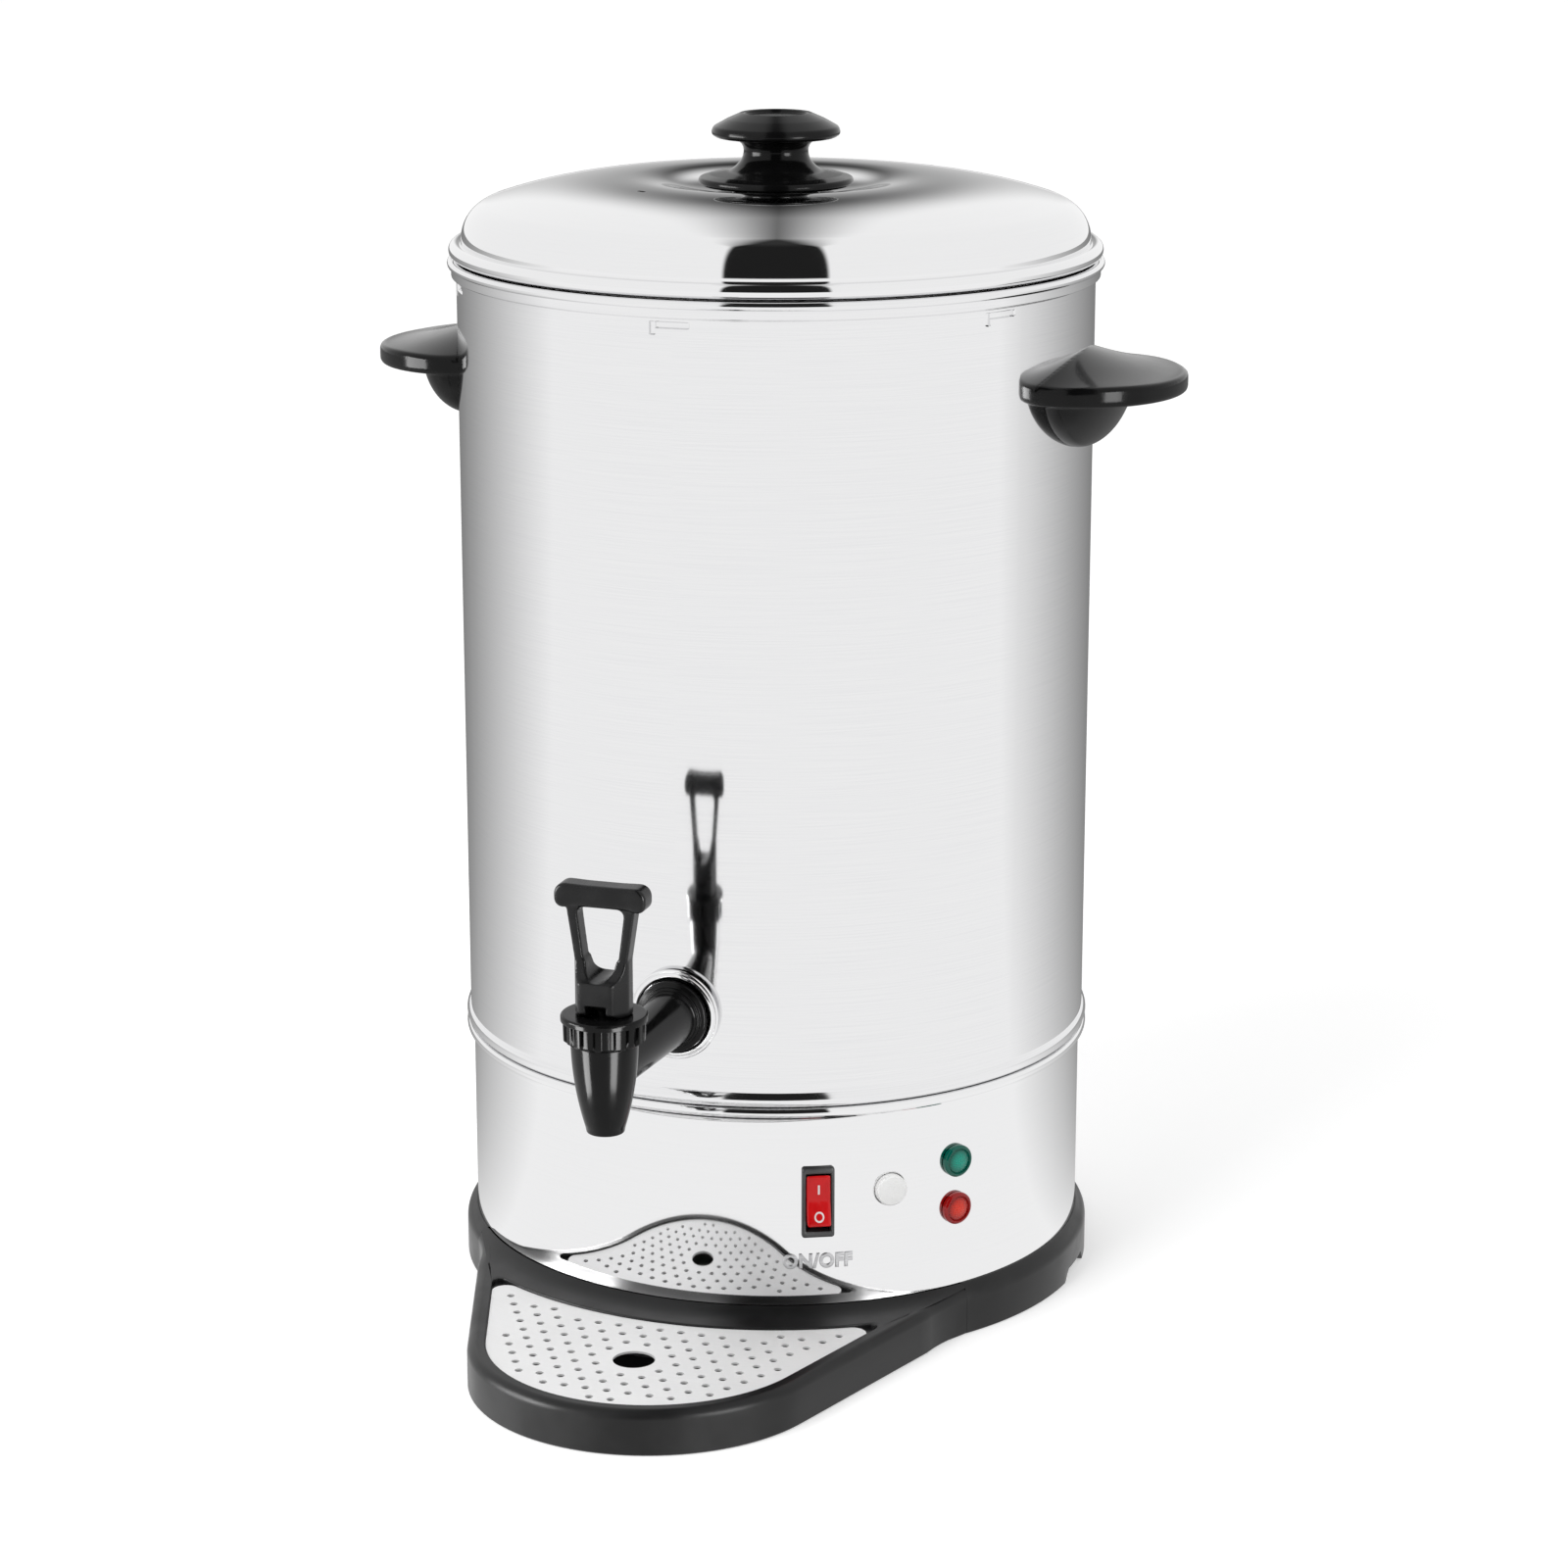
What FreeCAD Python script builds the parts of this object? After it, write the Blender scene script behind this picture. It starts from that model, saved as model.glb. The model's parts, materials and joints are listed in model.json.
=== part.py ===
"""Hot water urn: a 20 litre steel tank on a chromed skirt, with a lock-on lid, a lever tap and a drip tray.

Millimetres, +Z up, front towards -Y. The origin is on the tank's axis, level with the counter.
Azimuths are degrees round the axis, 0 at the front and 90 at +X.
"""

import FreeCAD, Part
import math
import os

import Sketcher

Vector = FreeCAD.Vector
Rotation = FreeCAD.Rotation
Placement = FreeCAD.Placement

DRIVING_SIZES = [
    ("tank_radius", 140.0, "outside of the tank wall"),
    ("tank_wall", 1.0, "tank sheet"),
    ("foot_bead_height", 6.5, "foot bead along the axis"),
    ("foot_bead_depth", 1.8, "foot bead beyond the wall"),
    ("floor_lift", 8.5, "inside of the floor above the foot bead"),
    ("tank_floor_sheet", 1.0, "floor sheet"),
    ("tank_height", 346.1, "foot bead to the top of the rolled rim"),
    ("rim_height", 8.2, "rolled rim along the axis"),
    ("rim_step_depth", 2.2, "lower step of the rim beyond the wall"),
    ("rim_step_height", 3.6, "lower step of the rim along the axis"),
    ("rim_step_slope", 0.8, "slope under the lower step"),
    ("rim_bead_depth", 2.1, "rim bead beyond its step"),
    ("lug_count", 6, "locking bars pressed into the wall"),
    ("lug_width", 6.0, "one bar, degrees"),
    ("lug_height", 2.6, "one bar along the axis"),
    ("lug_drop", 1.2, "top of a bar below the rim"),
    ("lug_depth", 2.0, "how far a bar stands into the tank"),
    ("lug_stop_width", 1.0, "stop at the end of a bar, degrees"),
    ("lug_stop_height", 5.4, "stop along the axis"),
    ("press_depth", 0.6, "depth of the pressing seen from outside"),
    ("skirt_inset", 1.4, "skirt inside the tank wall"),
    ("skirt_height", 91.7, "skirt along the axis"),
    ("skirt_wall", 1.0, "skirt sheet"),
    ("skirt_bead_height", 8.0, "skirt bead along the axis"),
    ("skirt_bead_depth", 3.2, "skirt bead beyond the skirt"),
    ("skirt_cove_height", 4.2, "hollow under the bead along the axis"),
    ("skirt_cove_radius", 5.0, "hollow under the bead"),
    ("skirt_nose_radius", 2.4, "rounding of the bead"),
    ("skirt_nose_back", 0.5, "top of the bead inside its widest place"),
    ("core_step", 0.3, "base ring under the skirt, beyond the skirt"),
    ("core_height", 21.8, "seat of the skirt on the base ring"),
    ("ring_overhang", 4.6, "outside of the base ring beyond its core"),
    ("ring_slope", 2.4, "outer edge of the base ring below the skirt's seat"),
    ("ring_wall", 3.0, "walls of the base ring"),
    ("ring_width", 26.9, "core of the base ring from its inside to its outside"),
    ("screw_band", 9.0, "band of the base ring that takes the screws"),
    ("seam_angle", 53.4, "joint of base ring and drip tray, azimuth"),
    ("notch_width", 16.0, "lifting notch in the base ring"),
    ("notch_height", 4.0, "lifting notch above the counter"),
    ("plate_z", 9.0, "seat of the bottom plate"),
    ("plate_sheet", 1.0, "bottom plate"),
    ("foot_radius", 6.5, "rubber pad"),
    ("foot_height", 2.5, "rubber pad"),
    ("screw_radius", 1.9, "base screw thread"),
    ("screw_head_radius", 3.6, "base screw head"),
    ("screw_head_height", 2.2, "base screw head"),
    ("screw_length", 10.0, "base screw thread"),
    ("rod_radius", 3.0, "tie rod"),
    ("nut_height", 4.5, "tie nut"),
    ("nut_radius", 6.4, "tie nut over its corners"),
    ("fit_gap", 0.3, "gap between pieces that come apart"),
    ("running_gap", 0.06, "radial gap of a shaft in its hole"),
    ("spreader_radius", 96.0, "heat spreader"),
    ("spreader_sheet", 4.0, "heat spreader"),
    ("boil_ring_radius", 78.0, "boiling element, centre line"),
    ("warm_ring_radius", 44.0, "keep-warm element, centre line"),
    ("element_radius", 3.6, "sheath of an element"),
    ("element_sweep", 330.0, "how far an element goes round, degrees"),
    ("element_pin_radius", 2.0, "cold pin of an element"),
    ("element_pin_length", 16.0, "cold pin of an element"),
    ("stat_radius", 9.0, "thermostat"),
    ("stat_height", 9.0, "thermostat"),
    ("stat_circle", 61.0, "circle of the thermostats"),
    ("tab_width", 6.3, "terminal tab"),
    ("tab_sheet", 0.8, "terminal tab"),
    ("tab_length", 8.0, "terminal tab"),
    ("block_width", 44.0, "terminal block"),
    ("block_depth", 18.0, "terminal block"),
    ("block_height", 14.0, "terminal block"),
    ("block_y", 60.0, "terminal block behind the axis"),
    ("wire_hole_radius", 2.2, "terminal block"),
    ("lid_gap", 0.4, "lid bead above the rim"),
    ("lid_inset", 2.3, "foot of the dome inside the tank wall"),
    ("lid_sheet", 1.0, "lid sheet"),
    ("lid_overhang", 3.2, "lid bead beyond the tank wall"),
    ("lid_bead_height", 7.6, "lid bead along the axis"),
    ("lid_rise", 26.0, "crown above the foot of the dome"),
    ("lid_shoulder", 17.0, "arc at the foot of the dome"),
    ("crown_radius", 65.0, "circle of the crown"),
    ("dish_radius", 22.0, "flat under the knob"),
    ("dish_depth", 6.0, "flat below the crown"),
    ("vent_length", 4.6, "steam vent"),
    ("vent_width", 1.7, "steam vent"),
    ("vent_radius", 76.0, "steam vent from the axis"),
    ("vent_angle", -31.0, "steam vent, azimuth"),
    ("lock_sheet", 1.0, "lock ring sheet"),
    ("lock_depth", 17.0, "lock ring below the lid's seat"),
    ("lock_height", 24.0, "lock ring along the axis"),
    ("lock_gap", 0.8, "tab below its bar"),
    ("tab_angle", 5.0, "one tab of the lock ring, degrees"),
    ("lock_turn", 7.0, "turn that locks the lid, degrees"),
    ("lock_tab_height", 3.6, "tab of the lock ring"),
    ("tab_clearance", 0.6, "tip of a tab inside the tank"),
    ("knob_seat_radius", 19.0, "seat ring under the knob"),
    ("knob_seat_height", 2.6, "seat ring under the knob"),
    ("knob_flange_radius", 34.0, "flange of the knob"),
    ("knob_neck_radius", 13.7, "neck of the knob"),
    ("knob_cap_radius", 28.0, "cap of the knob"),
    ("knob_height", 31.3, "knob above its seat ring"),
    ("knob_screw_radius", 2.5, "knob screw"),
    ("knob_screw_length", 17.0, "knob screw in the knob"),
    ("knob_head_radius", 6.5, "knob screw head"),
    ("knob_head_height", 3.0, "knob screw head"),
    ("grip_drop", 44.1, "top of the grips below the rim"),
    ("grip_thickness", 8.4, "edge of a grip"),
    ("grip_reach", 44.0, "grip out from the wall"),
    ("grip_half_width", 51.0, "grip along the wall"),
    ("cup_reach", 20.0, "bracket out from the wall"),
    ("cup_half_width", 55.0, "bracket along the wall"),
    ("cup_depth", 31.0, "bracket below the grip"),
    ("scoop_half_width", 61.0, "upper flare along the wall"),
    ("scoop_height", 15.5, "upper flare above the grip"),
    ("scoop_radius", 17.0, "hollow of the upper flare"),
    ("bolt_radius", 2.5, "grip bolt"),
    ("bolt_head_radius", 5.5, "grip bolt head"),
    ("bolt_head_height", 3.0, "grip bolt head"),
    ("bolt_length", 13.0, "grip bolt beyond the wall"),
    ("bolt_spacing", 36.0, "between the bolts of one grip"),
    ("bolt_drop", 13.5, "grip bolts below the top of the grips"),
    ("tap_rise", 32.5, "axis of the tap's shank above the tank floor"),
    ("tap_stand", 89.0, "axis of the nozzle in front of the tank wall"),
    ("shank_radius", 9.2, "shank in front of the wall"),
    ("thread_radius", 8.0, "shank through the wall"),
    ("thread_length", 15.0, "thread inside the wall"),
    ("shank_bore", 5.0, "water way in the shank"),
    ("collar_radius", 15.5, "collar against the washer"),
    ("collar_width", 3.0, "collar against the washer"),
    ("washer_radius", 19.8, "bright washer"),
    ("washer_sheet", 3.2, "bright washer"),
    ("washer_stand", 1.8, "back of the washer off the wall"),
    ("seal_radius", 15.0, "tap seals"),
    ("seal_sheet", 2.0, "inner tap seal"),
    ("tap_nut_radius", 15.0, "tap nut over its corners"),
    ("tap_nut_height", 7.0, "tap nut"),
    ("nozzle_drop", 23.0, "bottom of the nozzle below the shank's axis"),
    ("nozzle_tip_radius", 7.8, "bottom of the nozzle"),
    ("nozzle_top_radius", 13.9, "top of the nozzle"),
    ("nozzle_curve", 133.0, "bulge of the nozzle"),
    ("nozzle_bore", 5.8, "outlet"),
    ("seat_drop", 8.5, "valve seat below the shank's axis"),
    ("seat_bore", 4.6, "hole in the valve seat"),
    ("chamber_radius", 10.0, "valve chamber"),
    ("bonnet_rise", 15.5, "bottom of the ribbed bonnet above the shank's axis"),
    ("bonnet_height", 12.3, "ribbed bonnet"),
    ("bonnet_flange", 2.8, "disc of the bonnet"),
    ("bonnet_radius", 17.9, "disc of the bonnet"),
    ("bonnet_core_radius", 15.4, "bonnet between its ribs"),
    ("bonnet_rib_radius", 17.0, "bonnet over its ribs"),
    ("bonnet_rib_width", 2.8, "one rib"),
    ("bonnet_ribs", 18, "ribs round the bonnet"),
    ("bonnet_web", 5.2, "bonnet above the chamber"),
    ("neck_radius", 13.0, "thread under the bonnet"),
    ("stem_radius", 3.0, "valve stem"),
    ("stem_head_width", 8.0, "flats of the stem head"),
    ("stem_head_depth", 6.4, "stem head front to back"),
    ("stem_head_low", 5.5, "stem head below the pin"),
    ("stem_head_high", 2.4, "stem head above the pin"),
    ("cup_radius", 8.4, "seat cup"),
    ("cup_height", 11.0, "seat cup"),
    ("valve_rest_gap", 0.2, "seat cup above its seat"),
    ("pin_rise", 7.7, "lever pin above the bonnet"),
    ("pin_radius", 1.5, "lever pin"),
    ("pin_length", 20.0, "lever pin"),
    ("heel_gap", 0.2, "lever above the bonnet"),
    ("heel_rise", 5.28, "stem lift for one radian of tilt"),
    ("lever_travel", 38.0, "tilt of the lever, degrees"),
    ("lever_half_width", 11.8, "block of the lever"),
    ("lever_half_depth", 11.0, "block of the lever"),
    ("lever_block_top", 5.2, "block above the pin"),
    ("lever_corner", 4.2, "corner of the block"),
    ("lever_slot", 8.4, "slot for the stem head"),
    ("lever_notch", 5.1, "open front of the slot"),
    ("lever_frame_depth", 8.6, "frame front to back"),
    ("lever_frame_top", 37.0, "frame above the pin"),
    ("lever_frame_width", 33.0, "frame under its bar"),
    ("lever_bar_width", 39.0, "bar across the top"),
    ("lever_bar_height", 10.0, "bar across the top"),
    ("lever_bar_depth", 10.4, "bar front to back"),
    ("window_foot", 8.0, "window above the pin"),
    ("window_foot_width", 6.0, "window at its foot"),
    ("window_top_width", 19.0, "window at its top"),
    ("window_corner", 2.6, "window corners"),
    ("rocker_angle", 25.1, "rocker switch, azimuth"),
    ("rocker_z", 69.9, "rocker switch"),
    ("bezel_width", 14.2, "rocker frame"),
    ("bezel_height", 32.0, "rocker frame"),
    ("bezel_thick", 1.8, "rocker frame"),
    ("case_width", 12.4, "rocker case behind the skirt"),
    ("case_height", 28.4, "rocker case behind the skirt"),
    ("case_depth", 18.0, "rocker case behind the skirt"),
    ("rocker_width", 10.2, "rocker"),
    ("rocker_length", 25.6, "rocker"),
    ("rocker_depth", 8.0, "rocker pivot behind the frame"),
    ("rocker_tilt", 7.5, "rocker each side of level, degrees"),
    ("trunnion_radius", 1.4, "pins of the rocker"),
    ("button_angle", 38.5, "reboil button, azimuth"),
    ("button_z", 72.8, "reboil button"),
    ("button_radius", 7.0, "reboil button"),
    ("button_stand", 3.0, "reboil button in front of the skirt"),
    ("button_travel", 2.5, "reboil button"),
    ("button_case_radius", 9.0, "switch behind the button"),
    ("button_case_depth", 20.0, "switch behind the button"),
    ("lamp_angle", 52.0, "lamps, azimuth"),
    ("green_z", 80.5, "upper lamp"),
    ("red_z", 58.6, "lower lamp"),
    ("lens_radius", 7.2, "lens"),
    ("lens_height", 3.4, "lens in front of the skirt"),
    ("lamp_body_radius", 5.6, "lamp behind the skirt"),
    ("lamp_body_depth", 24.0, "lamp behind the skirt"),
    ("gland_z", 45.0, "cord gland"),
    ("gland_radius", 9.0, "cord gland flange"),
    ("gland_body", 7.0, "cord gland in the skirt"),
    ("gland_bore", 4.2, "cord gland"),
    ("gland_length", 16.0, "cord gland"),
    ("edge_round", 4.0, "rounding round the top of the base ring and the drip tray"),
    ("nose_radius", 79.0, "front of the drip tray"),
    ("nose_stand", 31.2, "centre of the tray's front, before the base ring"),
    ("side_angle", 18.8, "taper of the tray's sides, degrees"),
    ("flare_back", 31.5, "where the tray's sides leave the flare, behind the front of the ring"),
    ("flare_radius", 75.0, "flare of the tray into the ring"),
    ("tray_rim", 7.7, "top of the tray's walls"),
    ("tray_floor", 3.0, "tray floor"),
    ("tray_ledge", 2.6, "ledge under the plate"),
    ("grille_back", 13.5, "back edge of the drip plate beyond the ring"),
    ("grille_drop", 0.9, "drip plate below the tray's top"),
    ("grille_sheet", 1.0, "drip plate"),
    ("grille_corner", 6.0, "corners of the drip plate"),
    ("drain_radius", 9.0, "middle hole of the drip plate"),
    ("drain_stand", 23.3, "middle hole before the centre of the tray's front"),
    ("hole_radius", 1.7, "small hole of the drip plate"),
    ("hole_pitch", 9.4, "small holes along a row"),
    ("hole_rows", 8.4, "between rows of small holes"),
    ("hole_margin", 5.6, "small holes from the plate's edge"),
    ("tongue_width", 10.0, "tongue of the tray"),
    ("tongue_height", 4.0, "tongue of the tray"),
    ("tongue_grip", 4.0, "tongue past the wall of the ring"),
    ("tongue_x", 62.0, "tongues beside the middle"),
    ("tongue_z", 7.0, "tongues above the counter"),
]


class Size:
    """A number and the sheet expression that gives it: one formula sets a first shape and its binding."""

    def __init__(self, value, text):
        self.value = value
        self.text = text

    @staticmethod
    def of(item):
        if isinstance(item, Size):
            return item
        return Size(float(item), "(%r)" % float(item))

    def __add__(self, other):
        other = Size.of(other)
        return Size(self.value + other.value, "(%s + %s)" % (self.text, other.text))

    def __radd__(self, other):
        return Size.of(other) + self

    def __sub__(self, other):
        other = Size.of(other)
        return Size(self.value - other.value, "(%s - %s)" % (self.text, other.text))

    def __rsub__(self, other):
        return Size.of(other) - self

    def __mul__(self, other):
        other = Size.of(other)
        return Size(self.value * other.value, "(%s * %s)" % (self.text, other.text))

    def __rmul__(self, other):
        return Size.of(other) * self

    def __truediv__(self, other):
        other = Size.of(other)
        return Size(self.value / other.value, "(%s / %s)" % (self.text, other.text))

    def __rtruediv__(self, other):
        return Size.of(other) / self

    def __neg__(self):
        return Size(0.0, "(0)") - self


def sine(angle):
    return Size(math.sin(math.radians(angle.value)), "sin(%s)" % angle.text)


def cosine(angle):
    return Size(math.cos(math.radians(angle.value)), "cos(%s)" % angle.text)


def root(item):
    return Size(math.sqrt(item.value), "sqrt(%s)" % item.text)


class Sheet:
    """The spreadsheet of driving sizes; each alias reads as an attribute that gives a Size."""

    def __init__(self, doc, rows):
        self.cells = doc.addObject("Spreadsheet::Sheet", "Sizes")
        for number, (alias, value, note) in enumerate(rows, start=1):
            self.cells.set("A%d" % number, alias)
            self.cells.set("B%d" % number, "%r" % value)
            self.cells.set("C%d" % number, note)
            self.cells.setAlias("B%d" % number, alias)
            setattr(self, alias, Size(float(value), "Sizes.%s" % alias))


doc = FreeCAD.newDocument("hot_water_urn")
size = Sheet(doc, DRIVING_SIZES)
doc.recompute()
subparts = {}

# Radii that follow the tank's wall

size.skirt_radius = size.tank_radius - size.skirt_inset
size.core_radius = size.skirt_radius + size.core_step
size.ring_radius = size.core_radius + size.ring_overhang
size.ring_inner_radius = size.core_radius - size.ring_width
size.foot_circle = (size.ring_inner_radius + size.screw_band + size.core_radius - size.ring_wall) / 2
size.lid_wall_radius = size.tank_radius - size.lid_inset
size.lid_bead_radius = size.tank_radius + size.lid_overhang
size.lock_tab_radius = size.tank_radius - size.tank_wall - size.tab_clearance
size.tap_reach = size.tank_radius + size.tap_stand
size.nose_centre = size.ring_radius + size.nose_stand
size.flare_y = size.ring_radius - size.flare_back
size.grille_back_radius = size.ring_radius + size.grille_back
size.drain_y = size.nose_centre + size.drain_stand

# Heights that stand on one another, from the base ring upwards

size.ring_height = size.core_height - size.ring_slope
size.tank_foot_z = size.core_height + size.skirt_height
size.tank_floor_z = size.tank_foot_z + size.floor_lift
size.rim_top_z = size.tank_foot_z + size.tank_height
size.grip_top_z = size.rim_top_z - size.grip_drop
size.bolt_z = size.grip_top_z - size.bolt_drop
size.tap_z = size.tank_floor_z + size.tap_rise
size.nozzle_tip_z = size.tap_z - size.nozzle_drop
size.seat_z = size.tap_z - size.seat_drop
size.bonnet_foot_z = size.tap_z + size.bonnet_rise
size.bonnet_top_z = size.bonnet_foot_z + size.bonnet_height
size.pin_z = size.bonnet_top_z + size.pin_rise



def bind(target, path, item):
    """Tie one property of an object to an expression."""
    target.setExpression(path, Size.of(item).text)


def place(target, x=0.0, y=0.0, z=0.0, axis=None, angle=None):
    """Bind an object's place and, with an axis, its turn about that axis."""
    if axis is not None:
        target.Placement = Placement(Vector(0, 0, 0), Rotation(axis, Size.of(angle).value))
        bind(target, "Placement.Rotation.Angle", angle)
    for letter, item in zip("xyz", (x, y, z)):
        bind(target, "Placement.Base.%s" % letter, item)


def keep(target, label):
    """Name a finished sub-part."""
    target.Label = label
    subparts[label] = target
    return target


def new_body(name):
    return doc.addObject("PartDesign::Body", name)


def origin_feature(body, role):
    return next(item for item in body.Origin.OriginFeatures if item.Role == role)


def sketch_on(body, role, lift=None, turn=None):
    """A sketch on one of the body's own planes, lifted off it or turned about the vertical."""
    sketch = body.newObject("Sketcher::SketchObject", body.Name + "_sketch")
    sketch.AttachmentSupport = [(origin_feature(body, role), "")]
    sketch.MapMode = "FlatFace"
    if turn is not None:
        sketch.AttachmentOffset = Placement(Vector(0, 0, 0), Rotation(Vector(0, 1, 0), turn.value))
        bind(sketch, "AttachmentOffset.Rotation.Angle", turn)
    if lift is not None:
        bind(sketch, "AttachmentOffset.Base.z", lift)
    return sketch


def constrain(sketch, kind, *where_and_value):
    """Add a constraint whose last argument is a Size, and bind it."""
    *where, item = where_and_value
    item = Size.of(item)
    index = sketch.addConstraint(Sketcher.Constraint(kind, *where, item.value))
    bind(sketch, "Constraints[%d]" % index, item)


def arc_edge(start, end, radius, turn):
    """An arc from start to end, with its centre to the left of the way for turn 1 and to the right for -1."""
    chord = end - start
    half = chord.Length / 2
    reach = math.sqrt(max(radius * radius - half * half, 0.0))
    left = Vector(-chord.y, chord.x, 0).normalize()
    centre = (start + end) * 0.5 + left * (reach * turn)
    first, last = (start, end) if turn > 0 else (end, start)
    begin = math.atan2(first.y - centre.y, first.x - centre.x)
    finish = math.atan2(last.y - centre.y, last.x - centre.x)
    if finish <= begin:
        finish += 2 * math.pi
    return Part.ArcOfCircle(Part.Circle(centre, Vector(0, 0, 1), radius), begin, finish)


def outline(sketch, corners):
    """A closed outline through corners (x, y), or (x, y, radius, turn) where an arc leaves the corner."""
    corners = [
        tuple(Size.of(item) if place_in < 3 else item for place_in, item in enumerate(corner))
        for corner in corners
    ]
    points = [Vector(corner[0].value, corner[1].value, 0) for corner in corners]
    ends = []
    for number, corner in enumerate(corners):
        start, end = points[number], points[(number + 1) % len(points)]
        if len(corner) == 2:
            edge = sketch.addGeometry(Part.LineSegment(start, end), False)
            ends.append((edge, 1, 2))
            continue
        radius, turn = corner[2], corner[3]
        edge = sketch.addGeometry(arc_edge(start, end, radius.value, turn), False)
        ends.append((edge, 1, 2) if turn > 0 else (edge, 2, 1))
        constrain(sketch, "Radius", edge, radius)
    for number, (edge, begin, finish) in enumerate(ends):
        following = ends[(number + 1) % len(ends)]
        sketch.addConstraint(Sketcher.Constraint("Coincident", edge, finish, following[0], following[1]))
        constrain(sketch, "DistanceX", -1, 1, edge, begin, corners[number][0])
        constrain(sketch, "DistanceY", -1, 1, edge, begin, corners[number][1])


def circle(sketch, x, y, radius):
    x, y, radius = Size.of(x), Size.of(y), Size.of(radius)
    edge = sketch.addGeometry(Part.Circle(Vector(x.value, y.value, 0), Vector(0, 0, 1), radius.value), False)
    constrain(sketch, "Radius", edge, radius)
    constrain(sketch, "DistanceX", -1, 1, edge, 3, x)
    constrain(sketch, "DistanceY", -1, 1, edge, 3, y)


def rectangle(sketch, left, right, low, high):
    outline(sketch, [(left, low), (right, low), (right, high), (left, high)])


def feature(body, kind, sketch, name):
    made = body.newObject("PartDesign::" + kind, name)
    made.Profile = sketch
    sketch.Visibility = False
    return made


def turned(body, sketch, angle=None, kind="Revolution"):
    """Revolve a sketch about the vertical; an angle is spread to both sides of the sketch."""
    made = feature(body, kind, sketch, body.Name + "_turned")
    made.ReferenceAxis = (sketch, ["V_Axis"])
    if angle is not None:
        made.Midplane = True
        bind(made, "Angle", angle)
    return made


def padded(body, sketch, length, both_ways=False, backwards=False):
    made = feature(body, "Pad", sketch, body.Name + "_pad")
    bind(made, "Length", length)
    made.Midplane = both_ways
    made.Reversed = backwards
    return made


def pocketed(body, sketch, length=None, both_ways=False, backwards=False):
    """Cut a sketch into the body, right through when no length is given."""
    made = feature(body, "Pocket", sketch, body.Name + "_pocket")
    made.Midplane = both_ways
    made.Reversed = backwards
    if length is None:
        made.Type = "ThroughAll"
    else:
        bind(made, "Length", length)
    return made


def repeated(body, originals, count):
    """Copy features evenly round the vertical."""
    pattern = body.newObject("PartDesign::PolarPattern", body.Name + "_pattern")
    pattern.Originals = originals
    pattern.Axis = (origin_feature(body, "Z_Axis"), [""])
    pattern.Angle = 360
    bind(pattern, "Occurrences", count)
    body.Tip = pattern
    return pattern


def revolved_body(name, corners, role="XZ_Plane"):
    """A body that is one outline turned about the vertical."""
    body = new_body(name)
    sketch = sketch_on(body, role)
    outline(sketch, corners)
    turned(body, sketch)
    return body


def cylinder(name, radius, height, x=0.0, y=0.0, z=0.0, axis=None, angle=None):
    made = doc.addObject("Part::Cylinder", name)
    bind(made, "Radius", radius)
    bind(made, "Height", height)
    place(made, x, y, z, axis, angle)
    return made


def box(name, length, width, height, x=0.0, y=0.0, z=0.0, axis=None, angle=None):
    """A box with its low corner at x, y, z."""
    made = doc.addObject("Part::Box", name)
    bind(made, "Length", length)
    bind(made, "Width", width)
    bind(made, "Height", height)
    place(made, x, y, z, axis, angle)
    return made


def ellipsoid(name, along_x, along_y, along_z, x, y, z):
    made = doc.addObject("Part::Ellipsoid", name)
    bind(made, "Radius1", along_z)
    bind(made, "Radius2", along_x)
    bind(made, "Radius3", along_y)
    made.Angle1 = -90
    made.Angle2 = 90
    place(made, x, y, z)
    return made


def fused(name, shapes):
    made = doc.addObject("Part::MultiFuse", name)
    made.Shapes = shapes
    return made


def common(name, base, tool):
    made = doc.addObject("Part::MultiCommon", name)
    made.Shapes = [base, tool]
    return made


def cut(name, base, tools):
    made = doc.addObject("Part::Cut", name)
    made.Base = base
    made.Tool = tools[0] if len(tools) == 1 else fused(name + "_tools", tools)
    return made


def group(name, shapes):
    """Separate solids that share one node."""
    made = doc.addObject("Part::Compound", name)
    made.Links = shapes
    return made


FRONTWARD = (Vector(1, 0, 0), 90)
REARWARD = (Vector(1, 0, 0), -90)
RIGHTWARD = (Vector(0, 1, 0), 90)
LEFTWARD = (Vector(0, 1, 0), -90)
UPRIGHT = Vector(0, 0, 1)


def around(radius, azimuth):
    """The place at a radius and azimuth, as x and y."""
    return radius * sine(azimuth), -radius * cosine(azimuth)


def on_wall(target, radius, azimuth, z):
    """Stand a piece that was drawn facing -Y at the front on a round wall at another azimuth."""
    x, y = around(radius, azimuth)
    place(target, x, y, z, UPRIGHT, azimuth)
    return target


def bulge_radius(chord, rise):
    """Radius of an arc over a chord with a given rise."""
    return chord * chord / (rise * 8) + rise / 2


def forward_tool(name, radius, length):
    """A cutter along -Y through a local wall, as its own turned body so that it can stand at any azimuth."""
    body = new_body(name)
    sketch = sketch_on(body, "XZ_Plane")
    circle(sketch, 0, 0, radius)
    padded(body, sketch, length, both_ways=True)
    return body


# Tank with its rolled rim, foot bead and pressed locking bars

def lug_profile(sketch, inner, outer, low, high):
    """A bar's section on the front side, where the local x is negative."""
    rectangle(sketch, -outer, -inner, low, high)


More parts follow.
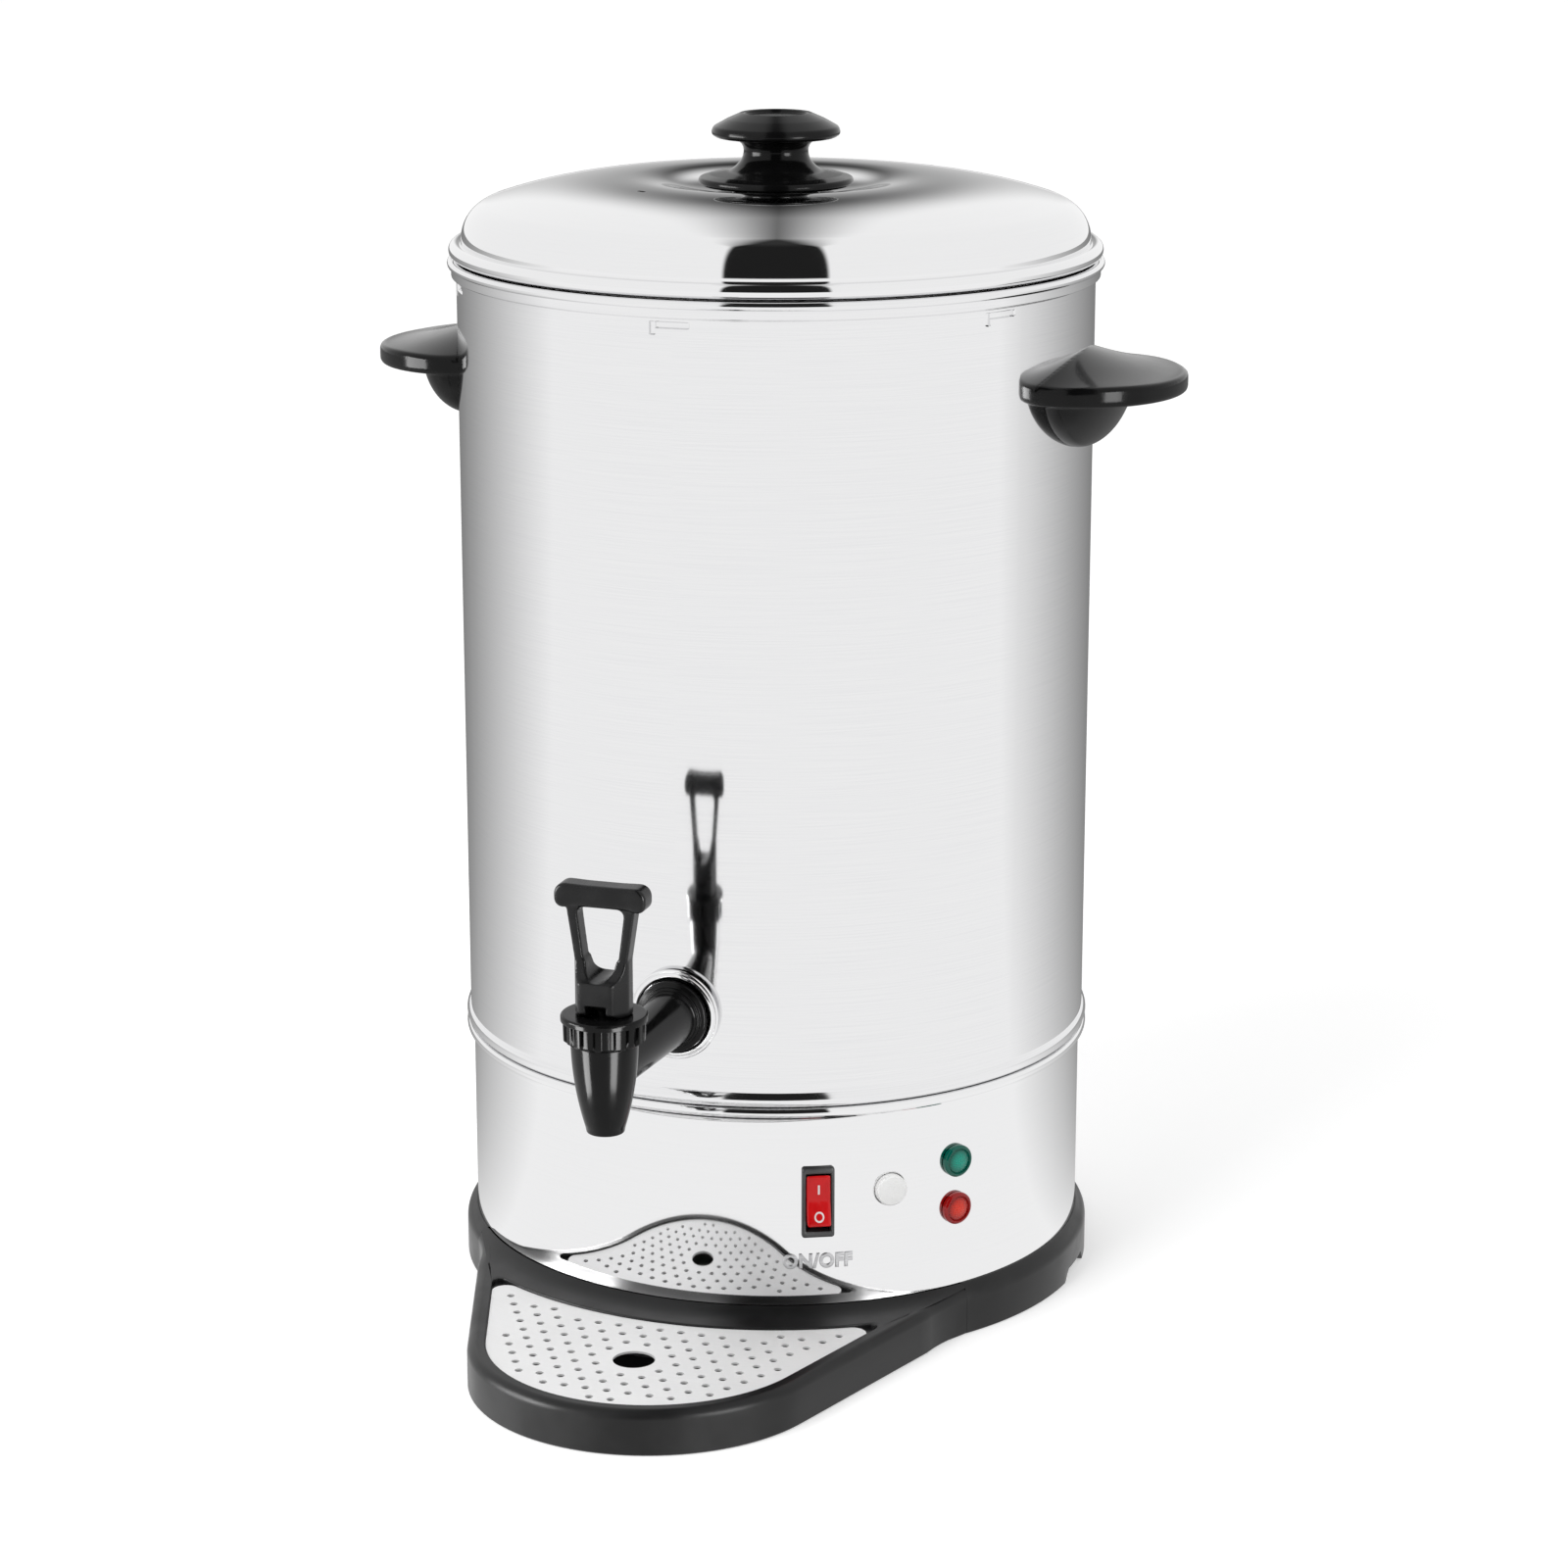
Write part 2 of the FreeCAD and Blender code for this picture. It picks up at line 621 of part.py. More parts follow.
def make_tank():
    wall = size.tank_radius
    inner = wall - size.tank_wall
    foot = size.tank_foot_z
    rim_low = size.rim_top_z - size.rim_height
    step = wall + size.rim_step_depth
    step_low = rim_low + size.rim_step_slope
    step_top = step_low + size.rim_step_height
    bead = bulge_radius(size.rim_top_z - step_top, size.rim_bead_depth)
    body = revolved_body("tank_vessel", [
        (inner, foot),
        (wall, foot, bulge_radius(size.foot_bead_height, size.foot_bead_depth), 1),
        (wall, foot + size.foot_bead_height),
        (wall, rim_low),
        (step, step_low),
        (step, step_top, bead, 1),
        (step, size.rim_top_z),
        (inner, size.rim_top_z),
        (inner, size.tank_floor_z),
        (0, size.tank_floor_z),
        (0, size.tank_floor_z - size.tank_floor_sheet),
        (inner, size.tank_floor_z - size.tank_floor_sheet),
    ])
    bar_top = rim_low - size.lug_drop
    bar_low = bar_top - size.lug_height
    stop_low = bar_top - size.lug_stop_height
    stop_turn = -(size.lug_width + size.lug_stop_width) / 2
    bars = []
    for low, width, turn in ((bar_low, size.lug_width, None), (stop_low, size.lug_stop_width, stop_turn)):
        bump = sketch_on(body, "YZ_Plane", turn=turn)
        lug_profile(bump, wall - size.lug_depth - size.tank_wall, inner + size.tank_wall / 2, low, bar_top)
        bars.append(turned(body, bump, width))
        dent = sketch_on(body, "YZ_Plane", turn=turn)
        lug_profile(dent, wall - size.press_depth, wall + 1, low + 0.3, bar_top - 0.3)
        bars.append(turned(body, dent, width, kind="Groove"))
    repeated(body, bars, size.lug_count)
    tap_hole = cylinder(
        "tap_hole", size.thread_radius + size.fit_gap, 30, 0, -(wall - 15), size.tap_z, *FRONTWARD,
    )
    bolt_holes = cylinder_pairs(
        "tank_bolt_hole", size.bolt_radius + 0.1, 2 * wall + 20, -wall - 10, *RIGHTWARD,
    )
    return keep(cut("tank_cut", body, [tap_hole, *bolt_holes]), "tank")


def cylinder_pairs(name, radius, length, x, axis, angle):
    """Two parallel cylinders along X at the bolts' places."""
    return [
        cylinder("%s_%s" % (name, side), radius, length, x, offset, size.bolt_z, axis, angle)
        for side, offset in (("front", -size.bolt_spacing / 2), ("rear", size.bolt_spacing / 2))
    ]


# Skirt, with the openings for the controls and the cord gland

def make_skirt():
    outer = size.skirt_radius
    inner = outer - size.skirt_wall
    top = size.tank_foot_z - 0.05
    bead_low = top - size.skirt_bead_height
    lip = outer + size.skirt_bead_depth
    body = revolved_body("skirt_shell", [
        (inner, size.core_height),
        (outer, size.core_height),
        (outer, bead_low, size.skirt_cove_radius, -1),
        (lip, bead_low + size.skirt_cove_height, size.skirt_nose_radius, 1),
        (lip - size.skirt_nose_back, top),
        (inner, top),
    ])
    tools = [
        on_wall(
            forward_tool("button_hole", size.button_radius + 0.5, 20), size.skirt_radius, size.button_angle,
            size.button_z,
        ),
        on_wall(
            forward_tool("green_hole", size.lamp_body_radius + 0.1, 20), size.skirt_radius, size.lamp_angle,
            size.green_z,
        ),
        on_wall(
            forward_tool("red_hole", size.lamp_body_radius + 0.1, 20), size.skirt_radius, size.lamp_angle,
            size.red_z,
        ),
        cylinder("gland_hole", size.gland_body + 0.1, 20, 0, size.skirt_radius - 10, size.gland_z, *REARWARD),
        rocker_opening(),
    ]
    return keep(cut("skirt_cut", body, tools), "skirt")


def rocker_opening():
    body = new_body("rocker_opening")
    sketch = sketch_on(body, "XZ_Plane")
    half_width, half_height = size.case_width / 2 + 0.1, size.case_height / 2 + 0.1
    rectangle(sketch, -half_width, half_width, -half_height, half_height)
    padded(body, sketch, 20, both_ways=True)
    return on_wall(body, size.skirt_radius, size.rocker_angle, size.rocker_z)


# Base ring, bottom plate, pads and fasteners

def make_base_ring():
    core = size.core_radius
    band = size.ring_inner_radius + size.screw_band
    web = size.core_height - size.ring_wall
    body = revolved_body("ring_core", [
        (core - size.ring_wall, 0),
        (core, 0),
        (core, size.core_height),
        (size.ring_inner_radius, size.core_height),
        (size.ring_inner_radius, size.plate_z),
        (band, size.plate_z),
        (band, web),
        (core - size.ring_wall, web),
    ])
    outer_band = sketch_on(body, "YZ_Plane")
    outline(outer_band, [
        (core - 0.5, 0), (size.ring_radius, 0),
        (size.ring_radius, size.ring_height - size.edge_round, size.edge_round, 1),
        (size.ring_radius - size.edge_round, size.ring_height),
        (core, size.core_height), (core - 0.5, size.core_height),
    ])
    turned(body, outer_band, 360 - 2 * size.seam_angle)
    boss = sketch_on(body, "XY_Plane", lift=size.foot_height)
    circle(boss, 0.7071 * size.foot_circle, 0.7071 * size.foot_circle, size.foot_radius + 0.6)
    bosses = padded(body, boss, web - size.foot_height + 0.5)
    repeated(body, [bosses], 4)
    pilot = sketch_on(body, "XY_Plane", lift=size.plate_z)
    circle(pilot, band - size.screw_band / 2, 0, size.screw_radius + 0.05)
    pilots = pocketed(body, pilot, size.screw_length, backwards=True)
    repeated(body, [pilots], 4)
    notch = box(
        "ring_notch", 2 * size.ring_radius + 10, size.notch_width, size.notch_height, -size.ring_radius - 5,
        -size.notch_width / 2, -1,
    )
    notch_guard = cylinder("notch_guard", core, size.notch_height + 2, 0, 0, -2)
    tools = [cut("outer_notch", notch, [notch_guard])]
    tools += [tongue("socket", side, size.fit_gap) for side in (-1, 1)]
    return keep(cut("base_ring_cut", body, tools), "base_ring")


def tongue(name, side, margin):
    """A tray tongue, or with a margin the socket that takes it, straight through the ring's wall."""
    half = size.tongue_width / 2
    start = core_front(size.tongue_x - half - size.fit_gap) + 1.2
    end = core_front(size.tongue_x + half) - size.ring_wall - size.tongue_grip
    x = size.tongue_x * side - half - margin
    label = "%s_%s" % (name, "right" if side > 0 else "left")
    high = size.tongue_height + 2 * margin
    return box(
        label, size.tongue_width + 2 * margin, start - end + margin, high, x, -start, size.tongue_z - margin,
    )


def core_front(x):
    """How far before the axis the base ring's core stands at a given x."""
    return root(size.core_radius * size.core_radius - x * x)


def make_base_fittings():
    pad_x = 0.7071 * size.foot_circle
    pads = [
        cylinder("pad_%d" % number, size.foot_radius, size.foot_height, pad_x * side, pad_x * end)
        for number, (side, end) in enumerate(((1, 1), (-1, 1), (-1, -1), (1, -1)))
    ]
    keep(group("pad_group", pads), "rubber_pads")
    screw_circle = size.ring_inner_radius + size.screw_band / 2
    under = size.plate_z - size.plate_sheet
    disc = cylinder(
        "bottom_disc", size.ring_inner_radius + size.screw_band - 1, size.plate_sheet, 0, 0, under,
    )
    holes = [cylinder("rod_hole", size.rod_radius + 0.2, 5, 0, 0, under - 1)]
    screws = []
    for number, (across, along) in enumerate(((1, 0), (0, 1), (-1, 0), (0, -1))):
        x, y = screw_circle * across, screw_circle * along
        holes.append(cylinder("plate_hole_%d" % number, size.screw_radius + 0.3, 5, x, y, under - 1))
        head_foot = under - size.screw_head_height
        screws.append(cylinder(
            "screw_head_%d" % number, size.screw_head_radius, size.screw_head_height, x, y, head_foot,
        ))
        screws.append(cylinder(
            "screw_thread_%d" % number, size.screw_radius, size.screw_length - 0.5, x, y, under - 0.1,
        ))
    keep(cut("bottom_plate_cut", disc, holes), "bottom_plate")
    keep(fused("screw_group", screws), "plate_screws")
    floor = size.tank_floor_z - size.tank_floor_sheet
    foot = under - size.nut_height + 0.5
    keep(cylinder("rod", size.rod_radius, floor - foot, 0, 0, foot), "tie_rod")
    keep(hex_nut(
        "tie_nut_shape", size.nut_radius, size.nut_height, size.rod_radius + 0.05,
        0, 0, under - size.nut_height,
    ), "tie_nut")


def hex_nut(name, radius, height, bore, x, y, z, axis=None, angle=None):
    body = new_body(name)
    sketch = sketch_on(body, "XY_Plane")
    flat = radius * 0.8660254
    outline(sketch, [
        (radius, 0), (radius / 2, flat), (-radius / 2, flat),
        (-radius, 0), (-radius / 2, -flat), (radius / 2, -flat),
    ])
    circle(sketch, 0, 0, bore)
    padded(body, sketch, height)
    place(body, x, y, z, axis, angle)
    return body


# Heating parts under the tank floor

def make_heating():
    under = size.tank_floor_z - size.tank_floor_sheet
    low = under - size.spreader_sheet
    keep(revolved_body("spreader", [
        (size.rod_radius + 1, low), (size.spreader_radius, low), (size.spreader_radius, under),
        (size.rod_radius + 1, under),
    ]), "heat_spreader")
    for name, radius in (("boil_element", size.boil_ring_radius), ("warm_element", size.warm_ring_radius)):
        keep(element(name + "_shape", radius, low), name)
    for name, azimuth in (("boil_thermostat", 60), ("warm_thermostat", 180), ("dry_cutout", 300)):
        keep(thermostat(name + "_shape", Size.of(azimuth), low), name)
    keep(terminal_block(), "terminal_block")


def element(name, radius, ceiling):
    """A ring element against the spreader, open at the rear, with a cold pin at each end."""
    ring = doc.addObject("Part::Torus", name + "_ring")
    bind(ring, "Radius1", radius)
    bind(ring, "Radius2", size.element_radius)
    ring.Angle3 = 330
    bind(ring, "Angle3", size.element_sweep)
    middle = ceiling - size.element_radius
    gap = (360 - size.element_sweep) / 2
    place(ring, 0, 0, middle, UPRIGHT, 90 + gap)
    pieces = [ring]
    for side in (-1, 1):
        x = radius * sine(gap) * side
        y = radius * cosine(gap)
        pieces.append(cylinder(
            "%s_pin_%d" % (name, side + 1), size.element_pin_radius, size.element_pin_length,
            x, y, middle - size.element_pin_length,
        ))
    return fused(name, pieces)


def thermostat(name, azimuth, ceiling):
    x, y = around(size.stat_circle, azimuth)
    can = cylinder(name + "_can", size.stat_radius, size.stat_height, x, y, ceiling - size.stat_height)
    pieces = [can]
    for side in (-1, 1):
        pieces.append(box(
            "%s_tab_%d" % (name, side + 1), size.tab_sheet, size.tab_width, size.tab_length + 1,
            x + side * size.stat_radius / 2 - size.tab_sheet / 2, y - size.tab_width / 2,
            ceiling - size.stat_height - size.tab_length,
        ))
    return fused(name, pieces)


def terminal_block():
    """A three-way block on the bottom plate."""
    body = box(
        "block_box", size.block_width, size.block_depth, size.block_height, -size.block_width / 2,
        size.block_y - size.block_depth / 2, size.plate_z,
    )
    pitch = size.block_width / 3
    height = size.plate_z + size.block_height / 2
    holes = [
        cylinder(
            "wire_hole_%d" % number, size.wire_hole_radius, size.block_depth + 2, (number - 1) * pitch,
            size.block_y + size.block_depth / 2 + 1, height, *FRONTWARD,
        )
        for number in range(3)
    ]
    return cut("block_cut", body, holes)


# Lid, lock ring and knob

def lid_seat_z():
    return size.rim_top_z + size.lid_gap


def lid_foot_z():
    return lid_seat_z() + size.lid_bead_height


def lid_middle_z():
    """Top of the flat under the knob."""
    return lid_foot_z() + size.lid_rise - size.dish_depth


def dome_arcs(lift, side):
    """The dome from its foot to the flat under the knob, moved inwards along its normals by lift.

    side is 1 from the foot inwards and -1 back outwards. The shoulder and the top are tangent arcs, and
    two equal arcs lead down into the dish.
    """
    foot, rise = lid_foot_z(), size.lid_rise
    width = size.lid_wall_radius - size.crown_radius
    small = size.lid_shoulder
    large = (width * width + rise * rise - 2 * width * small) / (2 * (rise - small))
    share = (small - lift) / (large - small)
    joint = (size.lid_wall_radius - small + (width - small) * share, foot + (large - rise) * share)
    run, drop = size.crown_radius - size.dish_radius, size.dish_depth
    bend = (run * run + drop * drop) / (4 * drop)
    halfway = (
        (size.crown_radius + size.dish_radius) / 2 + lift * run / (2 * bend),
        foot + rise - drop / 2 - lift * (1 - drop / (2 * bend)),
    )
    start = (size.lid_wall_radius - lift, foot)
    crown = (size.crown_radius, foot + rise - lift)
    flat = (size.dish_radius, foot + rise - drop - lift)
    radii = [small - lift, large - lift, bend - lift, bend + lift]
    turns = [1, 1, 1, -1]
    places = [start, joint, crown, halfway, flat]
    if side > 0:
        return [(*places[step], radii[step], turns[step]) for step in range(4)] + [flat]
    return [(*places[step], radii[step - 1], -turns[step - 1]) for step in range(4, 0, -1)] + [start]


def make_lid():
    """A spun steel lid: a dome with a sunk middle, and a bead that lies on the tank's rim."""
    foot, seat = lid_foot_z(), lid_seat_z()
    wall, sheet = size.lid_wall_radius, size.lid_sheet
    bore = size.knob_screw_radius + size.running_gap
    middle = (size.lid_bead_radius + wall) / 2
    bead_top = foot - 0.6
    bead = bulge_radius(bead_top - seat, size.lid_bead_radius - middle)
    shell = revolved_body("lid_form", [
        (wall - sheet, seat),
        (middle, seat, bead, 1),
        (middle, bead_top),
        *dome_arcs(0, 1),
        (bore, lid_middle_z()),
        (bore, lid_middle_z() - sheet),
        *dome_arcs(sheet, -1),
    ])
    slot = new_body("vent_slot")
    sketch = sketch_on(slot, "XY_Plane")
    half = (size.vent_length - size.vent_width) / 2
    tip = size.vent_width / 2
    outline(sketch, [
        (-half, -tip), (half, -tip, tip, 1), (half + tip, 0, tip, 1),
        (half, tip), (-half, tip, tip, 1), (-half - tip, 0, tip, 1),
    ])
    padded(slot, sketch, 60)
    x, y = around(size.vent_radius, size.vent_angle)
    place(slot, x, y, lid_foot_z(), UPRIGHT, size.vent_angle)
    return keep(cut("lid_cut", shell, [slot]), "lid_shell")


def make_lock_ring():
    """The steel band inside the lid, whose tabs pass between the tank's bars and turn under them."""
    outer = size.lid_wall_radius - size.lid_sheet - 0.1
    inner = outer - size.lock_sheet
    low = lid_seat_z() - size.lock_depth
    body = revolved_body(
        "lock_band",
        [(inner, low), (outer, low), (outer, low + size.lock_height), (inner, low + size.lock_height)],
    )
    bar_low = size.rim_top_z - size.rim_height - size.lug_drop - size.lug_height
    tab_top = bar_low - size.lock_gap
    tab = sketch_on(body, "YZ_Plane", turn=size.lock_turn)
    rectangle(tab, -size.lock_tab_radius, -(outer - 0.5), tab_top - size.lock_tab_height, tab_top)
    tabs = turned(body, tab, size.tab_angle)
    repeated(body, [tabs], size.lug_count)
    return keep(body, "lid_lock_ring")


def make_knob():
    top = lid_middle_z()
    keep(revolved_body("seat_ring", [
        (size.knob_screw_radius + size.running_gap, top),
        (size.knob_seat_radius, top),
        (size.knob_seat_radius, top + size.knob_seat_height),
        (size.knob_screw_radius + size.running_gap, top + size.knob_seat_height),
    ]), "knob_seat")
    foot = top + size.knob_seat_height
    bore = size.knob_screw_radius + size.running_gap
    depth = size.knob_screw_length + 0.5
    flange, neck, cap = size.knob_flange_radius, size.knob_neck_radius, size.knob_cap_radius
    crest = foot + size.knob_height
    keep(revolved_body("knob_form", [
        (bore, foot),
        (size.knob_seat_radius + 0.5, foot),
        (flange - 0.8, foot + 2.0, 1.5, 1),
        (flange - 0.8, foot + 4.7),
        (neck + 4.5, foot + 8.0, 12.0, -1),
        (neck, foot + 15.0, 9.0, -1),
        (neck + 6.0, foot + 20.6),
        (cap - 1.0, foot + 21.2, 1.9, 1),
        (cap - 0.9, foot + 24.8),
        (cap - 8.0, foot + 29.4),
        (neck + 0.7, crest),
        (neck - 0.3, crest - 0.8),
        (0, crest - 1.2),
        (0, foot + depth),
        (bore, foot + depth),
    ]), "knob")
    under = top - size.lid_sheet - 0.1
    head = size.knob_head_height
    shaft = size.knob_screw_radius
    keep(revolved_body("knob_screw_form", [
        (0, under - head), (size.knob_head_radius - 1, under - head),
        (size.knob_head_radius, under - head + 1),
        (size.knob_head_radius, under), (shaft, under),
        (shaft, foot + size.knob_screw_length), (0, foot + size.knob_screw_length),
    ]), "knob_screw")


# Side grips

def make_handles():
    wall = size.tank_radius
    top = size.grip_top_z
    low = top - size.grip_thickness
    lens = ellipsoid(
        "grip_lens", size.grip_reach, size.grip_half_width, size.grip_thickness * 1.5, wall, 0,
        (top + low) / 2,
    )
    slab = box(
        "grip_slab", 80, 2 * size.grip_half_width + 10, size.grip_thickness, wall - 30,
        -size.grip_half_width - 5, low,
    )
    grip = common("grip_plate", lens, slab)
    cup = ellipsoid("grip_cup", size.cup_reach, size.cup_half_width, size.cup_depth, wall, 0, top)
    cup_cut = box("cup_upper", 120, 200, 60, wall - 60, -100, top - 1)
    bracket = cut("grip_bracket", cup, [cup_cut])
    flare = ellipsoid("grip_flare", 40, size.scoop_half_width, size.scoop_height, wall - 20, 0, top - 1)
    flare_low = box("flare_lower", 160, 200, 60, wall - 100, -100, top - 61)
    hollow = cylinder(
        "flare_hollow", size.scoop_radius, 200, wall + size.scoop_radius - 1, 100, top + size.scoop_radius,
        *FRONTWARD,
    )
    front_cut = box("flare_front", 80, 200, 60, wall + size.scoop_radius - 1, -100, top)
    upper = cut("grip_upper", flare, [flare_low, hollow, front_cut])
    whole = fused("grip_whole", [grip, bracket, upper])
    tank_room = cylinder("grip_tank_room", wall + 0.1, 200, 0, 0, top - 120)
    hole_start = wall - 5
    hole_length = bolt_head_x() + size.bolt_head_height + size.bolt_length + 1 - hole_start
    holes = cylinder_pairs("grip_bolt_hole", size.bolt_radius + 0.1, hole_length, hole_start, *RIGHTWARD)
    right = keep(cut("grip_cut", whole, [tank_room, *holes]), "handle_right")
    left = doc.addObject("Part::Mirroring", "grip_mirror")
    left.Source = right
    left.Normal = (1, 0, 0)
    keep(left, "handle_left")
    make_bolts()


def bolt_head_x():
    """Inner end of a bolt's head, which bears on the curved wall by its outer edge."""
    inner = size.tank_radius - size.tank_wall
    reach = size.bolt_spacing / 2 + size.bolt_head_radius
    return root(inner * inner - reach * reach) - size.bolt_head_height - 0.1


def make_bolts():
    """Two bolts for each grip, with their heads inside the tank."""
    offset = size.bolt_spacing / 2
    head_x = bolt_head_x()
    shapes = []
    for side, axis, angle in ((1, *RIGHTWARD), (-1, *LEFTWARD)):
        for end in (-1, 1):
            name = "bolt_%d_%d" % (side + 1, end + 1)
            head = cylinder(
                name + "_head", size.bolt_head_radius, size.bolt_head_height, side * head_x, end * offset,
                size.bolt_z, axis, angle,
            )
            shank = cylinder(
                name + "_shank", size.bolt_radius, size.bolt_length + size.bolt_head_height, side * head_x,
                end * offset, size.bolt_z, axis, angle,
            )
            shapes.append(fused(name, [head, shank]))
    keep(group("bolt_group", shapes), "handle_bolts")


# Tap

def stand_at_tap(target, z=0.0):
    place(target, 0, -size.tap_reach, z)
    return target


def make_tap_body():
    """Nozzle, neck and shank in one moulding, with the water way through it."""
    outside = stand_at_tap(revolved_body("nozzle_form", [
        (0, size.nozzle_tip_z),
        (size.nozzle_tip_radius - 1.2, size.nozzle_tip_z, 1.2, 1),
        (size.nozzle_tip_radius, size.nozzle_tip_z + 1.2, size.nozzle_curve, 1),
        (size.nozzle_top_radius, size.bonnet_foot_z - 0.1),
        (size.neck_radius, size.bonnet_foot_z - 0.1),
        (size.neck_radius, size.bonnet_top_z - size.bonnet_web - 0.2),
        (0, size.bonnet_top_z - size.bonnet_web - 0.2),
    ]))
    washer_front = size.tank_radius + size.washer_stand + size.washer_sheet
    reach = size.tap_reach
    shank = cylinder("shank_front", size.shank_radius, reach - washer_front, 0, -reach, size.tap_z, *REARWARD)
    collar = cylinder(
        "shank_collar", size.collar_radius, size.collar_width, 0,
        -(washer_front + size.collar_width + 0.05), size.tap_z, *REARWARD,
    )
    inner_end = size.tank_radius - size.tank_wall - size.thread_length
    thread = cylinder(
        "shank_thread", size.thread_radius, washer_front - inner_end + 5, 0, -(washer_front + 5),
        size.tap_z, *REARWARD,
    )
    way = cylinder("shank_way", size.shank_bore, reach - inner_end + 2, 0, -reach, size.tap_z, *REARWARD)
    outlet = cylinder(
        "nozzle_way", size.nozzle_bore, size.seat_z - 2.5 - size.nozzle_tip_z + 1, 0, -reach,
        size.nozzle_tip_z - 1,
    )
    seat = cylinder("seat_way", size.seat_bore, 20, 0, -reach, size.seat_z - 10)
    chamber = cylinder(
        "chamber", size.chamber_radius, size.bonnet_top_z - size.seat_z, 0, -reach, size.seat_z,
    )
    whole = fused("tap_whole", [outside, shank, collar, thread])
    return keep(cut("tap_cut", whole, [way, outlet, seat, chamber]), "tap_body")


def make_tap_fixings():
    wall = size.tank_radius
    back = wall + size.washer_stand
    bore = size.thread_radius + 0.15
    washer = revolved_body("washer_form", [
        (bore, 0), (size.washer_radius, 0), (size.washer_radius, 1.2, 1.6, 1),
        (size.washer_radius - 1.6, size.washer_sheet), (bore, size.washer_sheet),
    ])
    place(washer, 0, -back, size.tap_z, *FRONTWARD)
    keep(washer, "tap_washer")
    disc = cylinder(
        "seal_disc", size.seal_radius, size.washer_stand + 2, 0, -(wall - 2), size.tap_z, *FRONTWARD,
    )
    room = cylinder("seal_tank_room", wall + 0.02, 60, 0, 0, size.tap_z - 30)
    hole = cylinder("seal_hole", bore, 20, 0, -(wall - 10), size.tap_z, *FRONTWARD)
    keep(cut("outer_seal_cut", disc, [room, hole]), "tap_outer_seal")
    inner = wall - size.tank_wall
    plug = cylinder(
        "inner_seal_disc", size.seal_radius, size.seal_sheet + 2, 0, -(inner - size.seal_sheet - 1),
        size.tap_z, *FRONTWARD,
    )
    shell = cylinder("inner_seal_shell", inner - 0.02, 60, 0, 0, size.tap_z - 30)
    saddle = common("inner_seal_saddle", plug, shell)
    through = cylinder("inner_seal_hole", bore, 20, 0, -(inner - 12), size.tap_z, *FRONTWARD)
    keep(cut("inner_seal_cut", saddle, [through]), "tap_inner_seal")
    nut_front = inner - size.seal_sheet - 1.05
    keep(hex_nut(
        "tap_nut_form", size.tap_nut_radius, size.tap_nut_height, bore, 0, -nut_front, size.tap_z, *REARWARD,
    ), "tap_nut")


def make_bonnet():
    core = size.bonnet_core_radius
    flange_low = size.bonnet_top_z - size.bonnet_flange
    web_low = size.bonnet_top_z - size.bonnet_web
    body = revolved_body("bonnet_form", [
        (size.neck_radius + 0.1, size.bonnet_foot_z),
        (core, size.bonnet_foot_z),
        (core, flange_low),
        (size.bonnet_radius - 0.8, flange_low),
        (size.bonnet_radius, flange_low + 0.8),
        (size.bonnet_radius, size.bonnet_top_z - 0.8),
        (size.bonnet_radius - 0.8, size.bonnet_top_z),
        (size.stem_radius + size.running_gap, size.bonnet_top_z),
        (size.stem_radius + size.running_gap, web_low),
        (size.neck_radius + 0.1, web_low),
    ])
    rib = sketch_on(body, "XY_Plane", lift=size.bonnet_foot_z)
    half = size.bonnet_rib_width / 2
    rectangle(rib, core - 0.6, size.bonnet_rib_radius, -half, half)
    ribs = padded(body, rib, flange_low - size.bonnet_foot_z + 0.3)
    repeated(body, [ribs], size.bonnet_ribs)
    stand_at_tap(body)
    return keep(body, "tap_bonnet")


def make_stem():
    cup_low = size.seat_z + size.valve_rest_gap
    cup_top = cup_low + size.cup_height
    shaft = stand_at_tap(revolved_body("stem_shaft", [
        (0, cup_low + 3), (size.stem_radius, cup_low + 3),
        (size.stem_radius, size.pin_z - size.stem_head_low + 1), (0, size.pin_z - size.stem_head_low + 1),
    ]))
    half_width, half_depth = size.stem_head_width / 2, size.stem_head_depth / 2
    head = box(
        "stem_head", size.stem_head_width, size.stem_head_depth, size.stem_head_low + size.stem_head_high,
        -half_width, -size.tap_reach - half_depth, size.pin_z - size.stem_head_low,
    )
    hole = cylinder(
        "stem_pin_hole", size.pin_radius + size.running_gap, 20, -10, -size.tap_reach, size.pin_z,
        *RIGHTWARD,
    )
    keep(cut("stem_cut", fused("stem_whole", [shaft, head]), [hole]), "valve_stem")
    bore = size.stem_radius + 0.05
    keep(stand_at_tap(revolved_body("cup_form", [
        (0, cup_low), (size.cup_radius - 1.4, cup_low), (size.cup_radius, cup_low + 1.4),
        (size.cup_radius, cup_low + size.cup_height * 0.5, 14.0, -1),
        (size.stem_radius + 1.8, cup_top), (bore, cup_top), (bore, cup_low + 2.95), (0, cup_low + 2.95),
    ])), "seat_cup")


def heel_points(count):
    """The lever's heel, about its pin: it stays flat on the bonnet as the stem rises evenly with the tilt."""
    start = size.pin_z.value - size.bonnet_top_z.value - size.heel_gap.value
    rise = size.heel_rise.value
    points = []
    for step in range(count + 1):
        tilt = math.radians(size.lever_travel.value + 4) * step / count
        reach = start + rise * tilt
        across = -reach * math.sin(tilt) - rise * math.cos(tilt)
        points.append(Vector(0, across, rise * math.sin(tilt) - reach * math.cos(tilt)))
    return points


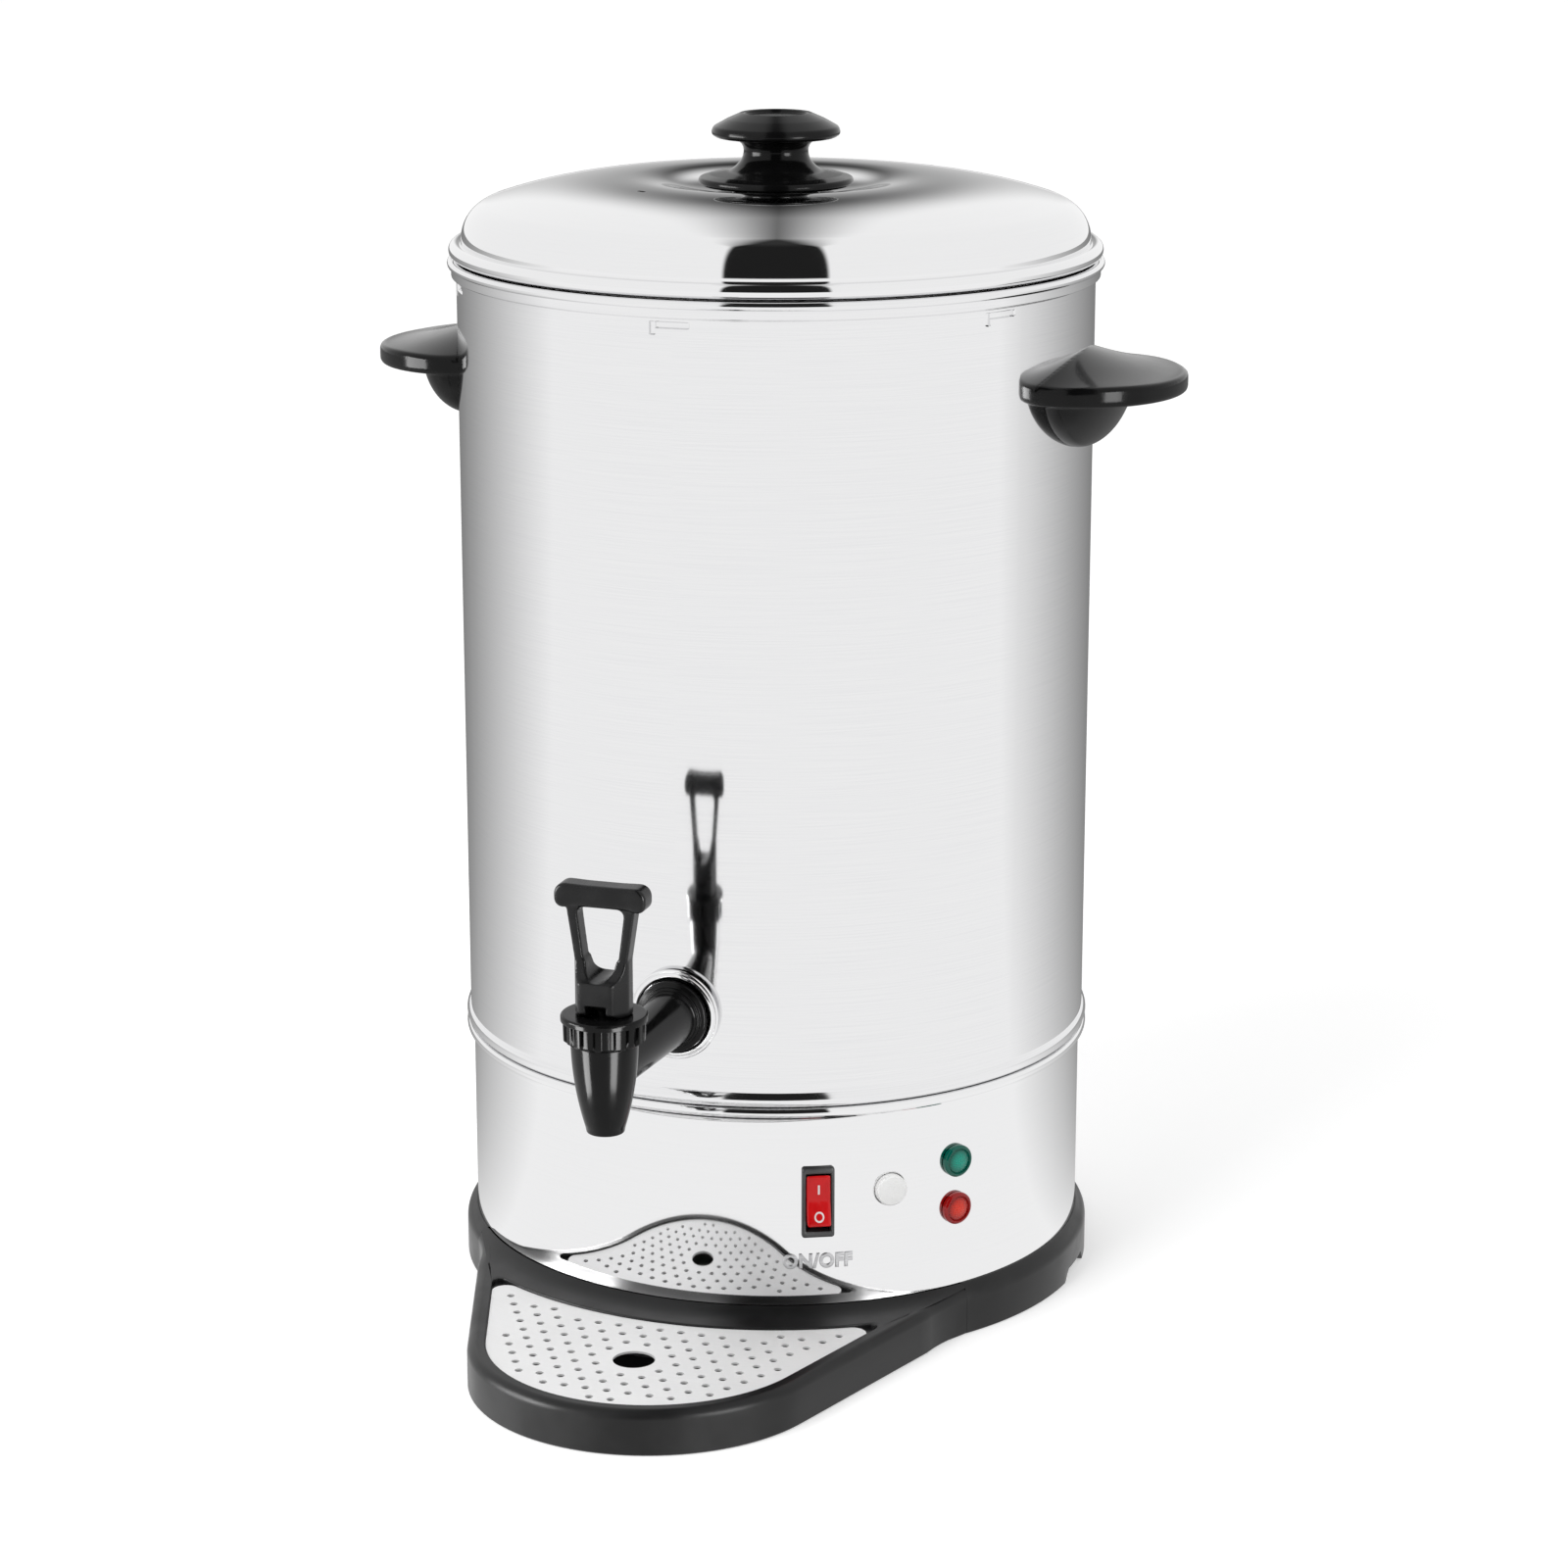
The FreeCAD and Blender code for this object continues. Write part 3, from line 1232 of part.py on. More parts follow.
def lever_block():
    """The block that stands on the bonnet, drawn from its side and cut to its eight-sided plan."""
    heel = heel_points(6)
    curve = Part.BSplineCurve()
    curve.interpolate(heel)
    depth, top = size.lever_half_depth.value, size.lever_block_top.value
    corners = [
        heel[-1], Vector(0, -depth, heel[-1].z + 0.6), Vector(0, -depth, top - 1.5),
        Vector(0, -depth + 4, top), Vector(0, depth - 2, top),
    ]
    corners += [
        Vector(0, depth, top - 2), Vector(0, depth, heel[0].z + 1.5), Vector(0, depth - 1.5, heel[0].z),
        heel[0],
    ]
    edges = [curve.toShape()]
    edges += [Part.makeLine(first, last) for first, last in zip(corners, corners[1:])]
    face = Part.Face(Part.Wire(Part.__sortEdges__(edges)))
    half = size.lever_half_width.value
    face.translate(Vector(-half, 0, 0))
    block = doc.addObject("Part::Feature", "lever_side_form")
    block.Shape = face.extrude(Vector(2 * half, 0, 0))
    block.Placement = Placement(Vector(0, -size.tap_reach.value, size.pin_z.value), Rotation())
    plan = new_body("lever_plan")
    sketch = sketch_on(plan, "XY_Plane")
    wide, deep, corner = size.lever_half_width, size.lever_half_depth + 0.5, size.lever_corner
    outline(sketch, [
        (-wide, -deep + 2 * corner), (-wide + corner, -deep), (wide - corner, -deep),
        (wide, -deep + 2 * corner),
        (wide, deep - 2 * corner), (wide - corner, deep), (-wide + corner, deep), (-wide, deep - 2 * corner),
    ])
    padded(plan, sketch, 30, both_ways=True)
    stand_at_tap(plan, size.pin_z)
    return common("lever_block", block, plan)


def lever_frame():
    """The open frame with its bar, seen from the front."""
    body = new_body("lever_frame")
    side = sketch_on(body, "XZ_Plane")
    foot, top = size.lever_half_width - 0.4, size.lever_frame_width / 2
    outline(side, [
        (-foot, -2), (foot, -2), (foot, 8.0, 60.0, -1), (top, size.lever_frame_top + 1),
        (-top, size.lever_frame_top + 1, 60.0, -1), (-foot, 8.0),
    ])
    padded(body, side, size.lever_frame_depth, both_ways=True)
    bar = sketch_on(body, "XZ_Plane")
    half, low = size.lever_bar_width / 2, size.lever_frame_top
    high, end = low + size.lever_bar_height, size.lever_bar_height * 0.42
    outline(bar, [
        (-half + end, low), (half - end, low, end, 1), (half, low + end), (half, high - end, end, 1),
        (half - end, high), (-half + end, high, end, 1), (-half, high - end), (-half, low + end, end, 1),
    ])
    padded(body, bar, size.lever_bar_depth, both_ways=True)
    window = sketch_on(body, "XZ_Plane")
    narrow, broad, corner = size.window_foot_width / 2, size.window_top_width / 2, size.window_corner
    base, head = size.window_foot, size.lever_frame_top
    outline(window, [
        (-narrow, base + narrow, narrow, 1), (0, base, narrow, 1), (narrow, base + narrow, 70.0, -1),
        (broad, head - corner, corner, 1), (broad - corner, head),
        (-broad + corner, head, corner, 1), (-broad, head - corner, 70.0, -1),
    ])
    pocketed(body, window, 40, both_ways=True)
    stand_at_tap(body, size.pin_z)
    return body


def make_lever():
    slot, half_slot = size.lever_slot, size.lever_slot / 2
    half_head = size.stem_head_depth / 2
    low_swing = root(half_head * half_head + size.stem_head_low * size.stem_head_low)
    high_swing = root(half_head * half_head + size.stem_head_high * size.stem_head_high)
    depth = low_swing + size.fit_gap
    bottom = size.pin_z - 12
    pocket_height = 12 + high_swing + 0.2
    pocket = box("lever_pocket", slot, 2 * depth, pocket_height, -half_slot, -size.tap_reach - depth, bottom)
    notch_top = size.bonnet_top_z + size.heel_gap + size.lever_notch
    notch = box("lever_notch_box", slot, 40, notch_top - bottom, -half_slot, -size.tap_reach - 20, bottom)
    pin_hole = cylinder(
        "lever_pin_hole", size.pin_radius + 0.02, 60, -30, -size.tap_reach, size.pin_z, *RIGHTWARD,
    )
    whole = fused("lever_whole", [lever_block(), lever_frame()])
    keep(cut("lever_cut", whole, [pocket, notch, pin_hole]), "tap_lever")
    keep(cylinder(
        "lever_pin_rod", size.pin_radius, size.pin_length, -size.pin_length / 2, -size.tap_reach, size.pin_z,
        *RIGHTWARD,
    ), "lever_pin")


# Controls on the skirt

def make_rocker():
    """Frame and case in one moulding, and the rocker in it with its upper end pressed in."""
    body = new_body("rocker_case")
    bezel = sketch_on(body, "XZ_Plane")
    half_width, half_height = size.bezel_width / 2, size.bezel_height / 2
    rectangle(bezel, -half_width, half_width, -half_height, half_height)
    padded(body, bezel, size.bezel_thick)
    case = sketch_on(body, "XZ_Plane")
    case_width, case_height = size.case_width / 2, size.case_height / 2
    rectangle(case, -case_width, case_width, -case_height, case_height)
    padded(body, case, size.case_depth, backwards=True)
    well = sketch_on(body, "XZ_Plane", lift=size.bezel_thick)
    gap = size.fit_gap
    well_width, well_height = size.rocker_width / 2 + gap, size.rocker_length / 2 + gap
    rectangle(well, -well_width, well_width, -well_height, well_height)
    pocketed(body, well, size.bezel_thick + size.case_depth - 2)
    bearing = sketch_on(body, "YZ_Plane")
    circle(bearing, size.rocker_depth, 0, size.trunnion_radius + size.running_gap)
    pocketed(body, bearing, size.case_width + 1, both_ways=True)
    on_wall(body, size.skirt_radius + 0.02, size.rocker_angle, size.rocker_z)
    keep(body, "rocker_housing")
    rocker = new_body("rocker_form")
    side = sketch_on(rocker, "YZ_Plane")
    pivot = size.rocker_depth
    end = size.rocker_length / 2 - (pivot + size.bezel_thick) * sine(size.rocker_tilt) - gap
    face = -pivot - size.bezel_thick - 1.5
    outline(side, [
        (face, 0), (face - 1.3, end), (face + 3.4, end),
        (3.0, 4.0, 5.0, -1), (3.0, -4.0), (face + 3.4, -end), (face - 1.3, -end),
    ])
    padded(rocker, side, size.rocker_width, both_ways=True)
    trunnion = sketch_on(rocker, "YZ_Plane")
    circle(trunnion, 0, 0, size.trunnion_radius)
    padded(rocker, trunnion, size.case_width - gap, both_ways=True)
    tilt = doc.addObject("Part::Compound", "rocker_tilted")
    tilt.Links = [rocker]
    place(tilt, 0, 0, 0, Vector(1, 0, 0), -size.rocker_tilt)
    turned_rocker = doc.addObject("Part::Compound", "rocker_stood")
    turned_rocker.Links = [tilt]
    on_wall(turned_rocker, size.skirt_radius + 0.02 - pivot, size.rocker_angle, size.rocker_z)
    return keep(turned_rocker, "rocker")


def facing_form(name, corners, radius, azimuth, z, pull=0.0):
    """A round piece that faces outwards from the skirt; heights in its outline run outwards."""
    body = revolved_body(name, corners)
    stood = doc.addObject("Part::Compound", name + "_stood")
    place(body, 0, 0, 0, *FRONTWARD)
    stood.Links = [body]
    on_wall(stood, radius + pull, azimuth, z)
    return stood


def make_button():
    radius, stand = size.button_radius, size.button_stand
    post = 2.5
    keep(facing_form("button_form", [
        (0, -12.0), (post, -12.0), (post, -4.0), (radius, -4.0),
        (radius, stand - 1.0), (radius - 1.0, stand), (0, stand + 0.4),
    ], size.skirt_radius, size.button_angle, size.button_z), "reboil_button")
    case, wall = size.button_case_radius, 1.6
    inner = size.skirt_wall + 0.35
    bore = radius + size.fit_gap
    keep(facing_form("button_case_form", [
        (0, -size.button_case_depth), (case, -size.button_case_depth), (case, -inner),
        (bore, -inner), (bore, -4.0 - size.button_travel - wall + 1.2),
        (post + 0.3, -4.0 - size.button_travel - wall + 1.2),
        (post + 0.3, -12.0 - size.button_travel - 0.4), (0, -12.0 - size.button_travel - 0.4),
    ], size.skirt_radius, size.button_angle, size.button_z), "reboil_switch")


def make_lamps():
    for colour, z in (("green", size.green_z), ("red", size.red_z)):
        lens, body = size.lens_radius, size.lamp_body_radius
        keep(facing_form(colour + "_lens_form", [
            (0, 0.25), (lens, 0.25), (lens, 1.6), (lens - 1.2, size.lens_height - 0.6),
            (lens - 2.6, size.lens_height), (0, size.lens_height + 0.3),
        ], size.skirt_radius, size.lamp_angle, z), colour + "_lens")
        keep(facing_form(colour + "_lamp_form", [
            (0, -size.lamp_body_depth), (body - 1.2, -size.lamp_body_depth),
            (body, -size.lamp_body_depth + 3), (body, 0.2), (0, 0.2),
        ], size.skirt_radius, size.lamp_angle, z), colour + "_lamp_body")


def make_gland():
    """A flanged sleeve for the cord at the rear of the skirt."""
    sleeve = revolved_body("gland_form", [
        (size.gland_bore, -size.gland_length / 2), (size.gland_body, -size.gland_length / 2),
        (size.gland_body, 0.35), (size.gland_radius, 0.35), (size.gland_radius, 2.4),
        (size.gland_body - 0.5, size.gland_length / 2), (size.gland_bore, size.gland_length / 2),
    ])
    place(sleeve, 0, size.skirt_radius, size.gland_z, *REARWARD)
    return keep(sleeve, "cord_gland")


# Drip tray and drip plate

def side_x(radius, y):
    """Half width of a tapering side that is tangent to a nose of the given radius, at y before the axis."""
    angle = size.side_angle
    tangent_y = size.nose_centre + radius * sine(angle)
    return radius * cosine(angle) + (tangent_y - y) * sine(angle) / cosine(angle)


def nose_corners(radius):
    """Where the sides run into the nose, as x and distance before the axis."""
    angle = size.side_angle
    return radius * cosine(angle), size.nose_centre + radius * sine(angle)


def grille_outline(sketch, margin):
    """The drip plate's outline, drawn in by a margin from the tray's rim."""
    radius = size.nose_radius - size.tray_rim - margin
    back = size.grille_back_radius + margin
    angle = size.side_angle
    nose_x, nose_y = nose_corners(radius)
    slope = nose_x * sine(angle) - nose_y * cosine(angle)
    rest = nose_x * nose_x + nose_y * nose_y - back * back
    travel = root(slope * slope - rest) * -1 - slope
    corner_x = nose_x + travel * sine(angle)
    corner_y = nose_y - travel * cosine(angle)
    outline(sketch, [
        (nose_x, -nose_y), (corner_x, -corner_y, back, -1), (-corner_x, -corner_y),
        (-nose_x, -nose_y, radius, 1),
    ])


def upright_edges(shape, least):
    """Names of the upright edges that stand at least so far from the plane of symmetry, behind the nose."""
    names = []
    for number, edge in enumerate(shape.Edges, start=1):
        limits = edge.BoundBox
        upright = limits.XLength < 0.01 and limits.YLength < 0.01 and limits.ZLength > 0.1
        if upright and abs(limits.XMin) > least and limits.YMin > -size.nose_centre.value:
            names.append("Edge%d" % number)
    return names


def top_outer_edges(shape, inner):
    """Names of the edges round the top of the tray's form, without those that face the base ring."""
    names = []
    for number, edge in enumerate(shape.Edges, start=1):
        limits = edge.BoundBox
        level = limits.ZLength < 0.01 and abs(limits.ZMin - shape.BoundBox.ZMax) < 0.01
        middle = edge.valueAt((edge.FirstParameter + edge.LastParameter) / 2)
        if level and math.hypot(middle.x, middle.y) > inner:
            names.append("Edge%d" % number)
    return names


def rounded(body, tip, names, radius):
    fillet = body.newObject("PartDesign::Fillet", body.Name + "_rounding")
    fillet.Base = (tip, names)
    bind(fillet, "Radius", radius)
    body.Tip = fillet
    return fillet


def grille_body(name, margin, low, high, corner):
    body = new_body(name)
    sketch = sketch_on(body, "XY_Plane", lift=low)
    grille_outline(sketch, margin)
    slab = padded(body, sketch, high - low)
    doc.recompute()
    rounded(body, slab, upright_edges(slab.Shape, 60.0), corner)
    return body


def make_tray():
    angle, height = size.seam_angle, size.ring_height
    seam_x, seam_y = size.ring_radius * sine(angle), size.ring_radius * cosine(angle)
    hug = size.core_radius + size.fit_gap
    hug_x, hug_y = hug * sine(angle), hug * cosine(angle)
    nose_x, nose_y = nose_corners(size.nose_radius)
    flare_x = side_x(size.nose_radius, size.flare_y)
    body = new_body("tray_form")
    plan = sketch_on(body, "XY_Plane")
    outline(plan, [
        (seam_x, -seam_y), (hug_x, -hug_y, hug, -1), (-hug_x, -hug_y),
        (-seam_x, -seam_y, size.flare_radius, -1),
        (-flare_x, -size.flare_y), (-nose_x, -nose_y, size.nose_radius, 1),
        (nose_x, -nose_y), (flare_x, -size.flare_y, size.flare_radius, -1),
    ])
    block = padded(body, plan, height)
    doc.recompute()
    rounded(body, block, top_outer_edges(block.Shape, size.ring_radius.value), size.edge_round)
    seat_z = height - size.grille_drop - size.grille_sheet
    recess = grille_body("tray_recess", Size.of(0.0), seat_z, height + 5, size.grille_corner)
    well = grille_body("tray_well", size.tray_ledge, size.tray_floor, height, size.grille_corner - 1)
    tongues = [tongue("tongue", side, 0.0) for side in (-1, 1)]
    whole = fused("tray_whole", [body, *tongues])
    return keep(cut("tray_cut", whole, [recess, well]), "drip_tray")


def hole_places():
    """Middles of the small holes: staggered rows over the plate, clear of its edge and of the middle hole."""
    margin = size.hole_margin.value
    radius = size.nose_radius.value - size.tray_rim.value - margin
    back = size.grille_back_radius.value + margin
    pitch, rows = size.hole_pitch.value, size.hole_rows.value
    middle = size.drain_y.value
    clear = size.drain_radius.value + margin
    places = []
    for row in range(-12, 13):
        y = middle + row * rows
        for column in range(-12, 13):
            x = (column + 0.5 * (row % 2)) * pitch
            inside_side = abs(x) < side_x(Size.of(radius), Size.of(y)).value
            inside_nose = y < size.nose_centre.value or math.hypot(x, y - size.nose_centre.value) < radius
            if inside_side and inside_nose and math.hypot(x, y) > back and math.hypot(x, y - middle) > clear:
                places.append((x, -y))
    return places


def make_grille():
    low = size.ring_height - size.grille_drop - size.grille_sheet + 0.05
    plate = grille_body("grille_form", size.fit_gap, low, low + size.grille_sheet, size.grille_corner)
    punch = doc.addObject("Part::Feature", "grille_punch")
    punch.Shape = Part.makeCompound([
        Part.makeCylinder(size.hole_radius.value, 6, Vector(x, y, low.value - 2)) for x, y in hole_places()
    ])
    drain = cylinder("grille_drain", size.drain_radius, 6, 0, -size.drain_y, low - 2)
    return keep(cut("grille_cut", plate, [drain, punch]), "drip_plate")


def check_document():
    """Stop before anything is written if an object failed or a sub-part isn't sound."""
    for item in doc.Objects:
        if "Invalid" in item.State or "Error" in item.State:
            raise RuntimeError("%s failed: %s" % (item.Name, item.State))
    for label, item in subparts.items():
        if item.Shape.isNull() or not item.Shape.isValid() or not item.Shape.Solids:
            raise RuntimeError("%s has no sound solid" % label)


def main():
    make_tank()
    make_skirt()
    make_base_ring()
    make_base_fittings()
    make_heating()
    make_lid()
    make_lock_ring()
    make_knob()
    make_handles()
    make_tap_body()
    make_tap_fixings()
    make_bonnet()
    make_stem()
    make_lever()
    make_rocker()
    make_button()
    make_lamps()
    make_gland()
    make_tray()
    make_grille()
    doc.recompute()
    check_document()
    os.makedirs("parts", exist_ok=True)
    for label, item in subparts.items():
        item.Shape.exportStep("parts/%s.step" % label)
        print("%-18s %2d solid(s) %10.1f mm3" % (label, len(item.Shape.Solids), item.Shape.Volume))


main()
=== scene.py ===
"""Hot water urn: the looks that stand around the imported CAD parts.

Lengths in the pieces' classes are millimetres, apart from voxel, and are turned to metres when a mesh is
written; finishes and the studio are in metres. An azimuth is counted from the front (-Y) towards the
user's right (+X), seen from above, in degrees. A profile is a path of (radius, height), and a corner of
a path is (a, b) or, where it is rounded, (a, b, fillet).
"""

import json
import logging
import math
from collections.abc import Callable, Sequence
from dataclasses import dataclass
from enum import Enum

import bmesh
import bpy
import numpy as np
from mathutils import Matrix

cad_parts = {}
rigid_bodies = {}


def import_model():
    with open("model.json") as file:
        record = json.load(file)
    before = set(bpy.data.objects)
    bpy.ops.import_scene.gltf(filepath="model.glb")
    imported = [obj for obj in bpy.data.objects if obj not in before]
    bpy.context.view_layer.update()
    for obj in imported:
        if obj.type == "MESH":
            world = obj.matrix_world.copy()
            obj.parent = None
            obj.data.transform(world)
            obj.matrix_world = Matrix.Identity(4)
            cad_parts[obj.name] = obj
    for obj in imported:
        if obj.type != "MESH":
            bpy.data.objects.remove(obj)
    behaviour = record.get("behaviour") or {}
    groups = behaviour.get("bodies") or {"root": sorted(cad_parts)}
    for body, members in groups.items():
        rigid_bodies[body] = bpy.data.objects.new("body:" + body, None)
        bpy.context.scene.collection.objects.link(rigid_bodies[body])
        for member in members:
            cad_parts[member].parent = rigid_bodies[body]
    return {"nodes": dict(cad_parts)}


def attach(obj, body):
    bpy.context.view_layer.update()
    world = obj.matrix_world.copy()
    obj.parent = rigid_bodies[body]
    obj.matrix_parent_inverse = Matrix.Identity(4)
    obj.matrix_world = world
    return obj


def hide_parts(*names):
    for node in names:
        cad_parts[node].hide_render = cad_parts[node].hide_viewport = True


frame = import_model()

LOG = logging.getLogger("urn")
MM = 0.001
FULL_TURN = 360.0
SHARP_EDGE = 38.0    # degrees between two faces, past which their edge stays sharp
ONE_POINT = 2e-6     # metres within which points are merged
NO_EDGE = 1e-7       # metres under which an edge is dissolved
EDGE_SHARE = 0.499   # the most of an edge that one fillet takes up

Colour = tuple[float, float, float]
Point = tuple[float, float]
Spot = tuple[float, float, float]
Corners = Sequence[tuple[float, ...]]
Move = Callable[[np.ndarray], np.ndarray]
Socket = bpy.types.NodeSocket
Inputs = dict[str | int, object]


class Body(Enum):
    """The CAD bodies that new pieces ride on."""

    URN = "urn"
    LID = "lid"
    LEVER = "lever"
    ROCKER = "rocker"
    BUTTON = "reboil_button"
    TRAY = "tray"


class Slot(Enum):
    """The record's material slots, which each new piece's fit names; the script doesn't give them to the pieces."""

    SATIN_STEEL = "satin_steel"
    POLISHED_STEEL = "polished_steel"
    BLACK_GLOSS = "black_gloss"
    BLACK_SATIN = "black_satin"
    WHITE_PLASTIC = "white_plastic"
    RED_PLASTIC = "red_plastic"
    RED_LENS = "red_lens"
    GREEN_LENS = "green_lens"


# Paths

def points_of(*parts: np.ndarray | float) -> np.ndarray:
    """Points from their coordinates, which are brought to one shape and put side by side."""
    return np.stack(np.broadcast_arrays(*parts), axis=-1)


def polar(radius: np.ndarray, azimuth: np.ndarray, height: np.ndarray) -> np.ndarray:
    """Points from a radius, an azimuth in degrees and a height: x = r sin a, y = -r cos a, z = h."""
    turn = np.radians(azimuth)
    return points_of(radius * np.sin(turn), -radius * np.cos(turn), height)


def rounded(corners: Corners, closed: bool = False, turn: float = 9.0) -> np.ndarray:
    """A path through corners, where a fillet is the arc tangent to both edges.

    Args:
        corners: (a, b) or (a, b, fillet), in order.
        closed: whether the last corner runs on into the first.
        turn: the most degrees between two points of an arc.

    Returns:
        An array of (a, b) points.
    """
    places = np.array([corner[:2] for corner in corners], float)
    pieces = []
    for number, corner in enumerate(corners):
        here = places[number]
        at_end = not closed and number in (0, len(corners) - 1)
        if len(corner) < 3 or at_end:
            pieces.append(here[None])
            continue
        back = places[number - 1] - here
        ahead = places[(number + 1) % len(corners)] - here
        back_length, ahead_length = np.linalg.norm(back), np.linalg.norm(ahead)
        back, ahead = back / back_length, ahead / ahead_length
        half = math.acos(np.clip(back @ ahead, -1, 1)) / 2
        reach = min(corner[2] / math.tan(half), EDGE_SHARE * back_length, EDGE_SHARE * ahead_length)
        radius = reach * math.tan(half)
        middle = back + ahead
        centre = here + middle / np.linalg.norm(middle) * radius / math.sin(half)
        first, last = here + back * reach - centre, here + ahead * reach - centre
        start = math.atan2(first[1], first[0])
        sweep = (math.atan2(last[1], last[0]) - start + math.pi) % (2 * math.pi) - math.pi
        count = max(2, math.ceil(math.degrees(abs(sweep)) / turn - 0.001)) + 1
        angle = np.linspace(start, start + sweep, count)
        pieces.append(centre + radius * points_of(np.cos(angle), np.sin(angle)))
    return np.concatenate(pieces)


def bow(start: Point, end: Point, rise: float, count: int = 10) -> np.ndarray:
    """The arc from start to end whose middle stands off its chord by rise, to the right of the way it goes.

    Args:
        start: first point.
        end: last point.
        rise: height of the arc over its chord, negative for the other side.
        count: number of steps.

    Returns:
        An array of (a, b) points with both ends.
    """
    first, last = np.array(start, float), np.array(end, float)
    chord = last - first
    length = np.linalg.norm(chord)
    along = chord / length
    aside = np.array([along[1], -along[0]])
    radius = (length * length / 4 + rise * rise) / (2 * abs(rise))
    half = math.asin(min(1.0, length / 2 / radius))
    angle = np.linspace(-half, half, count + 1)
    stand = radius * (np.cos(angle) - math.cos(half)) * math.copysign(1, rise)
    return (first + last) / 2 + np.outer(radius * np.sin(angle), along) + np.outer(stand, aside)


def arc(centre: Point, radius: float, start: float, end: float, count: int) -> np.ndarray:
    """Points of an arc about a centre from one angle to another, in degrees from the first axis."""
    angle = np.radians(np.linspace(start, end, count + 1))
    return np.array(centre) + radius * points_of(np.cos(angle), np.sin(angle))


def joined(*paths: np.ndarray | Sequence[Point]) -> np.ndarray:
    """One path of several in a row."""
    return np.concatenate([np.atleast_2d(np.array(path, float)) for path in paths])


def upright(radius: float, heights: np.ndarray) -> np.ndarray:
    """A path straight up or down at one radius, through given heights."""
    return points_of(radius, heights)


def line(start: np.ndarray, end: np.ndarray, count: int) -> np.ndarray:
    """Points on the way from one point to another, in even steps, without the first."""
    return start + (end - start) * np.linspace(0, 1, count + 1)[1:, None]


def whole_turn(step: float = 2.0) -> np.ndarray:
    """Azimuths all the way round, without the last, which is the first again."""
    return np.arange(0, FULL_TURN, step)


def soft_step(value: np.ndarray, low: float, high: float) -> np.ndarray:
    """0 below low and 1 above high, with a smooth cubic between."""
    share = np.clip((value - low) / (high - low), 0, 1)
    return share * share * (3 - 2 * share)


# Loops

def normals(loop: np.ndarray) -> np.ndarray:
    """Outward unit normals of a closed plane loop that runs anticlockwise: its chord turned clockwise.

    Args:
        loop: (a, b) points.

    Returns:
        One normal for each point.
    """
    chord = np.roll(loop, -1, axis=0) - np.roll(loop, 1, axis=0)
    chord /= np.linalg.norm(chord, axis=1, keepdims=True)
    return points_of(chord[:, 1], -chord[:, 0])


def even(loop: np.ndarray, count: int, closed: bool = True) -> np.ndarray:
    """A path divided evenly by its length.

    Args:
        loop: (a, b) points.
        count: number of points wanted.
        closed: whether the last point runs on into the first.

    Returns:
        The new points.
    """
    path = np.vstack([loop, loop[:1]]) if closed else loop
    steps = np.linalg.norm(np.diff(path, axis=0), axis=1)
    length = np.concatenate([[0], np.cumsum(steps)])
    wanted = np.linspace(0, length[-1], count, endpoint=not closed)
    return points_of(*(np.interp(wanted, length, path[:, axis]) for axis in (0, 1)))


def both_sides(right: Corners) -> list[tuple[float, ...]]:
    """Corners of a closed outline: its right half upwards, then the mirror image of that downwards."""
    return [*right, *((-corner[0], *corner[1:]) for corner in reversed(right))]


def box_loop(half_width: float, half_height: float, fillet: float, count: int = 0) -> np.ndarray:
    """A rectangle with rounded corners about the origin, anticlockwise.

    Args:
        half_width: half its size across.
        half_height: half its size upwards.
        fillet: rounding of its corners.
        count: number of points, evenly spaced; only the corners' own where it is 0.

    Returns:
        The loop.
    """
    right = [(half_width, -half_height, fillet), (half_width, half_height, fillet)]
    loop = rounded(both_sides(right), closed=True)
    return even(loop, count) if count else loop


def by_angle(loop: np.ndarray, angle: np.ndarray) -> np.ndarray:
    """The points where rays from the origin meet a loop that is seen whole from there.

    Args:
        loop: (a, b) points round the origin.
        angle: degrees of the rays from the first axis.

    Returns:
        One point for each ray.
    """
    own = np.degrees(np.arctan2(loop[:, 1], loop[:, 0])) % FULL_TURN
    order = np.argsort(own)
    own, radius = own[order], np.hypot(loop[:, 0], loop[:, 1])[order]
    own = np.concatenate([own[-1:] - FULL_TURN, own, own[:1] + FULL_TURN])
    radius = np.concatenate([radius[-1:], radius, radius[:1]])
    reach = np.interp(angle % FULL_TURN, own, radius)
    turn = np.radians(angle)
    return points_of(reach * np.cos(turn), reach * np.sin(turn))


# Grids

def revolved(profile: np.ndarray, azimuth: np.ndarray) -> np.ndarray:
    """A profile of (radius, height) carried round the vertical axis, as a grid of points."""
    return polar(profile[:, :1], azimuth[None], profile[:, 1:])


def at_height(loop: np.ndarray, height: float) -> np.ndarray:
    """A plane loop as (a, b, height)."""
    return points_of(loop[:, 0], loop[:, 1], height)


def block(loop: np.ndarray, low: float, high: float) -> np.ndarray:
    """A plane loop carried from one height to another, closed in its middle at both ends."""
    middle = np.broadcast_to(loop.mean(axis=0), loop.shape)
    return np.stack([at_height(middle, low), at_height(loop, low), at_height(loop, high), at_height(middle, high)])


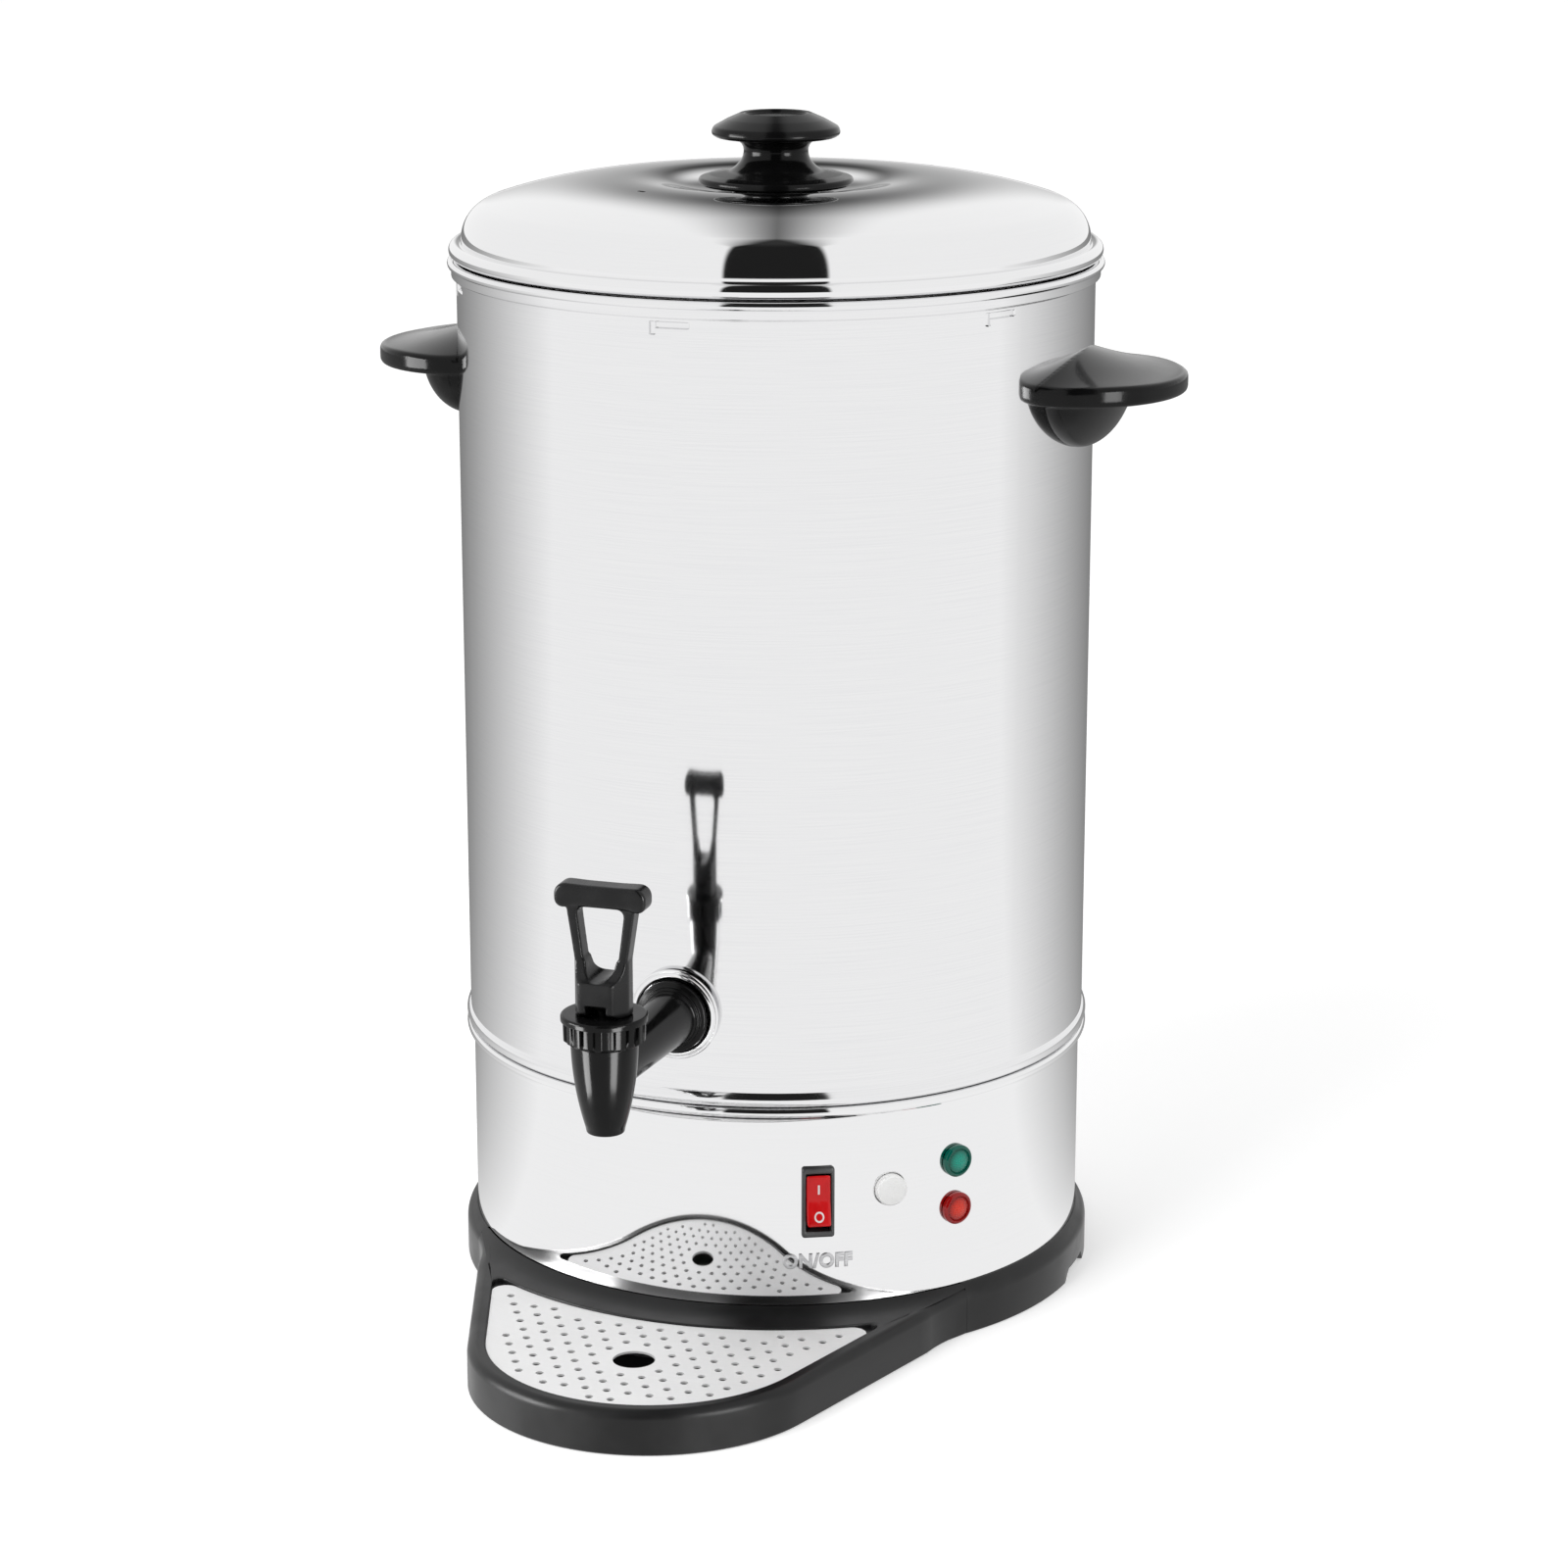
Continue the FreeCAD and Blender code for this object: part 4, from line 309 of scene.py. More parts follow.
def band(inner: np.ndarray, outer: np.ndarray, low: float, high: float, fillet: float) -> np.ndarray:
    """A closed band between two loops of as many points, with a rounded rectangle for its section.

    A section point lies on the line from the inner point to the outer one, at a distance of fillet times
    one less a cosine from its nearer end, and at the height of the fillet's arc there.

    Args:
        inner: inner loop.
        outer: outer loop.
        low: lower face.
        high: upper face.
        fillet: rounding of the four edges.

    Returns:
        A grid of points, round in both directions, as (a, b, height).
    """
    span = outer - inner
    length = np.linalg.norm(span, axis=1, keepdims=True)
    along = span / length
    turn = np.radians(np.linspace(0, 90, 5))
    corners = []
    for far, up, angle in (
        (0, 1, math.pi - turn), (1, 1, math.pi / 2 - turn), (1, 0, -turn), (0, 0, -math.pi / 2 - turn),
    ):
        off = fillet * (np.cos(angle) + (-1 if far else 1))
        height = (high - fillet if up else low + fillet) + fillet * np.sin(angle)
        corners.append(points_of(float(far), off, height))
    section = np.concatenate(corners)
    reach = section[None, :, 0] * length + section[None, :, 1]
    flat = inner[:, None] + along[:, None] * reach[..., None]
    return points_of(flat[..., 0], flat[..., 1], section[None, :, 2])


def pad(
    loop: np.ndarray, low: float, high: float, fillet: float, crown: float = 0.0, rings: int = 4,
) -> np.ndarray:
    """A solid slab on a loop, rounded at both faces: each row is the loop drawn in along its normals.

    Args:
        loop: outline, anticlockwise.
        low: lower face.
        high: upper face.
        fillet: rounding of both edges.
        crown: how far the middle of the upper face stands above its edge.
        rings: number of rows between the edge of the upper face and its middle.

    Returns:
        A grid of points, one row for each height, as (a, b, height), closed in the middle of both faces.
    """
    outward = normals(loop)
    turn = np.radians(np.linspace(0, 90, 6))
    inset, fall = fillet * (1 - np.cos(turn)), fillet * (1 - np.sin(turn))
    rows = [*zip(inset[::-1], low + fall[::-1]), *zip(inset, high - fall)]
    made = [at_height(loop - outward * drawn_in, height) for drawn_in, height in rows]
    middle = loop.mean(axis=0)
    edge = made[-1][:, :2]
    for share in np.linspace(0, 1, rings + 1)[1:]:
        made.append(at_height(edge * (1 - share) + middle * share, high + crown * (1 - (1 - share) ** 2)))
    foot = at_height(np.broadcast_to(middle, loop.shape), made[0][0, 2])
    return np.stack([foot, *made])


@dataclass(frozen=True)
class Seat:
    """A place on the upright wall: local points are (across, up, out)."""

    azimuth: float
    height: float
    radius: float

    def place(self, points: np.ndarray) -> np.ndarray:
        """Local points stood at this place, flat against the wall's tangent plane.

        Args:
            points: (across, up, out) in the last axis.

        Returns:
            The points about the axis of the urn.
        """
        turn = math.radians(self.azimuth)
        across = np.array([math.cos(turn), math.sin(turn), 0])
        out = np.array([math.sin(turn), -math.cos(turn), 0])
        middle = self.radius * out + np.array([0, 0, self.height])
        return middle + points[..., :1] * across + points[..., 1:2] * np.array([0, 0, 1]) + points[..., 2:] * out

    def facing_out(self, points: np.ndarray) -> np.ndarray:
        """Points turned about the vertical axis, laid down so that their height runs out at this place."""
        return self.place(points * np.array([1, -1, 1]))

    def wrap(self, points: np.ndarray) -> np.ndarray:
        """Local points bent round the wall, with across measured along it."""
        azimuth = self.azimuth + np.degrees(points[..., 0] / self.radius)
        return polar(self.radius + points[..., 2], azimuth, self.height + points[..., 1])


# Meshes

def new_object(name: str, data: bpy.types.ID) -> bpy.types.Object:
    """An object of some data at the origin, linked to the scene.

    Args:
        name: name of the object.
        data: a mesh, text, camera or light.

    Returns:
        The object.
    """
    made = bpy.data.objects.new(name, data)
    bpy.context.scene.collection.objects.link(made)
    return made


class Skin:
    """Grids of points that are gathered into one mesh."""

    def __init__(self) -> None:
        """Start with nothing in it."""
        self.points: list[np.ndarray] = []
        self.faces: list[np.ndarray] = []
        self.count = 0

    def grid(
        self, points: np.ndarray, round_rows: bool = False, round_columns: bool = True,
        keep: np.ndarray | None = None,
    ) -> "Skin":
        """Add the quads of a grid of points.

        Args:
            points: rows, columns, xyz.
            round_rows: whether the last row joins the first.
            round_columns: whether the last column joins the first.
            keep: which quads to keep, all where it is None.

        Returns:
            This skin, so that calls can follow each other.
        """
        rows, columns = points.shape[:2]
        index = self.count + np.arange(rows * columns).reshape(rows, columns)
        if round_rows:
            index = np.vstack([index, index[:1]])
        if round_columns:
            index = np.hstack([index, index[:, :1]])
        quads = np.stack([index[:-1, :-1], index[1:, :-1], index[1:, 1:], index[:-1, 1:]], axis=-1)
        self.faces.append(quads[keep] if keep is not None else quads.reshape(-1, 4))
        self.points.append(points.reshape(-1, 3))
        self.count += rows * columns
        return self

    def lathe(self, profile: np.ndarray, step: float = 2.0, place: Move | None = None) -> "Skin":
        """Add a profile of (radius, height) turned round the vertical axis, moved to its place.

        Args:
            profile: closed path.
            step: degrees between two columns.
            place: function that moves the turned points, where they don't stay about the axis.

        Returns:
            This skin.
        """
        points = revolved(profile, whole_turn(step))
        return self.grid(place(points) if place else points, round_rows=True)

    def build(self, name: str, sharp: float = SHARP_EDGE) -> bpy.types.Object:
        """Write the mesh: doubles merged, faces outwards, smooth but for edges sharper than an angle.

        Args:
            name: name of the object.
            sharp: degrees beyond which an edge stays sharp.

        Returns:
            The object, in the scene.
        """
        mesh = bpy.data.meshes.new(name)
        points = np.concatenate(self.points) * MM
        mesh.from_pydata(points.tolist(), [], np.concatenate(self.faces).tolist())
        work = bmesh.new()
        work.from_mesh(mesh)
        bmesh.ops.remove_doubles(work, verts=work.verts, dist=ONE_POINT)
        bmesh.ops.dissolve_degenerate(work, edges=work.edges, dist=NO_EDGE)
        bmesh.ops.recalc_face_normals(work, faces=work.faces)
        work.to_mesh(mesh)
        work.free()
        mesh.shade_smooth()
        mesh.set_sharp_from_angle(angle=math.radians(sharp))
        return new_object(name, mesh)


def applied(rough: bpy.types.Object, name: str, sharp: float | None = None) -> bpy.types.Object:
    """A new object with the mesh that an object's modifiers make; the first object is removed.

    Args:
        rough: object with modifiers, or a text.
        name: name of the new object.
        sharp: degrees beyond which an edge is sharp, none where it is None.

    Returns:
        The new object, in the scene.
    """
    bpy.context.view_layer.update()
    seen = rough.evaluated_get(bpy.context.evaluated_depsgraph_get())
    mesh = bpy.data.meshes.new_from_object(seen)
    bpy.data.objects.remove(rough)
    mesh.name = name
    mesh.shade_smooth()
    if sharp is not None:
        mesh.set_sharp_from_angle(angle=math.radians(sharp))
    return new_object(name, mesh)


def cut(piece: bpy.types.Object, tool: bpy.types.Object) -> bpy.types.Object:
    """Take a closed form out of a piece; the form is removed.

    Args:
        piece: what is cut.
        tool: the form that is taken out of it.

    Returns:
        The piece with its opening, under its own name.
    """
    name = piece.name
    piece.name = name + "_uncut"
    opening = piece.modifiers.new("opening", "BOOLEAN")
    opening.operation, opening.solver, opening.object = "DIFFERENCE", "EXACT", tool
    made = applied(piece, name, SHARP_EDGE)
    bpy.data.objects.remove(tool)
    return made


def blended(rough: bpy.types.Object, name: str, voxel: float, rounds: int) -> bpy.types.Object:
    """Overlapping closed forms joined into one by a voxel remesh, and smoothed, which leaves moulded fillets.

    Args:
        rough: object that holds the forms.
        name: name of the new object.
        voxel: size of a voxel in metres.
        rounds: how often the form is smoothed.

    Returns:
        The new object, in the scene.
    """
    remesh = rough.modifiers.new("one_form", "REMESH")
    remesh.mode, remesh.voxel_size, remesh.use_smooth_shade = "VOXEL", voxel, True
    smooth = rough.modifiers.new("moulded_edges", "SMOOTH")
    smooth.factor, smooth.iterations = 0.5, rounds
    return applied(rough, name)


# Finishes

class Nodes:
    """Short ways to add and wire nodes in one tree."""

    def __init__(self, tree: bpy.types.NodeTree) -> None:
        """Work on a tree."""
        self.tree = tree

    def feed(self, node: bpy.types.Node, values: Inputs) -> None:
        """Set a node's own inputs, each by a plain value or by a link from a socket.

        Args:
            node: the node.
            values: value or socket for each input, by its name or number.
        """
        for label, value in values.items():
            if isinstance(value, bpy.types.NodeSocket):
                self.tree.links.new(value, node.inputs[label])
            else:
                node.inputs[label].default_value = value

    def add(self, kind: str, values: Inputs | None = None, **settings: object) -> bpy.types.Node:
        """A node of a kind, with its settings and the values or links of its inputs.

        Args:
            kind: node type without its ShaderNode prefix.
            values: what feed takes.
            settings: properties of the node.

        Returns:
            The node.
        """
        node = self.tree.nodes.new("ShaderNode" + kind)
        for label, value in settings.items():
            setattr(node, label, value)
        self.feed(node, values or {})
        return node

    def math(self, operation: str, *values: object) -> Socket:
        """The result of a Math node."""
        return self.add("Math", dict(enumerate(values)), operation=operation).outputs[0]

    def times(self, first: object, second: object) -> Socket:
        """A product."""
        return self.math("MULTIPLY", first, second)

    def plus(self, first: object, second: object) -> Socket:
        """A sum."""
        return self.math("ADD", first, second)

    def minus(self, first: object, second: object) -> Socket:
        """A difference."""
        return self.math("SUBTRACT", first, second)

    def larger(self, first: object, second: object) -> Socket:
        """The larger of two values."""
        return self.math("MAXIMUM", first, second)

    def along(self, place: Socket, way: np.ndarray) -> Socket:
        """The part of a vector that lies along a fixed direction."""
        return self.add("VectorMath", {0: place, 1: tuple(way)}, operation="DOT_PRODUCT").outputs["Value"]

    def spread(
        self, value: object, low: float, high: float, to_low: object = 0.0, to_high: object = 1.0,
        kind: str = "SMOOTHSTEP",
    ) -> Socket:
        """A value mapped from one range to another.

        Args:
            value: what is mapped.
            low: value that gives to_low.
            high: value that gives to_high.
            to_low: result at low and below it.
            to_high: result at high and above it.
            kind: the map's way between the two, smooth or LINEAR.

        Returns:
            The result.
        """
        return self.add("MapRange", {
            "Value": value, "From Min": low, "From Max": high, "To Min": to_low, "To Max": to_high,
        }, interpolation_type=kind).outputs["Result"]

    def mix(self, share: object, first: Colour, second: Colour) -> Socket:
        """A colour between two others."""
        return self.add("Mix", {0: share, 6: (*first, 1), 7: (*second, 1)}, data_type="RGBA").outputs[2]

    def noise(self, place: object, scale: object, detail: float, rough: float = 0.5) -> Socket:
        """Noise at a place, between 0 and 1."""
        return self.add("TexNoise", {
            "Vector": place, "Scale": scale, "Detail": detail, "Roughness": rough,
        }).outputs["Fac"]

    def group(
        self, maker: Callable[[str], bpy.types.NodeTree], name: str, values: Inputs,
    ) -> bpy.types.bpy_prop_collection:
        """A node group placed in this tree with its own values; it is built on its first use.

        Args:
            maker: function that builds the group under a name.
            name: the group's name.
            values: what feed takes.

        Returns:
            The outputs.
        """
        tree = bpy.data.node_groups.get(name) or maker(name)
        return self.add("Group", values, node_tree=tree).outputs


def empty_group(name: str, inputs: dict[str, float], outputs: Sequence[str]) -> bpy.types.NodeTree:
    """A shader node group that takes a place and some numbers, and puts out numbers.

    Args:
        name: name of the group.
        inputs: name and default of each number that it takes.
        outputs: names of what it puts out.

    Returns:
        The node tree, with its input and output nodes named Input and Output.
    """
    tree = bpy.data.node_groups.new(name, "ShaderNodeTree")
    tree.interface.new_socket("Place", in_out="INPUT", socket_type="NodeSocketVector")
    for label, value in inputs.items():
        tree.interface.new_socket(label, in_out="INPUT", socket_type="NodeSocketFloat").default_value = value
    for label in outputs:
        tree.interface.new_socket(label, in_out="OUTPUT", socket_type="NodeSocketFloat")
    tree.nodes.new("NodeGroupInput").name = "Input"
    tree.nodes.new("NodeGroupOutput").name = "Output"
    return tree


def cloudy_group(name: str) -> bpy.types.NodeTree:
    """Soft patches, as of handling and polishing: some octaves of noise spread between a low and a high value.

    Args:
        name: name of the group.

    Returns:
        The group, which puts out Value.
    """
    tree = empty_group(name, {"Scale": 20.0, "Low": 0.1, "High": 0.2}, ("Value",))
    nodes, given = Nodes(tree), tree.nodes["Input"].outputs
    noise = nodes.noise(given["Place"], given["Scale"], 3.0, 0.55)
    nodes.feed(tree.nodes["Output"], {"Value": nodes.spread(noise, 0.3, 0.7, given["Low"], given["High"])})
    return tree


def polish_group(name: str) -> bpy.types.NodeTree:
    """Polishing lines that run round the vertical axis: noise of the height and the radius, hardly of the azimuth.

    Args:
        name: name of the group.

    Returns:
        The group, which puts out Height and Mask.
    """
    tree = empty_group(name, {"Fineness": 2500.0}, ("Height", "Mask"))
    nodes, given = Nodes(tree), tree.nodes["Input"].outputs
    east, north, up = nodes.add("SeparateXYZ", {0: given["Place"]}).outputs
    radius = nodes.math("SQRT", nodes.plus(nodes.times(east, east), nodes.times(north, north)))
    azimuth = nodes.math("ARCTAN2", east, north)
    along = nodes.times(azimuth, 2.5)
    fine = (nodes.times(part, given["Fineness"]) for part in (radius, up))
    place = nodes.add("CombineXYZ", dict(enumerate((*fine, along)))).outputs[0]
    noise = nodes.noise(place, 1.0, 2.0, 0.6)
    nodes.feed(tree.nodes["Output"], {"Height": noise, "Mask": nodes.spread(noise, 0.35, 0.75)})
    return tree


def grain_group(name: str) -> bpy.types.NodeTree:
    """The fine grain of a moulding: cells of a few tenths of a millimetre over a slower swell.

    Args:
        name: name of the group.

    Returns:
        The group, which puts out Height.
    """
    tree = empty_group(name, {"Scale": 1800.0}, ("Height",))
    nodes, given = Nodes(tree), tree.nodes["Input"].outputs
    fine = nodes.noise(given["Place"], given["Scale"], 2.0, 0.6)
    swell = nodes.noise(given["Place"], nodes.times(given["Scale"], 0.06), 1.0)
    nodes.feed(tree.nodes["Output"], {"Height": nodes.plus(fine, nodes.times(swell, 0.8))})
    return tree


@dataclass(frozen=True)
class Finish:
    """What every finish has: a colour, a range of roughness in patches, and a relief with its depth in metres."""

    name: str
    colour: Colour
    smooth: float
    rough: float
    patches: float
    relief: float
    relief_depth: float

    def material(self) -> bpy.types.Material:
        """The material under the finish's name, made on its first use.

        Returns:
            The material.
        """
        found = bpy.data.materials.get(self.name)
        if found:
            return found
        material = bpy.data.materials.new(self.name)
        material.use_nodes = True
        nodes = Nodes(material.node_tree)
        place = nodes.add("TexCoord").outputs["Object"]
        patches = nodes.group(cloudy_group, "cloudy_patches", {
            "Place": place, "Scale": self.patches, "Low": self.smooth, "High": self.rough,
        })["Value"]
        nodes.feed(material.node_tree.nodes["Principled BSDF"], self.inputs(nodes, place, patches))
        material.diffuse_color = (*self.colour, 1.0)
        return material

    def inputs(self, nodes: Nodes, place: Socket, patches: Socket) -> Inputs:
        """What the shader is fed, from object coordinates and a roughness in patches; each kind has its own way."""
        raise NotImplementedError

    def bump(self, nodes: Nodes, height: Socket) -> Socket:
        """The normal that a height gives."""
        values = {"Height": height, "Strength": self.relief, "Distance": self.relief_depth}
        return nodes.add("Bump", values).outputs["Normal"]


@dataclass(frozen=True)
class Steel(Finish):
    """Sheet steel, polished round the axis of the part; its lines take the tint and are a little hazy."""

    tint: Colour = (0.80, 0.80, 0.81)
    hazy: float = 0.03
    metal: float = 1.0
    fineness: float = 2500.0

    def inputs(self, nodes: Nodes, place: Socket, patches: Socket) -> Inputs:
        """Metal whose colour and roughness vary a little along its polishing lines."""
        lines = nodes.group(polish_group, "polishing_lines", {"Place": place, "Fineness": self.fineness})
        return {
            "Base Color": nodes.mix(lines["Mask"], self.colour, self.tint),
            "Roughness": nodes.plus(patches, nodes.times(lines["Mask"], self.hazy)),
            "Metallic": self.metal,
            "Normal": self.bump(nodes, lines["Height"]),
        }


@dataclass(frozen=True)
class Moulding(Finish):
    """Moulded plastic, rubber or silicone; worn is its colour where it is rougher, a little paler where None."""

    gloss: float = 0.5
    coat: float = 0.0
    coat_rough: float = 0.06
    worn: Colour | None = None
    grain: float = 1800.0

    def tone(self, nodes: Nodes, place: Socket, patches: Socket) -> Socket:
        """The colour, paler where the patches are rougher, as where it is handled."""
        paler = self.worn or tuple(min(1.0, part * 1.3 + 0.001) for part in self.colour)
        return nodes.mix(nodes.spread(patches, self.smooth, self.rough), self.colour, paler)

    def inputs(self, nodes: Nodes, place: Socket, patches: Socket) -> Inputs:
        """Plastic with its gloss and coat over a fine grain."""
        grain = nodes.group(grain_group, "moulding_grain", {"Place": place, "Scale": self.grain})
        return {
            "Base Color": self.tone(nodes, place, patches),
            "Roughness": patches,
            "Specular IOR Level": self.gloss,
            "Coat Weight": self.coat,
            "Coat Roughness": self.coat_rough,
            "Normal": self.bump(nodes, grain["Height"]),
        }


@dataclass(frozen=True)
class Lens(Moulding):
    """Coloured plastic over a white lamp, with painted light in its colour: pale about its centre as if lit from
    behind, and deep from reach metres on, as painted shade.
    """

    # deep is the colour of the painted shade towards the rim; the painted light stays pale within a share of reach
    # about the centre.
    deep: Colour = (0.1, 0.0, 0.0)
    centre: Spot = (0.0, 0.0, 0.0)
    reach: float = 0.006
    lit_centre_share: float = 0.35

    def tone(self, nodes: Nodes, place: Socket, patches: Socket) -> Socket:
        """The colour with painted light and shade: pale at the centre, deepening with the distance from it."""
        away = nodes.add("VectorMath", {0: place, 1: self.centre}, operation="DISTANCE").outputs["Value"]
        return nodes.mix(nodes.spread(away, self.reach * self.lit_centre_share, self.reach), self.colour, self.deep)


# Each finish: name, colour, roughness from and to, scale of its patches, relief and its depth

TANK_STEEL = Steel("tank_steel", (0.83, 0.83, 0.835), 0.05, 0.075, 9.0, 0.02, 0.00001, hazy=0.015)
MIRROR_STEEL = Steel(
    "mirror_steel", (0.845, 0.845, 0.85), 0.03, 0.045, 12.0, 0.003, 0.000003, tint=(0.835, 0.835, 0.84), hazy=0.002,
)
PLATE_STEEL = Steel(
    "plate_steel", (0.95, 0.95, 0.95), 0.5, 0.58, 30.0, 0.06, 0.00002, tint=(0.93, 0.93, 0.93), metal=0.45,
)
SATIN_STEEL = Steel("brushed_steel", (0.62, 0.62, 0.63), 0.28, 0.38, 30.0, 0.1, 0.00003)
ELEMENT_STEEL = Steel(
    "heater_sheath", (0.40, 0.36, 0.33), 0.35, 0.5, 60.0, 0.1, 0.00003, tint=(0.46, 0.40, 0.42),
)
CAST_ALUMINIUM = Steel("cast_aluminium", (0.72, 0.72, 0.73), 0.4, 0.55, 60.0, 0.2, 0.00005)
BLACK_GLOSS = Moulding("black_shine", (0.003, 0.003, 0.0031), 0.12, 0.19, 40.0, 0.10, 0.00002, gloss=0.16)
BLACK_LEVER = Moulding("black_lever", (0.005, 0.005, 0.0053), 0.2, 0.3, 60.0, 0.10, 0.00002, gloss=0.26)
BLACK_SATIN = Moulding("black_base", (0.006, 0.006, 0.0063), 0.3, 0.42, 35.0, 0.25, 0.00003, gloss=0.28)
BLACK_CASE = Moulding("black_case", (0.022, 0.022, 0.023), 0.3, 0.4, 60.0, 0.2, 0.00002)
WHITE_PLASTIC = Moulding(
    "white_button", (0.96, 0.96, 0.955), 0.2, 0.28, 60.0, 0.08, 0.00002, coat=0.3, worn=(0.94, 0.94, 0.93),
)
RED_PLASTIC = Moulding(
    "red_rocker", (0.56, 0.004, 0.006), 0.12, 0.2, 90.0, 0.08, 0.00002, gloss=0.3, worn=(0.66, 0.008, 0.01),
)
MARK_PAINT = Moulding("mark_paint", (0.85, 0.8, 0.8), 0.3, 0.4, 300.0, 0.1, 0.00001, worn=(0.8, 0.74, 0.74))
RUBBER = Moulding("rubber_foot", (0.015, 0.015, 0.015), 0.7, 0.85, 90.0, 0.4, 0.00005, gloss=0.3)
SILICONE = Moulding("silicone_seal", (0.72, 0.70, 0.66), 0.4, 0.5, 90.0, 0.1, 0.00003, worn=(0.74, 0.72, 0.69))
# Both lenses are painted pale at the centre and deep towards the rim: painted light and painted shade.
GREEN_LENS = Lens(
    "green_lens_plastic", (0.0, 0.34, 0.24), 0.1, 0.16, 200.0, 0.03, 0.00001,
    gloss=0.3, coat=0.2, coat_rough=0.05, deep=(0.0, 0.10, 0.07), centre=(0.1101, -0.0860, 0.0805),
)
RED_LENS = Lens(
    "red_lens_plastic", (0.80, 0.035, 0.01), 0.1, 0.16, 200.0, 0.03, 0.00001,
    gloss=0.3, coat=0.2, coat_rough=0.05, deep=(0.30, 0.004, 0.004), centre=(0.1101, -0.0860, 0.0586),
)


@dataclass(frozen=True)
class Fit:
    """A piece's body, slot and finish; when it is finished the piece is given its body and finish, and the slot isn't
    used.
    """

    body: Body
    slot: Slot
    finish: Finish


URN_BLACK = Fit(Body.URN, Slot.BLACK_GLOSS, BLACK_GLOSS)
URN_BRIGHT = Fit(Body.URN, Slot.POLISHED_STEEL, MIRROR_STEEL)


def dress(piece: bpy.types.Object, fit: Fit, *stood_for: str) -> None:
    """Give a piece its material, its body and the CAD nodes it stands for.

    Args:
        piece: the object.
        fit: body, slot and finish.
        stood_for: CAD nodes that aren't shown once this piece is there.
    """
    piece.data.materials.append(fit.finish.material())
    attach(piece, fit.body.value)
    if stood_for:
        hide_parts(*stood_for)
    LOG.info("%s rides on %s, %d faces", piece.name, fit.body.value, len(piece.data.polygons))


# Pieces

@dataclass
class Tank:
    """The vessel: wall with its rolled rim and foot bead, floor, and the pressed bars that lock the lid."""

    radius: float = 140.0
    inner: float = 139.0
    foot: float = 113.5
    foot_bead: float = 6.5
    foot_rise: float = 1.8
    rim_low: float = 451.4
    rim_top: float = 459.6
    step: float = 142.2
    step_low: float = 452.2
    step_top: float = 455.8
    step_fillet: float = 0.6
    bead_rise: float = 2.1
    floor: float = 122.0
    floor_sheet: float = 1.0
    floor_fillet: float = 3.0
    floor_ring: float = 60.0
    plain_low: float = 125.0
    plain_high: float = 435.0
    below_bars: float = 443.6
    outer_rows: tuple[float, float, float] = (444.3, 450.8, 0.2)
    inner_rows: tuple[float, float, float] = (450.7, 444.2, -0.32)
    above_bars: float = 451.2
    bar_top: float = 450.2
    bar_low: float = 447.6
    bar_half: float = 3.0
    stop_low: float = 444.8
    stop_half: float = 0.5
    bar_corner: float = 0.6
    bar_edge: float = 0.22
    press: float = 1.0
    stand: float = 2.0
    bars: int = 6
    fine_half: float = 4.6
    fine_step: float = 0.1
    plain_step: float = 2.2

    def outside(self) -> np.ndarray:
        """The outside of the wall, upwards: foot bead, wall, step and rim bead.

        Returns:
            A path with its rows close together over the bars.
        """
        foot = bow((self.radius, self.foot), (self.radius, self.foot + self.foot_bead), self.foot_rise)
        plain = np.linspace(self.plain_low, self.plain_high, 6)
        wall = upright(self.radius, np.r_[plain, self.below_bars, np.arange(*self.outer_rows)])
        step = rounded([
            (self.radius, self.rim_low - 0.4), (self.radius, self.rim_low, self.step_fillet),
            (self.step, self.step_low, self.step_fillet), (self.step, self.step_top - 0.01),
        ])
        bead = bow((self.step, self.step_top), (self.step, self.rim_top), self.bead_rise)
        return joined(foot, wall, step, bead)

    def inside(self) -> np.ndarray:
        """The inside of the wall and the floor, downwards to the middle, and back under it to the foot.

        Returns:
            A path with its rows close together over the bars.
        """
        plain = np.linspace(self.plain_high, self.floor + 10.0, 7)
        over_bars = np.arange(*self.inner_rows)
        wall = upright(self.inner, np.r_[self.above_bars, over_bars, self.below_bars, plain])
        floor = rounded([
            (self.inner, self.floor + 6.0), (self.inner, self.floor, self.floor_fillet),
            (self.floor_ring, self.floor), (0.0, self.floor),
        ])
        under = self.floor - self.floor_sheet
        below = rounded([(0.0, under), (self.inner, under, 0.4), (self.inner, self.foot)])
        return joined([(self.inner, self.rim_top)], wall, floor, below)

    def bar_mask(self, azimuth: np.ndarray, height: np.ndarray) -> np.ndarray:
        """1 on a pressed bar and its stop, 0 off them: the distance outside the nearer rounded box, softened.

        Args:
            azimuth: degrees of the columns.
            height: heights of the rows.

        Returns:
            The mask on their grid.
        """
        pitch = FULL_TURN / self.bars
        local = (azimuth + pitch / 2) % pitch - pitch / 2
        along = np.radians(local) * self.radius
        scale = math.radians(self.radius)
        stop_at = -(self.bar_half + self.stop_half)
        bar, stop = (
            self.box_distance(
                along - middle * scale, height - (self.bar_top + low) / 2, half * scale, (self.bar_top - low) / 2,
            ) for middle, half, low in ((0.0, self.bar_half, self.bar_low), (stop_at, self.stop_half, self.stop_low))
        )
        return 1 - soft_step(np.minimum(bar, stop), -self.bar_edge, self.bar_edge)

    def box_distance(self, along: np.ndarray, up: np.ndarray, half_width: float, half_height: float) -> np.ndarray:
        """Distance from a rounded box: the length of the part of (along, up) that is past its inner corner.

        Args:
            along: distances from the box's middle along the wall.
            up: heights over its middle.
            half_width: half its width.
            half_height: half its height.

        Returns:
            Distances, negative inside the box.
        """
        wide = np.abs(along) - half_width + self.bar_corner
        tall = np.abs(up) - half_height + self.bar_corner
        outside = np.hypot(np.maximum(wide, 0), np.maximum(tall, 0))
        return outside + np.minimum(np.maximum(wide, tall), 0) - self.bar_corner

